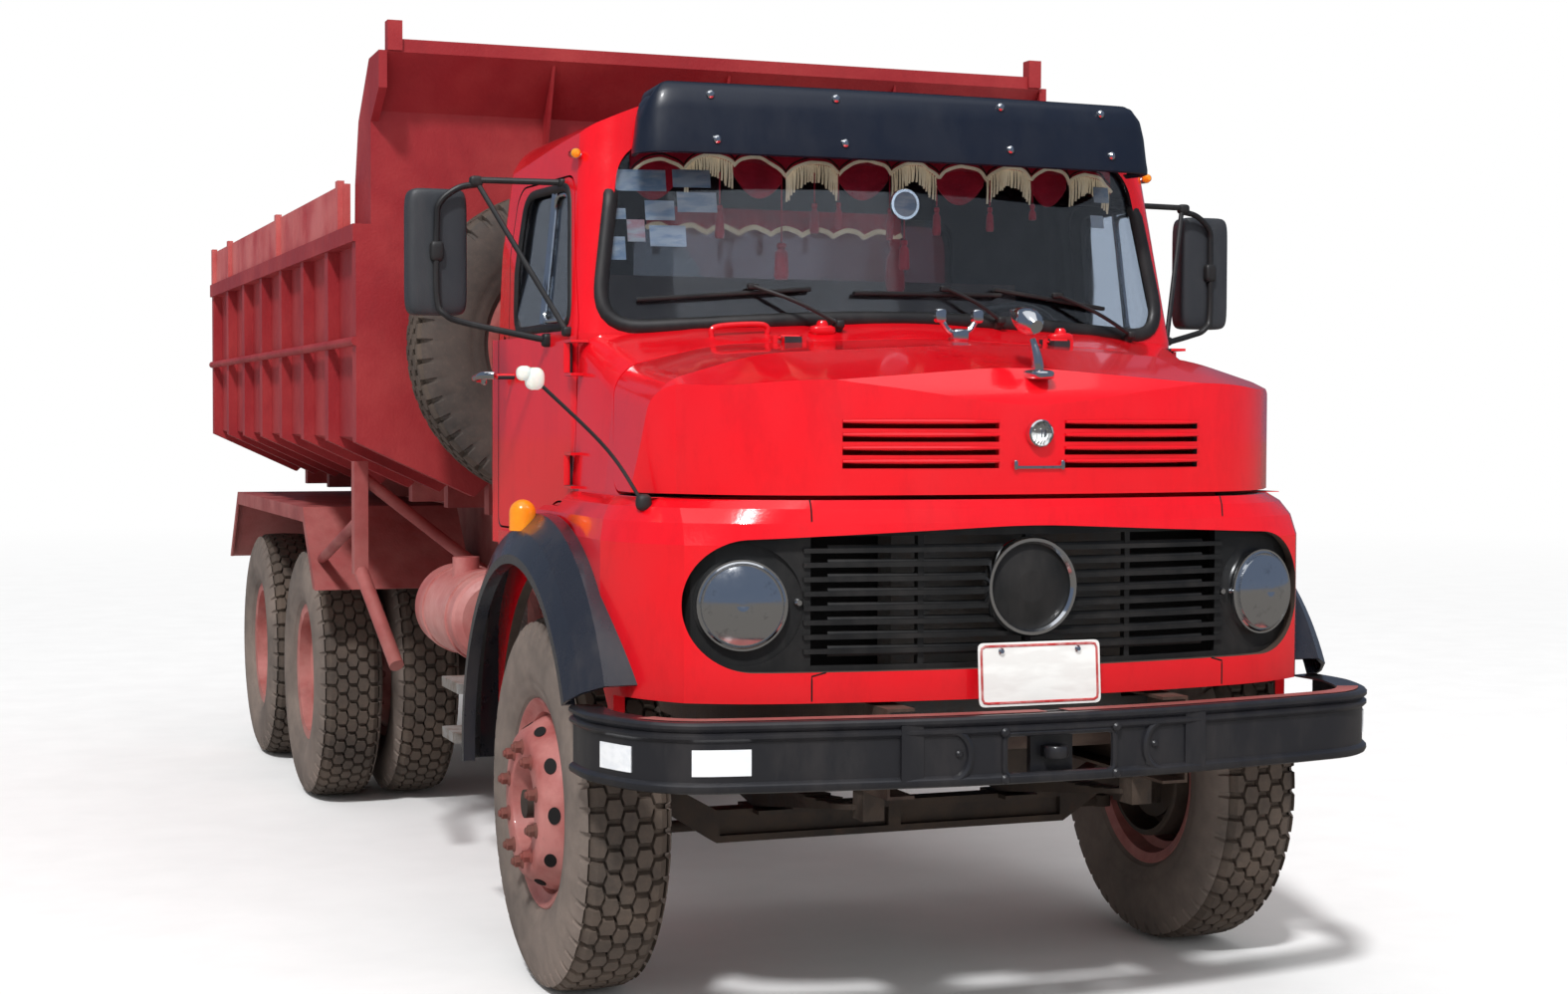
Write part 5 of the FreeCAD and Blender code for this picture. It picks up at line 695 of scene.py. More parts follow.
class TRUCK_OT_stage(bpy.types.Operator):
    """Pale floor, backdrop, soft lights and the camera"""

    bl_idname = "truck.stage"
    bl_label = "Stage"

    def execute(self, context):
        scene = context.scene
        scene.view_settings.view_transform = "Standard"
        world = bpy.data.worlds.new("StageWorld")
        world.use_nodes = True
        nodes, links = world.node_tree.nodes, world.node_tree.links
        path = nodes.new("ShaderNodeLightPath")
        seen = nodes.new("ShaderNodeMath")
        seen.operation = "MAXIMUM"
        links.new(path.outputs["Is Camera Ray"], seen.inputs[0])
        links.new(path.outputs["Is Transmission Ray"], seen.inputs[1])
        mirrored_sky = nodes.new("ShaderNodeMix")
        mirrored_sky.data_type = "RGBA"
        mirrored_sky.inputs[6].default_value = SOFT_SKY
        mirrored_sky.inputs[7].default_value = MIRRORED_SKY
        links.new(path.outputs["Is Glossy Ray"], mirrored_sky.inputs[0])
        shown = nodes.new("ShaderNodeMix")
        shown.data_type = "RGBA"
        shown.inputs[7].default_value = BACKDROP
        links.new(seen.outputs[0], shown.inputs[0])
        links.new(mirrored_sky.outputs[2], shown.inputs[6])
        links.new(shown.outputs[2], nodes["Background"].inputs[0])
        scene.world = world
        self.floor()
        for name, kind, place, power, settings in LIGHTS:
            self.light(name, kind, place, power, settings)
        self.camera(scene)
        return {"FINISHED"}

    def floor(self):
        """Round floor, shaded near the truck and fading into the backdrop far away."""
        rings, sides = len(FLOOR_RADII), FLOOR_SIDES
        radii = np.array(FLOOR_RADII)[:, None]
        angle = np.linspace(0, 2 * np.pi, sides, endpoint=False)
        grid = np.stack([radii * np.cos(angle), radii * np.sin(angle), np.zeros((rings, sides))], -1)
        i, j = np.meshgrid(np.arange(rings - 1), np.arange(sides), indexing="ij")
        inner, outer, next_j = i * sides, (i + 1) * sides, (j + 1) % sides
        faces = np.stack([inner + j, outer + j, outer + next_j, inner + next_j], -1).reshape(-1, 4).tolist()
        faces.append(list(range(sides)))
        mesh = bpy.data.meshes.new("StageFloor")
        mesh.from_pydata(grid.reshape(-1, 3).tolist(), [], faces)
        t = Tree("stage_floor")
        distance = t.add("ShaderNodeVectorMath", {0: t.place}, operation="LENGTH").outputs["Value"]
        far = t.fit(distance, *FLOOR_FADE)
        speck = t.fit(t.noise(3, 5), 0.3, 0.7)
        t.shade(Base_Color=t.mix(speck, (0.86, 0.86, 0.86), (0.90, 0.90, 0.90)), Roughness=0.9,
                Specular_IOR_Level=0.1)
        glow = t.add("ShaderNodeEmission", {0: BACKDROP, 1: 1.0})
        blend = t.add("ShaderNodeMixShader", {0: far, 1: t.shader.outputs[0], 2: glow.outputs[0]})
        path = t.add("ShaderNodeLightPath")
        dim = t.add("ShaderNodeEmission", {0: MIRRORED_FLOOR, 1: 1.0})
        in_gloss = path.outputs["Is Glossy Ray"]
        reflected = t.add("ShaderNodeMixShader", {0: in_gloss, 1: blend.outputs[0], 2: dim.outputs[0]})
        t.links.new(reflected.outputs[0], t.nodes["Material Output"].inputs[0])
        mesh.materials.append(t.material)
        item = bpy.data.objects.new("StageFloor", mesh)
        bpy.context.scene.collection.objects.link(item)

    def light(self, name, kind, place, power, settings):
        """Light at a place, aimed at the truck."""
        data = bpy.data.lights.new(name, kind)
        data.energy = power
        for key, value in settings.items():
            setattr(data, key, value)
        item = bpy.data.objects.new(name, data)
        item.location = place
        item.visible_glossy = name != UNMIRRORED_LIGHT
        item.rotation_mode = "QUATERNION"
        item.rotation_quaternion = (Vector(LIGHTS_AIM) - Vector(place)).to_track_quat("-Z", "Y")
        bpy.context.scene.collection.objects.link(item)

    def camera(self, scene):
        """Camera where the photograph was taken from."""
        yaw, pitch, roll = (math.radians(angle) for angle in (CAMERA_YAW, CAMERA_PITCH, CAMERA_ROLL))
        ahead = np.array([math.sin(yaw) * math.cos(pitch), math.cos(yaw) * math.cos(pitch), math.sin(pitch)])
        right = np.array([math.cos(yaw), -math.sin(yaw), 0.0])
        upward = np.cross(right, ahead)
        c, s = math.cos(roll), math.sin(roll)
        right, upward = c * right + s * upward, c * upward - s * right
        turn = Matrix((right, upward, -ahead)).transposed().to_4x4()
        data = bpy.data.cameras.new("PhotoCamera")
        data.sensor_width = SENSOR_WIDTH
        data.lens = LENS_LENGTH
        item = bpy.data.objects.new("PhotoCamera", data)
        item.matrix_world = Matrix.Translation(here(CAMERA_PLACE)) @ turn
        scene.collection.objects.link(item)
        scene.camera = item


class TRUCK_OT_finishes(bpy.types.Operator):
    """Paint, rubber, iron and glass on the fixed frame's own pieces"""

    bl_idname = "truck.finishes"
    bl_label = "Finishes"

    def execute(self, context):
        for name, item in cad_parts.items():
            kind = NODE_FINISH.get(name)
            if kind is None:
                kind = "wheel_enamel" if name.startswith("rim") else "tyre_wall"
            item.data.materials.clear()
            item.data.materials.append(finish(kind))
        return {"FINISHED"}


# Wheels

TYRE_RADIUS = 0.525
FRONT_WHEEL_X = 0.965
REAR_AXLES = ((1, 3.6), (2, 4.92))
REAR_WHEELS_X = (1.05, 0.73)
SPARE_PLACE = (-0.66, 1.25, 1.85)
TREAD_RIBS = ((-0.106, -0.068, 0.0), (-0.060, -0.024, 0.5), (-0.017, 0.017, 0.0), (0.024, 0.060, 0.5),
              (0.068, 0.106, 0.0))
GROOVE_SLOPE = 0.003
BLOCK_BULGE = 0.0045
CROWN_CURVE, SHOULDER_CURVE, SHOULDER_START = 0.55, 0.9, 0.09
LUG_SHARES = (0.8, 0.55, 0.2)
LUG_INSET, LUG_DROP = 0.011, 0.8
TYRE_WALL = ((0.1115, 0.511), (0.1195, 0.497), (0.127, 0.478), (0.1325, 0.452), (0.1365, 0.425), (0.1375, 0.398),
             (0.1365, 0.374), (0.1325, 0.352), (0.129, 0.346), (0.1285, 0.334), (0.122, 0.318), (0.116, 0.304),
             (0.108, 0.298), (0.100, 0.285))
TYRE_INSIDE = ((0.086, 0.290), (0.112, 0.360), (0.110, 0.440), (0.070, 0.484), (0.0, 0.492))


def tyre_ring(pitches, depth):
    """Tyre about the X axis at the origin: a ring of rows, and how many of its columns are tread.

    Round the tyre each pitch has five rows: two on the groove's floor and three on the blocks' tops. Across it
    each rib has a floor, two edges, a middle and a floor again; odd ribs are half a pitch further round, and
    the blocks' edges bulge towards their middles, so that they interlock as six-sided blocks do.
    """
    row_phase = np.array([0.04, 0.18, 0.26, 0.62, 0.96])
    row_top = np.array([0.0, 0.0, 1.0, 1.0, 1.0])
    row_bulge = np.array([-1.0, -1.0, -0.6, 1.0, -0.6]) * BLOCK_BULGE
    x, top, shift, bulge = [], [], [], []
    for low, high, offset in TREAD_RIBS:
        middle = (low + high) / 2
        shoulder = abs(low + high) > 0.15
        x += [low - GROOVE_SLOPE, low, middle, high, high + GROOVE_SLOPE]
        top += [0.0, 1.0, 1.0, 1.0, 0.0]
        shift += [offset] * 5
        first_edge = 0 if shoulder and low < 0 else -1
        last_edge = 0 if shoulder and high > 0 else 1
        bulge += [first_edge, first_edge, 0, last_edge, last_edge]
    x, top, shift, bulge = (np.array(v, float) for v in (x, top, shift, bulge))
    phase = (np.arange(pitches)[:, None] + row_phase[None]).reshape(-1, 1) + shift[None]
    angle = phase * 2 * np.pi / pitches
    lifted = np.tile(row_top, pitches)[:, None] * top[None]
    across = x[None] + bulge[None] * np.tile(row_bulge, pitches)[:, None]
    crown = TYRE_RADIUS - CROWN_CURVE * across**2 - SHOULDER_CURVE * np.maximum(np.abs(across) - SHOULDER_START, 0)
    radius = crown - depth * (1 - lifted)
    tread = np.stack([across, radius * np.cos(angle), radius * np.sin(angle)], -1)
    lugs = np.tile(row_top, pitches)[:, None]
    turn = angle[:, :1]
    walls = []
    for side in (1, -1):
        wall = np.array(TYRE_WALL)
        inset = np.zeros(len(wall))
        inset[:3] = LUG_SHARES
        edge = wall[None, :, 1] - inset[None] * depth * (1 - lugs) * LUG_DROP
        out = side * (wall[None, :, 0] - inset[None] * LUG_INSET * (1 - lugs))
        walls.append(np.stack([out + 0 * turn, edge * np.cos(turn), edge * np.sin(turn)], -1))
    inside = np.array(TYRE_INSIDE)
    inner = np.vstack([inside, inside[-2::-1] * np.array([-1.0, 1.0])])
    across, radius = inner[None, :, 0], inner[None, :, 1]
    lining = np.stack([across + 0 * turn, radius * np.cos(turn), radius * np.sin(turn)], -1)
    right_wall, left_wall = walls
    ring = np.concatenate([tread, right_wall, lining, left_wall[:, ::-1]], axis=1)
    return ring, tread.shape[1]


class TRUCK_OT_tyres(bpy.types.Operator):
    """Road tyres with block treads, on every wheel and on the spare"""

    bl_idname = "truck.tyres"
    bl_label = "Tyres"

    def execute(self, context):
        sizes = context.scene.truck_sizes
        ring, tread_columns = tyre_ring(sizes.tread_pitches, sizes.tread_depth)
        points, faces = skin(ring, wrap_rows=True)
        columns = ring.shape[1]
        on_tread = (np.arange(len(faces)) % columns) < tread_columns
        for side, sign in SIDES:
            self.tyre(f"TyreFront_{side}", [(sign * FRONT_WHEEL_X, 0.0, TYRE_RADIUS)], points, faces, on_tread,
                      f"wheel_front_{side}", f"tyre_front_{side}")
            for number, y in REAR_AXLES:
                pair = [(sign * x, y, TYRE_RADIUS) for x in REAR_WHEELS_X]
                self.tyre(f"TyresRear_{side}_{number}", pair, points, faces, on_tread,
                          f"wheel_rear_{side}_{number}", f"tyres_rear_{side}_{number}")
        across = points[:, [1, 0, 2]] * np.array([-1.0, 1.0, 1.0])
        self.tyre("TyreSpare", [SPARE_PLACE], across, faces, on_tread, "root", "spare_tyre", "spare_wall")
        return {"FINISHED"}

    def tyre(self, name, centres, points, faces, on_tread, body, node, wall="tyre_wall"):
        """One or two tyres of a wheel; the tread has its own finish."""
        forms = [(points + here(c), faces) for c in centres]
        item = piece(name, forms, wall, body, (node,), sharp=28)
        item.data.materials.append(finish("tyre_tread"))
        item.data.polygons.foreach_set("material_index", np.tile(on_tread.astype(np.int32), len(centres)))


# Sections of (radius, distance out along the axle), turned about it
RIM_FACE = ((0, 0.064), (0.118, 0.064), (0.1225, 0.072), (0.1245, 0.148), (0.128, 0.157), (0.136, 0.1605),
            (0.186, 0.1605), (0.199, 0.157), (0.209, 0.148), (0.2335, 0.105), (0.243, 0.086), (0.249, 0.066),
            (0.252, 0.074), (0.256, 0.088), (0.270, 0.094), (0.279, 0.099), (0.286, 0.108), (0.292, 0.111),
            (0.2965, 0.108), (0.2965, 0.100), (0.290, 0.095), (0.268, 0.088), (0.262, 0.050), (0.240, 0.034),
            (0.240, -0.034), (0.262, -0.050), (0.268, -0.088), (0.290, -0.095), (0.2965, -0.102), (0.290, -0.108),
            (0.262, -0.097), (0.252, -0.052), (0.230, -0.036), (0.228, 0.040), (0.200, 0.135), (0.135, 0.146),
            (0.112, 0.050), (0, 0.050))
DRUM = ((0, 0.045), (0.150, 0.045), (0.200, 0.026), (0.208, 0.010), (0.208, -0.105), (0.203, -0.112),
        (0.190, -0.112), (0.188, -0.020), (0.075, 0.0), (0.072, -0.110), (0.046, -0.112), (0.046, -0.02),
        (0, -0.02))
HUB_CAP = ((0, 0.094), (0.030, 0.093), (0.044, 0.088), (0.052, 0.078), (0.066, 0.074), (0.080, 0.072),
           (0.084, 0.060), (0, 0.060))
NUT_PARTS = (
    (((0, 0), (0.0225, 0), (0.0225, 0.003), (0.0165, 0.009), (0.0165, 0.011), (0, 0.011)), 16),
    (((0, 0.010), (0.0175, 0.010), (0.0175, 0.024), (0.014, 0.027), (0, 0.027)), 6),
    (((0, 0.025), (0.0105, 0.025), (0.0105, 0.031), (0.008, 0.034), (0, 0.034)), 10),
)
NUT_COUNT, NUT_CIRCLE, NUT_SEAT = 10, 0.1610, 0.158
HOLE_COUNT, HOLE_CIRCLE, HOLE_SEAT = 10, 0.222, 0.1265
HOLE_WIDTH, HOLE_HEIGHT = 0.024, 0.018
# Share of a hand hole's direction that points along the axle, and away from it
HOLE_SLOPE = (0.5, 0.86)


class TRUCK_OT_wheel_trim(bpy.types.Operator):
    """Front wheels: pressed rims with hand holes shown as painted shade, nuts on sleeves, hubs in their dish and
    brake drums
    """

    bl_idname = "truck.wheel_trim"
    bl_label = "Front wheels"

    def execute(self, context):
        for side, sign in SIDES:
            centre = here((sign * FRONT_WHEEL_X, 0.0, TYRE_RADIUS))
            body = f"wheel_front_{side}"
            out = (float(sign), 0.0, 0.0)
            piece(f"RimFront_{side}", turned(RIM_FACE, centre, out, 96), "wheel_enamel", body,
                  (f"rim_front_{side}",))
            piece(f"DrumFront_{side}", turned(DRUM, centre, out, 64), "axle_iron", body)
            piece(f"HandHoles_{side}", self.holes(centre, sign), "cavity_black", body)
            piece(f"WheelNuts_{side}", self.nuts(centre, sign), "nut_enamel", body)
            hub = [turned(HUB_CAP, centre, out, 48)]
            hub += self.studs(centre, sign, count=8, radius=0.068, face=0.072, size=0.009, length=0.016)
            piece(f"HubCap_{side}", hub, "nut_enamel", body)
        return {"FINISHED"}

    def spot(self, centre, sign, angle, radius, face):
        """Place on a wheel at an angle and a radius, a distance out of its middle."""
        return centre + np.array([sign * face, radius * math.cos(angle), radius * math.sin(angle)])

    def holes(self, centre, sign):
        """Oval dark cups let into the disc's slope: painted shade for the hand holes' dark insides."""
        forms = []
        for k in range(HOLE_COUNT):
            angle = 2 * math.pi * k / HOLE_COUNT
            outward_way = np.array([0.0, math.cos(angle), math.sin(angle)])
            normal = unit(np.array([sign * HOLE_SLOPE[0], 0, 0]) + outward_way * HOLE_SLOPE[1])
            across = np.cross(outward_way, [1.0, 0, 0])
            down = np.cross(normal, across)
            t = np.linspace(0, 2 * np.pi, 20, endpoint=False)[:, None]
            middle = self.spot(centre, sign, angle, HOLE_CIRCLE, HOLE_SEAT)
            ring = middle + HOLE_WIDTH * np.cos(t) * across + HOLE_HEIGHT * np.sin(t) * down
            forms.append(plate(ring - normal * 0.004, 0.0052, normal))
        return forms

    def nuts(self, centre, sign):
        """Ten nuts: each a coned sleeve, a six-sided nut and the stud's end."""
        forms = []
        axis = (float(sign), 0.0, 0.0)
        for k in range(NUT_COUNT):
            spot = self.spot(centre, sign, 2 * math.pi * (k + 0.5) / NUT_COUNT, NUT_CIRCLE, NUT_SEAT)
            forms += [turned(section, spot, axis, sides) for section, sides in NUT_PARTS]
        return forms

    def studs(self, centre, sign, count, radius, face, size, length):
        """Ring of small bolts."""
        axis = (float(sign), 0.0, 0.0)
        section = [(0, 0), (size, 0), (size, length * 0.6), (size * 0.7, length), (0, length)]
        return [turned(section, self.spot(centre, sign, 2 * math.pi * k / count, radius, face), axis, 6)
                for k in range(count)]


# Glass and rubbers

SCREEN_CORNERS = ((-0.901, 1.862), (0.0, 1.924), (0.901, 1.862), (0.815, 2.405), (-0.815, 2.405))
SCREEN_RADII = (0.12, 0.9, 0.12, 0.16, 0.16)
DOOR_WINDOW = ((0.082, 1.875), (0.605, 1.875), (0.575, 2.279), (0.206, 2.279))
VENT_PANE = ((0.098, 1.892), (0.325, 1.892), (0.338, 2.262), (0.226, 2.262))
REAR_WINDOW = ((-0.56, 1.91), (0.56, 1.91), (0.56, 2.275), (-0.56, 2.275))
BESIDE_DOOR = 1.5
BEHIND_CAB = 1.2


def drawn_in(corners, amount):
    """Corners moved towards their middle by about an amount."""
    p = np.asarray(corners, float)
    middle = p.mean(axis=0)
    return p + unit(middle - p) * amount


def smoothed(line, rounds=3):
    """Closed line with each point drawn to the middle of its neighbours a few times."""
    for _ in range(rounds):
        line = 0.5 * line + 0.25 * (np.roll(line, 1, axis=0) + np.roll(line, -1, axis=0))
    return line


def rubber_section(radius):
    """Flattened rubber section: radius * cos t * (1 + 0.1 cos 2t), 0.75 * radius * sin t."""
    t = np.linspace(0, 2 * np.pi, 14, endpoint=False)
    return np.stack([radius * np.cos(t) * (1 + 0.1 * np.cos(2 * t)), 0.75 * radius * np.sin(t)], -1)


class TRUCK_OT_glazing(bpy.types.Operator):
    """Window rubbers and the vent windows' bright frames"""

    bl_idname = "truck.glazing"
    bl_label = "Glazing"

    def execute(self, context):
        radius = context.scene.truck_sizes.gasket_radius
        outline = resampled(rounded_line(drawn_in(SCREEN_CORNERS, -0.010), SCREEN_RADII, 10), 170, True)
        line = smoothed(landed("cab_shell", outline[:, 0], SCREEN_AHEAD, outline[:, 1], BACKWARD, -0.002))
        piece("ScreenRubber", carry(line, rubber_section(radius), FORWARD, True), "black_rubber")
        outline = resampled(rounded_line(drawn_in(REAR_WINDOW, -0.008), (0.07,) * 4, 8), 80, True)
        line = smoothed(landed("cab_shell", outline[:, 0], BEHIND_CAB, outline[:, 1], FORWARD, -0.002))
        piece("RearWindowRubber", carry(line, rubber_section(radius), BACKWARD, True), "black_rubber")
        for side, sign in SIDES:
            self.door_window(side, sign, radius * 0.6)
        return {"FINISHED"}

    def door_window(self, side, sign, radius):
        """Rubber round a door's window, with the bright bar and frame of its vent pane."""
        node, body = f"door_glass_{side}", f"door_{side}"
        inward = (-sign, 0.0, 0.0)
        outline = resampled(rounded_line(drawn_in(DOOR_WINDOW, -0.007), (0.05,) * 4, 8), 90, True)
        line = smoothed(landed(body, sign * BESIDE_DOOR, outline[:, 0], outline[:, 1], inward, -0.002))
        piece(f"DoorWindowRubber_{side}", carry(line, rubber_section(radius), inward, True), "black_rubber", body)
        vent = resampled(rounded_line(VENT_PANE, (0.035,) * 4, 6), 60, True)
        line = landed(node, sign * BESIDE_DOOR, vent[:, 0], vent[:, 1], inward, 0.006)
        forms = [carry(line, circle(0.0065, 8), inward, True)]
        post = here([(sign * BESIDE_DOOR, 0.338, 1.885), (sign * BESIDE_DOOR, 0.351, 2.272)])
        post = on_surface(node, resampled(post, 8), inward, 0.006)
        forms.append(carry(post, circle(0.009, 8), inward))
        piece(f"VentFrame_{side}", forms, "chrome", body)


# Each wiper: the two ends of its blade, the joint over it and the pivot, as (x, z)
WIPERS = (
    ((-0.792, 1.944), (-0.296, 1.981), (-0.464, 1.980), (-0.243, 1.864)),
    ((-0.163, 1.972), (0.310, 1.976), (0.120, 1.985), (0.290, 1.885)),
    ((0.290, 1.992), (0.680, 1.945), (0.500, 1.975), (0.761, 1.852)),
)
PIVOT_BOSS = ((0, -0.006), (0.017, -0.006), (0.017, 0.018), (0.012, 0.030), (0, 0.030))


class TRUCK_OT_wipers(bpy.types.Operator):
    """Three wipers parked along the windscreen's foot"""

    bl_idname = "truck.wipers"
    bl_label = "Wipers"

    def execute(self, context):
        radius = context.scene.truck_sizes.wiper_radius
        forms, rubbers = [], []
        for first, last, knuckle, pivot in WIPERS:
            run = resampled([first, last], 12)
            blade = landed("cab_glass", run[:, 0], SCREEN_AHEAD, run[:, 1], BACKWARD, 0.010)
            rubbers.append(carry(blade, circle(0.006, 6, 1.4), FORWARD))
            forms.append(carry(blade + np.array([0, -0.012, 0]), circle(0.006, 8, 0.7), FORWARD))
            joint = landed("cab_glass", knuckle[0], SCREEN_AHEAD, knuckle[1], BACKWARD, 0.036)[0]
            foot = landed("cab_shell", pivot[0], SCREEN_AHEAD, pivot[1], BACKWARD)[0]
            out = foot + np.array([0, -0.030, 0.016])
            middle = (out + joint) / 2 + np.array([0, -0.006, 0.008])
            forms.append(bar([out, middle, joint], radius, 8, FORWARD))
            forms.append(turned(PIVOT_BOSS, foot, (0, -0.8, 0.6), 14))
            forms.append(pillow(out, (0.013, 0.012, 0.012), 0.6, 0.6))
            forms.append(pillow(joint + np.array([0, 0.006, 0]), (0.018, 0.010, 0.009), 0.5, 0.5))
        piece("WiperArms", forms, "black_rubber")
        piece("WiperBlades", rubbers, "black_rubber")
        return {"FINISHED"}


# Hood and cowl

LOUVRE_HEIGHTS = (1.502, 1.536, 1.570, 1.604)
LOUVRE_START, LOUVRE_END, LOUVRE_POINTS = 0.095, 0.515, 22
LOUVRE_LIP = ((0.0, -0.007), (0.011, -0.005), (0.014, 0.0), (0.010, 0.005), (0.0, 0.007), (-0.006, 0.0))
ABOVE_HOOD = 2.4
ABOVE_COWL = 2.2
ABOVE_WING = 2.0


class TRUCK_OT_hood_trim(bpy.types.Operator):
    """Louvre lips, the small lamp, the bright strip and the plain ornament"""

    bl_idname = "truck.hood_trim"
    bl_label = "Hood trim"

    def execute(self, context):
        lips = []
        section = np.array(LOUVRE_LIP)[:, ::-1]
        x = np.linspace(LOUVRE_START, LOUVRE_END, LOUVRE_POINTS)
        size = np.sin(np.pi * np.linspace(0.04, 0.96, LOUVRE_POINTS)) ** 0.25
        for z in LOUVRE_HEIGHTS:
            line = landed("hood", x, NOSE_AHEAD, z, BACKWARD, 0.001)
            lips.append(carry(line, section, FORWARD, scale=size))
        piece("LouvreLips", both(lips), "plain_enamel", "hood")
        self.lamp()
        self.ornament()
        return {"FINISHED"}

    def lamp(self):
        """Small round lamp between the louvres, with a bright strip beneath it."""
        spot = landed("hood", 0.018, NOSE_AHEAD, 1.574, BACKWARD)[0]
        ring = [(0.026, -0.006), (0.036, -0.006), (0.038, 0.004), (0.036, 0.018), (0.032, 0.022), (0.027, 0.010)]
        piece("NoseLampRing", [turned(ring, spot, FORWARD, 32, ring=True)], "chrome", "hood")
        dome = [(0, 0.026), (0.012, 0.025), (0.022, 0.019), (0.028, 0.008), (0.028, 0.0), (0, 0.0)]
        piece("NoseLampLens", turned(dome, spot, FORWARD, 32), "lens_glass", "hood")
        back = [(0, 0.002), (0.030, 0.002), (0.030, -0.004), (0, -0.004)]
        piece("NoseLampReflector", turned(back, spot, FORWARD, 32), "chrome", "hood")
        line = landed("hood", np.linspace(-0.051, 0.085, 14), NOSE_AHEAD, 1.486, BACKWARD, 0.003)
        forms = [carry(line, circle(0.005, 8), FORWARD)]
        for k in (0, -1):
            forms.append(pillow(line[k] + np.array([0, -0.004, 0.006]), (0.006, 0.006, 0.013), 0.6, 0.6))
        piece("NoseStrip", forms, "chrome", "hood")

    def ornament(self):
        """Plain tear-drop on a stand at the hood's crown, and a two-armed fitting behind it."""
        foot = landed("hood", 0.041, -0.865, ABOVE_HOOD, DOWN)[0]
        forms = [pillow(foot + np.array([0, 0, 0.006]), (0.034, 0.062, 0.014), 0.7, 0.6)]
        stalk = [foot, foot + np.array([-0.004, -0.010, 0.045]), foot + np.array([-0.012, 0.004, 0.100])]
        forms.append(carry(flow(stalk, 16), circle(0.014, 12, 0.8), TO_LEFT, scale=np.linspace(1.7, 0.7, 16)))
        drop = [(0, -0.050), (0.018, -0.044), (0.031, -0.026), (0.036, 0.0), (0.031, 0.028), (0.018, 0.062),
                (0.006, 0.088), (0, 0.094)]
        forms.append(turned(drop, foot + np.array([-0.024, 0.004, 0.146]), (-0.10, 0.93, 0.36), 24))
        piece("HoodOrnament", forms, "chrome", "hood")
        spot = landed("hood", 0.068, -0.32, ABOVE_HOOD, DOWN)[0]
        forms = [pillow(spot + np.array([0, 0, 0.014]), (0.026, 0.026, 0.020), 0.5, 0.5)]
        for sign in (-1, 1):
            arm = [spot + np.array([sign * 0.010, 0, 0.018]), spot + np.array([sign * 0.034, 0, 0.030]),
                   spot + np.array([sign * 0.056, 0, 0.060])]
            forms.append(bar(arm, 0.009, 10, BACKWARD))
            forms.append(pillow(spot + np.array([sign * 0.058, 0, 0.070]), (0.016, 0.014, 0.020), 0.45, 0.45))
        piece("TwinArmFitting", forms, "chrome", "hood")


class TRUCK_OT_cowl_trim(bpy.types.Operator):
    """Loop handle and two bosses on the cowl, the marker rod on the wing"""

    bl_idname = "truck.cowl_trim"
    bl_label = "Cowl trim"

    def execute(self, context):
        first, last = landed("cab_shell", (-0.621, -0.456), -0.165, ABOVE_COWL, DOWN, -0.004)
        rise = np.array([0, 0, 0.030])
        loop = [first, first + rise * 0.8, first * 0.8 + last * 0.2 + rise * 1.1,
                first * 0.2 + last * 0.8 + rise * 1.1, last + rise * 0.8, last]
        forms = [bar(loop, 0.008, 10, BACKWARD, count=44)]
        for x in (-0.292, 0.468):
            spot = landed("cab_shell", x, -0.175, ABOVE_COWL, DOWN)[0]
            forms.append(pillow(spot + np.array([0, 0, 0.006]), (0.040, 0.026, 0.016), 0.8, 0.7))
            forms.append(turned([(0, 0.034), (0.012, 0.034), (0.017, 0.026), (0.019, 0.0), (0, 0.0)], spot, UP, 18))
        piece("CowlFittings", forms, "plain_enamel")
        self.rod()
        return {"FINISHED"}

    def rod(self):
        """Black rod with a white knob, standing on the right-hand wing."""
        foot = landed("front_panel", -0.951, -0.60, ABOVE_WING, DOWN)[0]
        knob = here((-1.205, -0.45, 1.712))
        bend = foot * 0.55 + knob * 0.45 + np.array([0.030, 0.0, 0.0])
        foot_piece = pillow(foot + np.array([-0.004, 0, 0.010]), (0.020, 0.020, 0.022), 0.7, 0.7)
        sleeve = bar([foot, foot * 0.86 + bend * 0.14], 0.010, 10, BACKWARD)
        rod = bar([foot, bend, knob], 0.005, 8, BACKWARD, count=24)
        piece("MarkerRod", [foot_piece, sleeve, rod], "black_rubber")
        knobs = [pillow(knob, (0.026, 0.024, 0.030), 0.8, 0.75),
                 pillow(knob + np.array([-0.028, 0, 0.014]), (0.021, 0.020, 0.020), 0.8, 0.8)]
        piece("MarkerKnob", knobs, "white_knob")


# Front end

HEADLAMP_PLACE, HEADLAMP_TURN = (0.756, -0.800, 1.138), 16
HEADLAMP_RING = ((0.097, 0.006), (0.100, 0.018), (0.107, 0.025), (0.114, 0.020), (0.118, 0.006), (0.119, -0.012),
                 (0.110, -0.016), (0.099, -0.010))
HEADLAMP_GLASS = ((0, 0.038), (0.03, 0.0365), (0.06, 0.031), (0.085, 0.021), (0.1, 0.010), (0.1, 0.004), (0, 0.004))
HEADLAMP_BOWL = ((0, -0.060), (0.030, -0.058), (0.060, -0.044), (0.085, -0.022), (0.100, 0.002), (0.104, 0.002),
                 (0.090, -0.026), (0.062, -0.050), (0.030, -0.064), (0, -0.066))
HEADLAMP_BULB = ((0, 0.0), (0.012, -0.004), (0.014, -0.020), (0.008, -0.058), (0, -0.058))
GRILLE_BARS, GRILLE_LOW, GRILLE_STEP, GRILLE_HALF = 9, 1.000, 0.0365, 0.585
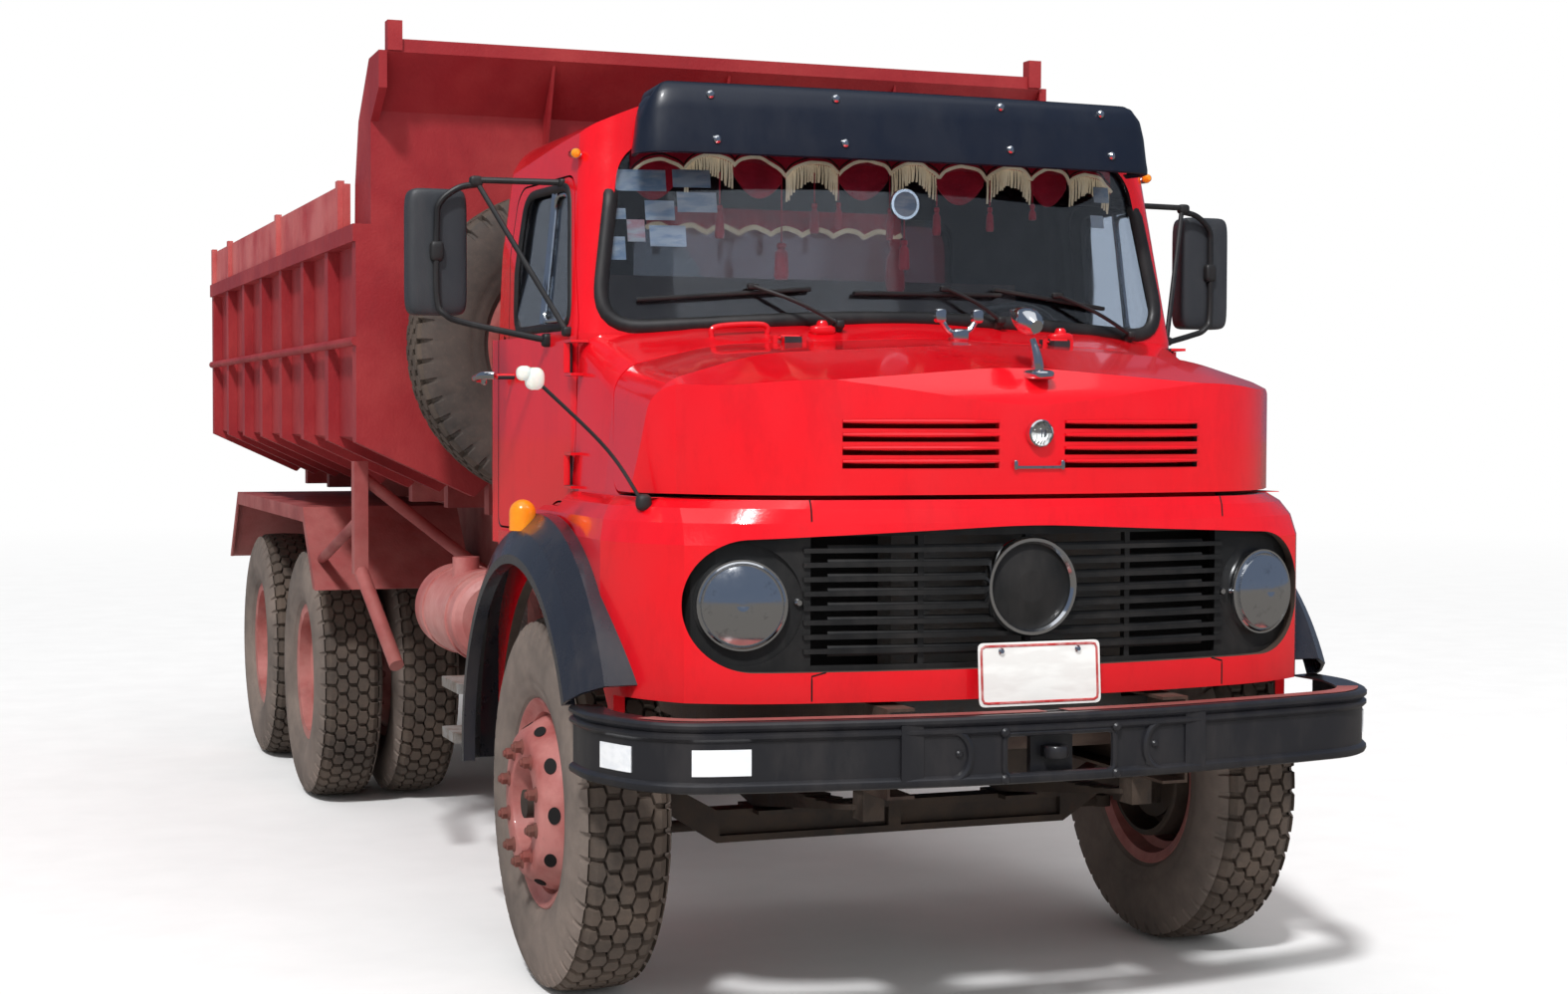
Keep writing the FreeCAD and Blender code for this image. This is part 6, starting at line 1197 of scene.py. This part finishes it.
# The bars' fronts lie on y = front + bow * x * x
GRILLE_FRONT, GRILLE_BOW = -0.893, 0.11
BADGE_PLACE = (0.0, -0.912, 1.176)
BADGE_RIM = ((0.112, -0.010), (0.112, 0.014), (0.118, 0.022), (0.126, 0.022), (0.131, 0.012), (0.130, -0.010))
BADGE_DISC = ((0, 0.016), (0.040, 0.015), (0.080, 0.010), (0.113, 0.002), (0.113, -0.008), (0, -0.008))
SCREW_PLACE = (0.619, -0.842, 1.143)
SCREW_HEAD = ((0, 0.012), (0.007, 0.010), (0.011, 0.004), (0.011, -0.014), (0, -0.014))
SEAM_X, SEAM_HEIGHTS = 0.597, ((1.350, 1.404), (0.895, 0.984))
PLATE_PLACE, PLATE_TILT, PLATE_HALF = (0.0, -0.972, 0.955), 4, (0.175, 0.082)
PLATE_BOLT = ((0, 0.008), (0.006, 0.008), (0.009, 0.004), (0.009, 0.0), (0, 0.0))


def rectangle(half_width, half_height):
    """Corners of a rectangle about its middle."""
    return ((-half_width, -half_height), (half_width, -half_height),
            (half_width, half_height), (-half_width, half_height))


class TRUCK_OT_front_trim(bpy.types.Operator):
    """Headlamps, the grille's bars and dark plates behind them as painted shade, the blank badge and plate, screws
    and seams
    """

    bl_idname = "truck.front_trim"
    bl_label = "Front trim"

    def execute(self, context):
        for side, sign in SIDES:
            self.headlamp(side, sign)
        self.grille()
        self.plate()
        return {"FINISHED"}

    def headlamp(self, side, sign):
        """Domed ribbed glass in a rolled bright ring, with its bowl behind."""
        turn = math.radians(HEADLAMP_TURN)
        axis = (sign * math.sin(turn), -math.cos(turn), 0.0)
        x, y, z = HEADLAMP_PLACE
        centre = here((sign * x, y, z))
        piece(f"HeadlampRing_{side}", turned(HEADLAMP_RING, centre, axis, 56, ring=True), "chrome")
        piece(f"HeadlampGlass_{side}", turned(HEADLAMP_GLASS, centre, axis, 56), "lens_glass")
        piece(f"HeadlampBowl_{side}", turned(HEADLAMP_BOWL, centre, axis, 48), "lamp_bowl")
        piece(f"HeadlampBulb_{side}", turned(HEADLAMP_BULB, centre, axis, 16), "reflective_white")

    def grille(self):
        """Rounded bars across the grille, dark plates behind them as painted shade, a plain domed badge, screws and
        seams.
        """
        forms = []
        x = np.linspace(-GRILLE_HALF, GRILLE_HALF, 40)
        for k in range(GRILLE_BARS):
            line = landed("grille", x, NOSE_AHEAD, GRILLE_LOW + GRILLE_STEP * k, BACKWARD)
            line[:, 1] = GRILLE_FRONT + GRILLE_BOW * x**2 + AXLE_Y
            forms.append(carry(line, circle(0.0065, 10, 1.3), UP))
        piece("GrilleBars", forms, "grille_moulding")
        # Near-black plates behind the grille's sides: painted shade in the space behind the bars
        piece("RadiatorBaffles", both([brick(0.30, 0.72, -0.665, -0.660, 0.90, 1.36)]), "cavity_black")
        spot = here(BADGE_PLACE)
        piece("BadgeRing", turned(BADGE_RIM, spot, FORWARD, 72, ring=True), "chrome")
        piece("BadgeDisc", turned(BADGE_DISC, spot, FORWARD, 72), "grille_moulding")
        screws, seams = [], []
        for sign in (-1, 1):
            x, y, z = SCREW_PLACE
            screws.append(turned(SCREW_HEAD, here((sign * x, y, z)), FORWARD, 14))
            for low, high in SEAM_HEIGHTS:
                rise = np.linspace(low, high, 8)
                line = landed("front_panel", sign * SEAM_X, NOSE_AHEAD, rise, BACKWARD, 0.0004)
                seams.append(carry(line, circle(0.0022, 6, 0.4), FORWARD))
        piece("GrilleScrews", screws, "chrome")
        piece("PanelSeams", seams, "cavity_black")

    def plate(self):
        """Blank registration plate with a raised red edge, on two bolts."""
        tilt = math.radians(PLATE_TILT)
        centre = here(PLATE_PLACE)
        width, height = PLATE_HALF
        outline = rounded_line(rectangle(width, height), (0.016,) * 4, 5)
        up = np.array([0, math.sin(tilt), math.cos(tilt)])
        flat = centre + outline[:, :1] * np.array([1.0, 0, 0]) + outline[:, 1:] * up
        out = np.array([0, -math.cos(tilt), math.sin(tilt)])
        piece("BlankPlate", plate(flat, 0.003, out), "plate_white")
        inner = rounded_line(rectangle(0.166, 0.073), (0.012,) * 4, 5)
        inner = centre + inner[:, :1] * np.array([1.0, 0, 0]) + inner[:, 1:] * up + out * 0.0035
        piece("PlateEdge", carry(resampled(inner, 80, True), circle(0.0035, 6, 0.6), out, True), "plate_red")
        bolts = [turned(PLATE_BOLT, centre + np.array([x, 0, 0]) + 0.060 * up + out * 0.003, out, 10)
                 for x in (-0.11, 0.11)]
        piece("PlateBolts", bolts, "chrome")


# Bumper: its plan as (x, y) to the middle, its section as (distance out, height)
BUMPER_PLAN = ((1.124, -0.53), (1.126, -0.65), (1.112, -0.735), (1.052, -0.879), (0.955, -0.967), (0.795, -1.008),
               (0.54, -1.048), (0.285, -1.080), (0.0, -1.090))
BUMPER_TOP = ((-0.070, 0.866), (-0.012, 0.868), (0.0, 0.868), (0.007, 0.866), (0.012, 0.860), (0.012, 0.852),
              (0.006, 0.846), (0.001, 0.842), (0.005, 0.839), (0.011, 0.834), (0.011, 0.827), (0.005, 0.821),
              (0.0, 0.817))
BUMPER_FOOT = ((0.0, 0.720), (0.005, 0.717), (0.011, 0.711), (0.012, 0.703), (0.008, 0.695), (0.0, 0.691),
               (-0.060, 0.691), (-0.060, 0.695), (-0.004, 0.696))
BUMPER_LEDGE = ((-0.070, 0.8675), (-0.012, 0.8695), (-0.012, 0.8705), (-0.070, 0.8685))
BUMPER_BOLTS = ((0.158, 0.824, 1.0), (0.158, 0.706, 1.0), (0.278, 0.773, 0.8))
BOLT_DOME = ((0, 0.010), (0.007, 0.009), (0.012, 0.004), (0.013, -0.004), (0, -0.004))
TOWING_EYE = ((0.014, -0.015), (0.030, -0.015), (0.032, -0.012), (0.032, 0.012), (0.030, 0.015), (0.014, 0.015))
SLOT_END, PIN_WAY, FACE_END = 0.150, 0.030, 1.05
REFLECTORS = ((-1.112, -1.062, 0.735, 0.800), (-0.950, -0.800, 0.735, 0.800), (1.040, 1.100, 0.745, 0.805))


def whole_plan(half):
    """Line of (x, y, 0) across the truck from one half of it, which ends in the middle."""
    half = np.array(half)
    plan = np.vstack([half * np.array([-1.0, 1.0]), half[-2::-1]])
    return np.column_stack([plan, np.zeros(len(plan))])


class TRUCK_OT_bumper_trim(bpy.types.Operator):
    """Pressed bumper with rolled lips and beads, its slot and towing eye, reflectors and bolts"""

    bl_idname = "truck.bumper_trim"
    bl_label = "Bumper"

    def execute(self, context):
        self.line = resampled(flow(whole_plan(BUMPER_PLAN), 400), 400)
        top, foot = list(BUMPER_TOP), list(BUMPER_FOOT)
        back = [(-0.004, 0.862), (-0.070, 0.861)]
        edge = [(0.0, 0.813), (-0.004, 0.813)]
        forms = both([carry(self.run(-2.0, -SLOT_END), top + foot + back)])
        forms += both([carry(self.run(-SLOT_END, -PIN_WAY), top + edge + back)])
        lip = [(-0.014, 0.868)] + top[2:] + edge + [(-0.004, 0.862), (-0.014, 0.862)]
        forms.append(carry(self.run(-PIN_WAY, PIN_WAY), lip))
        forms.append(carry(self.run(-SLOT_END, SLOT_END), [(-0.004, 0.718), (0.0, 0.718)] + foot[1:]))
        forms += self.beads()
        forms.append(brick(-0.060, 0.060, -1.042, -1.022, 0.690, 0.866))
        forms.append(brick(-0.030, 0.030, -1.050, -1.040, 0.750, 0.780))
        forms.append(turned(TOWING_EYE, here((0.0, -1.066, 0.765)), UP, 32, ring=True))
        forms += both([brick(0.3725, 0.4325, -1.076, -0.985, 0.710, 0.850)])
        piece("BumperPressing", forms, "bumper_paint", replaces=("bumper",))
        ledge = both([carry(self.run(-1.06, -0.031), BUMPER_LEDGE)])
        piece("BumperLedge", ledge, "guard_enamel")
        bolts = []
        for x, z, size in BUMPER_BOLTS:
            spot = self.on_face(x, z) + np.array([0, -0.010 if size == 1.0 else 0.0, 0])
            bolts.append(turned(np.array(BOLT_DOME) * size, spot, FORWARD, 16))
        piece("BumperBolts", both(bolts), "bumper_paint")
        self.reflectors()
        return {"FINISHED"}

    def run(self, start, end):
        """The stretch of the bumper's plan between two places across the truck, with exact ends."""
        line = self.line
        inside = line[(line[:, 0] > start) & (line[:, 0] < end)]
        first, last = ([x, np.interp(x, line[:, 0], line[:, 1]), 0.0] for x in (start, end))
        if start < line[:, 0].min():
            return here(np.vstack([inside, [last]]))
        return here(np.vstack([[first], inside, [last]]))

    def on_face(self, x, z):
        """Point on the bumper's flat face."""
        middle = self.line[np.abs(self.line[:, 0]) < FACE_END]
        return here((x, np.interp(x, middle[:, 0], middle[:, 1]), z))

    def beads(self):
        """Round ends of the pressed channels and the raised frame round the slot."""
        forms = []
        turn = np.linspace(-np.pi / 2, np.pi / 2, 14)
        arc = [self.on_face(-(0.296 - 0.048 * math.cos(t)), 0.7695 + 0.0610 * math.sin(t)) for t in turn]
        forms += both([carry(np.array(arc), circle(0.011, 8, 1.0), FORWARD)])
        slot = rounded_line(((-0.156, 0.711), (0.156, 0.711), (0.156, 0.820), (-0.156, 0.820)), (0.02,) * 4, 6)
        around = np.array([self.on_face(x, z) for x, z in resampled(slot, 60, True)])
        forms.append(carry(around, circle(0.009, 8), FORWARD, True))
        return forms

    def reflectors(self):
        """White reflective strips round the bumper's corners."""
        forms = []
        for start, end, z0, z1 in REFLECTORS:
            sign = math.copysign(1.0, start)
            line = self.line[(self.line[:, 0] * sign > 0) & (self.line[:, 1] < -0.73)]
            path = line[(line[:, 0] > start) & (line[:, 0] < end)]
            strip = [(-0.002, z0), (0.003, z0), (0.003, z1), (-0.002, z1)]
            forms.append(carry(here(path), strip))
        piece("BumperReflectors", forms, "reflective_white")


# Visor: its plan as (x, y) to the middle, its section as (distance out, height)
VISOR_PLAN = ((0.800, 0.020), (0.815, -0.050), (0.795, -0.105), (0.735, -0.135), (0.600, -0.146), (0.300, -0.160),
              (0.0, -0.165))
VISOR_FACE = ((-0.020, 2.362), (-0.008, 2.352), (0.0, 2.356), (0.0, 2.372), (-0.004, 2.400), (-0.012, 2.480),
              (-0.022, 2.528), (-0.040, 2.552), (-0.066, 2.560), (-0.066, 2.555), (-0.044, 2.547), (-0.027, 2.526),
              (-0.017, 2.480), (-0.009, 2.400), (-0.006, 2.372), (-0.010, 2.361), (-0.020, 2.367))
VISOR_FOOT, VISOR_HEIGHT = 2.352, 0.208
# The top edge falls by a quarter round from where the ends begin
VISOR_END_START, VISOR_END_LENGTH, VISOR_END_DROP = 0.730, 0.088, 0.075
VISOR_LID_HEIGHT, VISOR_LID_DEPTH, VISOR_LID_THICKNESS, VISOR_LID_INSET = 2.5585, 0.12, 0.005, 0.055
VISOR_SCREWS = ((-0.613, 2.520), (-0.239, 2.525), (0.284, 2.527), (0.624, 2.525),
                (-0.599, 2.393), (-0.217, 2.397), (0.309, 2.402), (0.654, 2.400))
VISOR_SCREW = ((0, 0.011), (0.006, 0.010), (0.011, 0.006), (0.013, -0.002), (0, -0.002))
ROOF_LAMP_PLACE, ROOF_LAMP_FOOT = (-0.931, 0.150, 2.370), (-0.895, 0.150, 2.362)
ROOF_LAMP_SHELL = ((0, -0.040), (0.010, -0.036), (0.014, -0.020), (0.015, 0.012), (0, 0.012))
ROOF_LAMP_LENS = ((0.0, 0.012), (0.014, 0.012), (0.012, 0.024), (0.006, 0.031), (0, 0.033))


class TRUCK_OT_roof_trim(bpy.types.Operator):
    """Pressed sun visor with its screws, bullet lamps on the roof's sides"""

    bl_idname = "truck.roof_trim"
    bl_label = "Visor and roof"

    def execute(self, context):
        path = resampled(flow(whole_plan(VISOR_PLAN), 300), 160)
        along = unit(np.gradient(path, axis=0))
        side = np.cross(along, np.array(UP))
        past = np.clip((np.abs(path[:, 0]) - VISOR_END_START) / VISOR_END_LENGTH, 0, 1)
        drop = VISOR_END_DROP * (1 - np.sqrt(1 - past**2))
        face = np.array(VISOR_FACE)
        share = np.clip((face[:, 1] - VISOR_FOOT) / VISOR_HEIGHT, 0, 1)
        grid = path[:, None] + side[:, None] * face[None, :, :1]
        grid[..., 2] = face[None, :, 1] - drop[:, None] * share[None]
        near = path + side * -VISOR_LID_INSET
        far = near * np.array([0.98, 0.0, 0.0]) + np.array([0, VISOR_LID_DEPTH, 0])
        under = np.array([0, 0, -VISOR_LID_THICKNESS])
        lid = np.stack([near, far, far + under, near + under], 1)
        lid[..., 2] += VISOR_LID_HEIGHT - drop[:, None]
        forms = [skin(here(grid)), skin(here(lid))]
        piece("VisorSheet", forms, "visor_moulding", replaces=("visor",), sharp=50)
        domes = []
        for x, z in VISOR_SCREWS:
            y = np.interp(x, path[:, 0], path[:, 1]) - np.interp(z, face[3:7, 1], face[3:7, 0])
            domes.append(turned(VISOR_SCREW, here((x, y, z)), FORWARD, 16))
        piece("VisorScrews", domes, "chrome")
        self.bullets()
        return {"FINISHED"}

    def bullets(self):
        """Bullet marker lamps on the roof's sides."""
        spot = here(ROOF_LAMP_PLACE)
        bracket = bar([spot, here(ROOF_LAMP_FOOT)], 0.007, 8, BACKWARD)
        piece("RoofLampShells", both([turned(ROOF_LAMP_SHELL, spot, FORWARD, 20), bracket]), "chrome")
        piece("RoofLampLenses", both([turned(ROOF_LAMP_LENS, spot, FORWARD, 20)]), "amber_lens")


# Mirrors and doors, given for the right-hand side

MIRROR_MIDDLE, MIRROR_HALF = (-1.283, 0.400, 2.093), (0.088, 0.045, 0.184)
MIRROR_TUBE = ((-1.172, 0.330, 2.290), (-1.231, 0.332, 2.276), (-1.282, 0.340, 2.233), (-1.290, 0.345, 2.170),
               (-1.290, 0.345, 1.960), (-1.266, 0.335, 1.908), (-1.203, 0.325, 1.884), (-0.987, 0.250, 1.836))
MIRROR_JOINTS = (
    ((-1.178, 0.330, 2.298), (0.020, 0.014, 0.016), 0.6),
    ((-1.290, 0.350, 2.093), (0.020, 0.018, 0.030), 0.5),
    ((-0.984, 0.250, 1.836), (0.018, 0.020, 0.020), 0.5),
    ((-0.974, 0.078, 1.856), (0.014, 0.016, 0.014), 0.5),
    ((-0.930, 0.270, 2.297), (0.018, 0.020, 0.012), 0.5),
)
HANDLE_GRIP = ((0.010, 0.100, -0.010), (0.036, 0.080, -0.008), (0.040, 0.030, -0.004), (0.036, -0.030, 0.0),
               (0.004, -0.048, 0.0))
HANDLE_BOSS = ((0, 0.012), (0.014, 0.010), (0.018, 0.004), (0.018, -0.004), (0, -0.004))


def on_side(points, sign):
    """Places given for the right-hand side, on the side named by the sign."""
    return here(np.asarray(points, float) * np.array([-sign, 1.0, 1.0]))


class TRUCK_OT_mirror_trim(bpy.types.Operator):
    """Mirror heads with their glass, on bent tubes carried by the doors"""

    bl_idname = "truck.mirror_trim"
    bl_label = "Mirrors"

    def execute(self, context):
        for side, sign in SIDES:
            body = f"door_{side}"
            centre = on_side(MIRROR_MIDDLE, sign)
            shell = pillow(centre, MIRROR_HALF, 0.35, 0.22, rows=16, columns=44)
            piece(f"MirrorShell_{side}", shell, "mirror_moulding", body, (f"mirror_{side}",),
                  sharp=60)
            outline = rounded_line(rectangle(0.074, 0.168), (0.026,) * 4, 6)
            face = centre + np.array([0, MIRROR_HALF[1], 0])
            glass = face + outline[:, :1] * np.array([1.0, 0, 0]) + outline[:, 1:] * np.array([0, 0, 1.0])
            piece(f"MirrorGlass_{side}", plate(glass, 0.0025, BACKWARD), "mirror_glass", body)
            head, door, foot = MIRROR_TUBE[0], (-0.932, 0.270, 2.298), (-0.975, 0.080, 1.858)
            tubes = [bar(on_side([door, (-1.180, 0.330, 2.302)], sign), 0.0095, 10),
                     bar(on_side(MIRROR_TUBE, sign), 0.0095, 10, BACKWARD, count=72),
                     bar(on_side([head, foot], sign), 0.008, 10)]
            joints = [pillow(on_side(place, sign), half, power, power) for place, half, power in MIRROR_JOINTS]
            piece(f"MirrorArms_{side}", tubes + joints, "black_rubber", body)
        return {"FINISHED"}


class TRUCK_OT_door_trim(bpy.types.Operator):
    """Bright door handles and the bosses they stand on"""

    bl_idname = "truck.door_trim"
    bl_label = "Door trim"

    def execute(self, context):
        for side, sign in SIDES:
            body = f"door_{side}"
            spot = landed(body, sign * 1.4, 0.600, 1.738, (-sign, 0, 0))[0]
            grip = spot + np.array(HANDLE_GRIP) * np.array([sign, 1.0, 1.0])
            forms = [carry(flow(grip, 32), circle(0.009, 12, 1.3), UP)]
            forms.append(turned(HANDLE_BOSS, spot + np.array([0, 0.100, -0.010]), (sign, 0, 0), 18))
            piece(f"DoorHandle_{side}", forms, "chrome", body)
        return {"FINISHED"}


# Cab inside


PELMET_CUSPS = ((-0.780, 2.300), (-0.630, 2.315), (-0.479, 2.335), (-0.326, 2.305), (-0.155, 2.321), (0.011, 2.327),
                (0.162, 2.319), (0.329, 2.323), (0.487, 2.329), (0.624, 2.328), (0.780, 2.305))
PELMET_HEAD, PELMET_RISE = 2.44, 0.042
# The pelmet and its swags bow with the windscreen, y = 0.10 * x * x
SCREEN_BOW = 0.10
DRAPERY_HEAD, DRAPERY_FOOT, DRAPERY_RISE, DRAPERY_ARCH = 2.285, 2.205, 0.022, 0.11
STICKER_DEPTH = 0.0085
FRINGED = (1, 3, 5, 7, 9)
STRAND_STEP = 0.0062
# Tassels on the pelmet: x, the heights of the cord's top and of the skirt's foot, and the radius
TASSELS = ((-0.531, 2.290, 2.130, 0.014), (-0.340, 2.290, 2.015, 0.022), (-0.237, 2.300, 2.153, 0.014),
           (-0.161, 2.300, 2.169, 0.012), (0.156, 2.300, 2.159, 0.013), (0.332, 2.300, 2.176, 0.012),
           (0.475, 2.300, 2.215, 0.012), (0.003, 2.300, 2.141, 0.011))
MEDALLION_RING = ((0.037, -0.006), (0.045, -0.006), (0.048, 0.0), (0.045, 0.006), (0.037, 0.006))
MEDALLION_FACE = ((0, 0.004), (0.038, 0.002), (0.038, -0.004), (0, -0.004))
REAR_BUNCH = ((0, 0.0), (0.016, -0.004), (0.020, -0.020), (0.014, -0.034), (0.028, -0.070), (0.034, -0.160),
              (0.026, -0.190), (0, -0.190))
# Stickers on the windscreen: their edges in x and z, and 1 for the pink one
STICKERS = ((-0.833, -0.687, 2.262, 2.325, 0), (-0.670, -0.560, 2.275, 2.328, 0), (-0.661, -0.546, 2.203, 2.262, 0),
            (-0.753, -0.668, 2.178, 2.236, 0), (-0.744, -0.640, 2.102, 2.164, 0), (-0.806, -0.755, 2.115, 2.180, 1),
            (-0.862, -0.812, 2.062, 2.130, 0), (-0.850, -0.806, 2.180, 2.212, 0), (0.70, 0.76, 2.28, 2.33, 0),
            (0.68, 0.73, 2.20, 2.24, 0))


class TRUCK_OT_pelmet(bpy.types.Operator):
    """Arched velvet pelmet with fringes, swags and tassels, the hanging medallion and the blank stickers"""

    bl_idname = "truck.pelmet"
    bl_label = "Pelmet and stickers"

    def execute(self, context):
        self.valance(context.scene.truck_sizes.fringe_drop)
        self.hangings()
        self.drapery()
        self.stickers()
        return {"FINISHED"}

    def edge(self, x):
        """Height of the pelmet's lower edge, an arch between each two cusps, and of the chord under each arch."""
        cusps = np.array(PELMET_CUSPS)
        span = np.clip(np.searchsorted(cusps[:, 0], x, side="right") - 1, 0, len(cusps) - 2)
        share = np.clip((x - cusps[span, 0]) / (cusps[span + 1, 0] - cusps[span, 0]), 0, 1)
        chord = cusps[span, 1] * (1 - share) + cusps[span + 1, 1] * share
        return chord + PELMET_RISE * np.sin(np.pi * share) ** 0.6, chord

    def valance(self, drop):
        """Velvet strip behind the windscreen's head with soft upright folds; its lower edge is a row of arches."""
        x = np.linspace(-0.779, 0.779, 313)
        low, _chord = self.edge(x)
        rows = []
        for share in np.linspace(0, 1, 9):
            fold = 0.006 * np.sin(x * 95 + 2 * np.sin(x * 7)) * (0.3 + share)
            z = PELMET_HEAD + (low - PELMET_HEAD) * share
            rows.append(np.stack([x, 0.050 + SCREEN_BOW * x**2 + fold - 0.014 * share, z], -1))
        cloth_grid = here(np.array(rows))
        item = piece("Pelmet", lined(cloth_grid), "red_velvet", sharp=80)
        rim = cloth_grid[-1] + np.array([0, -0.005, 0.006])
        braid = piece("PelmetBraid", carry(rim, circle(0.005, 8), UP), "cream_yarn")
        upper = rim + np.array([0, -0.001, 0.015])
        piping = piece("PelmetPiping", carry(upper, circle(0.0028, 6), UP), "dark_braid")
        strands, swags = [], []
        cusps = np.array(PELMET_CUSPS)
        for k in range(len(cusps) - 1):
            if k in FRINGED:
                strands += self.fringe(cusps[k, 0], cusps[k + 1, 0], cloth_grid[-1], drop)
            else:
                swags.append(self.swag(cusps[k, 0], cusps[k + 1, 0]))
        fringe = piece("PelmetFringe", strands, "cream_yarn")
        swag = piece("PelmetSwags", swags, "red_velvet", sharp=80)

    def fringe(self, start, end, line, drop):
        """Strands side by side under one arch, longer towards its ends."""
        strands = []
        for k, x in enumerate(np.arange(start + 0.006, end - 0.003, STRAND_STEP)):
            top = np.array([np.interp(x, line[:, 0], line[:, c]) for c in range(3)])
            share = (x - start) / (end - start)
            length = drop * (0.82 + 0.16 * math.cos(2 * math.pi * share)) + 0.003 * math.sin(7.3 * k)
            sway = 0.0035 * math.sin(2.1 * k)
            middle = top + np.array([sway * 0.5, -0.003, -0.5 * length])
            tip = top + np.array([sway, 0.001, -length])
            strands.append(bar([top, middle, tip], 0.0030, 5, BACKWARD, count=6))
        return strands

    def swag(self, start, end):
        """Cloth hung between two cusps: its folds and its lower edge sag as a sine between the ends."""
        share = np.linspace(0.02, 0.98, 24)
        x = start + (end - start) * share
        top, chord = self.edge(x)
        rows = []
        for part in np.linspace(0, 1, 12):
            low = chord - 0.066 * np.sin(np.pi * share) ** 0.8
            z = (top + 0.010) * (1 - part) + low * part
            y = 0.052 + SCREEN_BOW * x**2 + 0.006 * np.sin(part * 20) * np.sin(np.pi * share)
            rows.append(np.stack([x, y, z], -1))
        return lined(here(np.array(rows)))

    def tassel(self, top, length, radius):
        """Tassel: a cord, a bound head and a fluted skirt."""
        skirt = min(0.62 * length, 0.11)
        neck = top - np.array([0, 0, length - skirt])
        cord = bar([top + np.array([0, 0, 0.03]), neck], 0.0022, 5, BACKWARD)
        section = [(0, 0.0), (radius * 0.55, -0.004), (radius * 0.66, -0.014), (radius * 0.42, -0.020),
                   (radius * 0.85, -0.030), (radius, -skirt * 0.9), (radius * 0.8, -skirt), (0, -skirt)]
        return [cord, turned(section, neck, UP, 16)]

    def hangings(self):
        """Red tassels along the pelmet and the medallion on its cord."""
        forms = []
        for x, top, low, radius in TASSELS:
            forms += self.tassel(here((x, 0.030, top)), top - low, radius)
        forms += self.tassel(here((0.046, 0.020, 2.200)), 0.147, 0.017)
        piece("Tassels", forms, "red_velvet")
        spot = here((0.047, 0.020, 2.247))
        hanger = bar([spot + np.array([0, 0, 0.046]), spot + np.array([0, 0.025, 0.12])], 0.002, 5, BACKWARD)
        piece("MedallionRing", [turned(MEDALLION_RING, spot, FORWARD, 36, ring=True), hanger], "chrome")
        piece("MedallionFace", turned(MEDALLION_FACE, spot, FORWARD, 36), "sticker_paper")

    def drapery(self):
        """Cloth strip across the rear window's head and a bunch hanging beside it."""
        x = np.linspace(-0.53, 0.35, 121)
        low = DRAPERY_FOOT + DRAPERY_RISE * np.abs(np.sin(np.pi * x / DRAPERY_ARCH))
        rows = []
        for share in np.linspace(0, 1, 6):
            fold = 0.006 * np.sin(x * 120) * share
            rows.append(np.stack([x, 0.745 + fold, DRAPERY_HEAD + (low - DRAPERY_HEAD) * share], -1))
        grid = here(np.array(rows))
        item = piece("RearDrapery", lined(grid), "red_velvet", sharp=80)
        hem = grid[-1] + np.array([0, -0.003, 0])
        trim = piece("RearDraperyTrim", carry(hem, circle(0.008, 8), UP), "cream_yarn")
        piece("RearBunch", turned(REAR_BUNCH, here((0.320, 0.720, 2.205)), UP, 20), "red_velvet")

    def stickers(self):
        """Blank stickers on the inside of the windscreen."""
        forms = ([], [])
        for x0, x1, z0, z1, kind in STICKERS:
            middle = np.array([(x0 + x1) / 2, (z0 + z1) / 2])
            near = np.array([(0, 0), (0.01, 0), (0, 0.01)]) + middle
            spot, across, up = landed("cab_glass", near[:, 0], SCREEN_AHEAD, near[:, 1], BACKWARD)
            across, up = unit(across - spot), unit(up - spot)
            half = np.array([x1 - x0, z1 - z0]) / 2
            corners = [spot + a * across + b * up for a, b in rectangle(*half)]
            inward = unit(np.cross(up, across))
            inward = inward if inward[1] > 0 else -inward
            forms[kind].append(plate(np.array(corners) + inward * STICKER_DEPTH, 0.001, inward))
        piece("StickersPale", forms[0], "sticker_paper")
        piece("StickersPink", forms[1], "sticker_pink")


class TRUCK_PT_panel(bpy.types.Panel):
    """Truck settings and the steps that dress it"""

    bl_idname = "TRUCK_PT_panel"
    bl_label = "Truck"
    bl_space_type = "VIEW_3D"
    bl_region_type = "UI"
    bl_category = "Truck"

    def draw(self, context):
        for group in (context.scene.truck_sizes, context.scene.truck_colours):
            for key in group.__annotations__:
                self.layout.prop(group, key)
        for step in STEPS:
            self.layout.operator(step.bl_idname)


STEPS = (TRUCK_OT_stage, TRUCK_OT_finishes, TRUCK_OT_tyres, TRUCK_OT_wheel_trim, TRUCK_OT_glazing, TRUCK_OT_wipers,
         TRUCK_OT_hood_trim, TRUCK_OT_cowl_trim, TRUCK_OT_front_trim, TRUCK_OT_bumper_trim, TRUCK_OT_roof_trim,
         TRUCK_OT_mirror_trim, TRUCK_OT_door_trim, TRUCK_OT_pelmet)
CLASSES = (TruckSizes, TruckColours, *STEPS, TRUCK_PT_panel)


def register():
    """Register the classes and hang the settings on the scene."""
    for item in CLASSES:
        bpy.utils.register_class(item)
    bpy.types.Scene.truck_sizes = bpy.props.PointerProperty(type=TruckSizes)
    bpy.types.Scene.truck_colours = bpy.props.PointerProperty(type=TruckColours)


def unregister():
    """Take the settings and classes away again."""
    del bpy.types.Scene.truck_colours
    del bpy.types.Scene.truck_sizes
    for item in reversed(CLASSES):
        bpy.utils.unregister_class(item)


def main():
    """Register and run every step in order."""
    register()
    for step in STEPS:
        name = step.bl_idname.split(".")[1]
        getattr(bpy.ops.truck, name)()


if __name__ == "__main__":
    main()
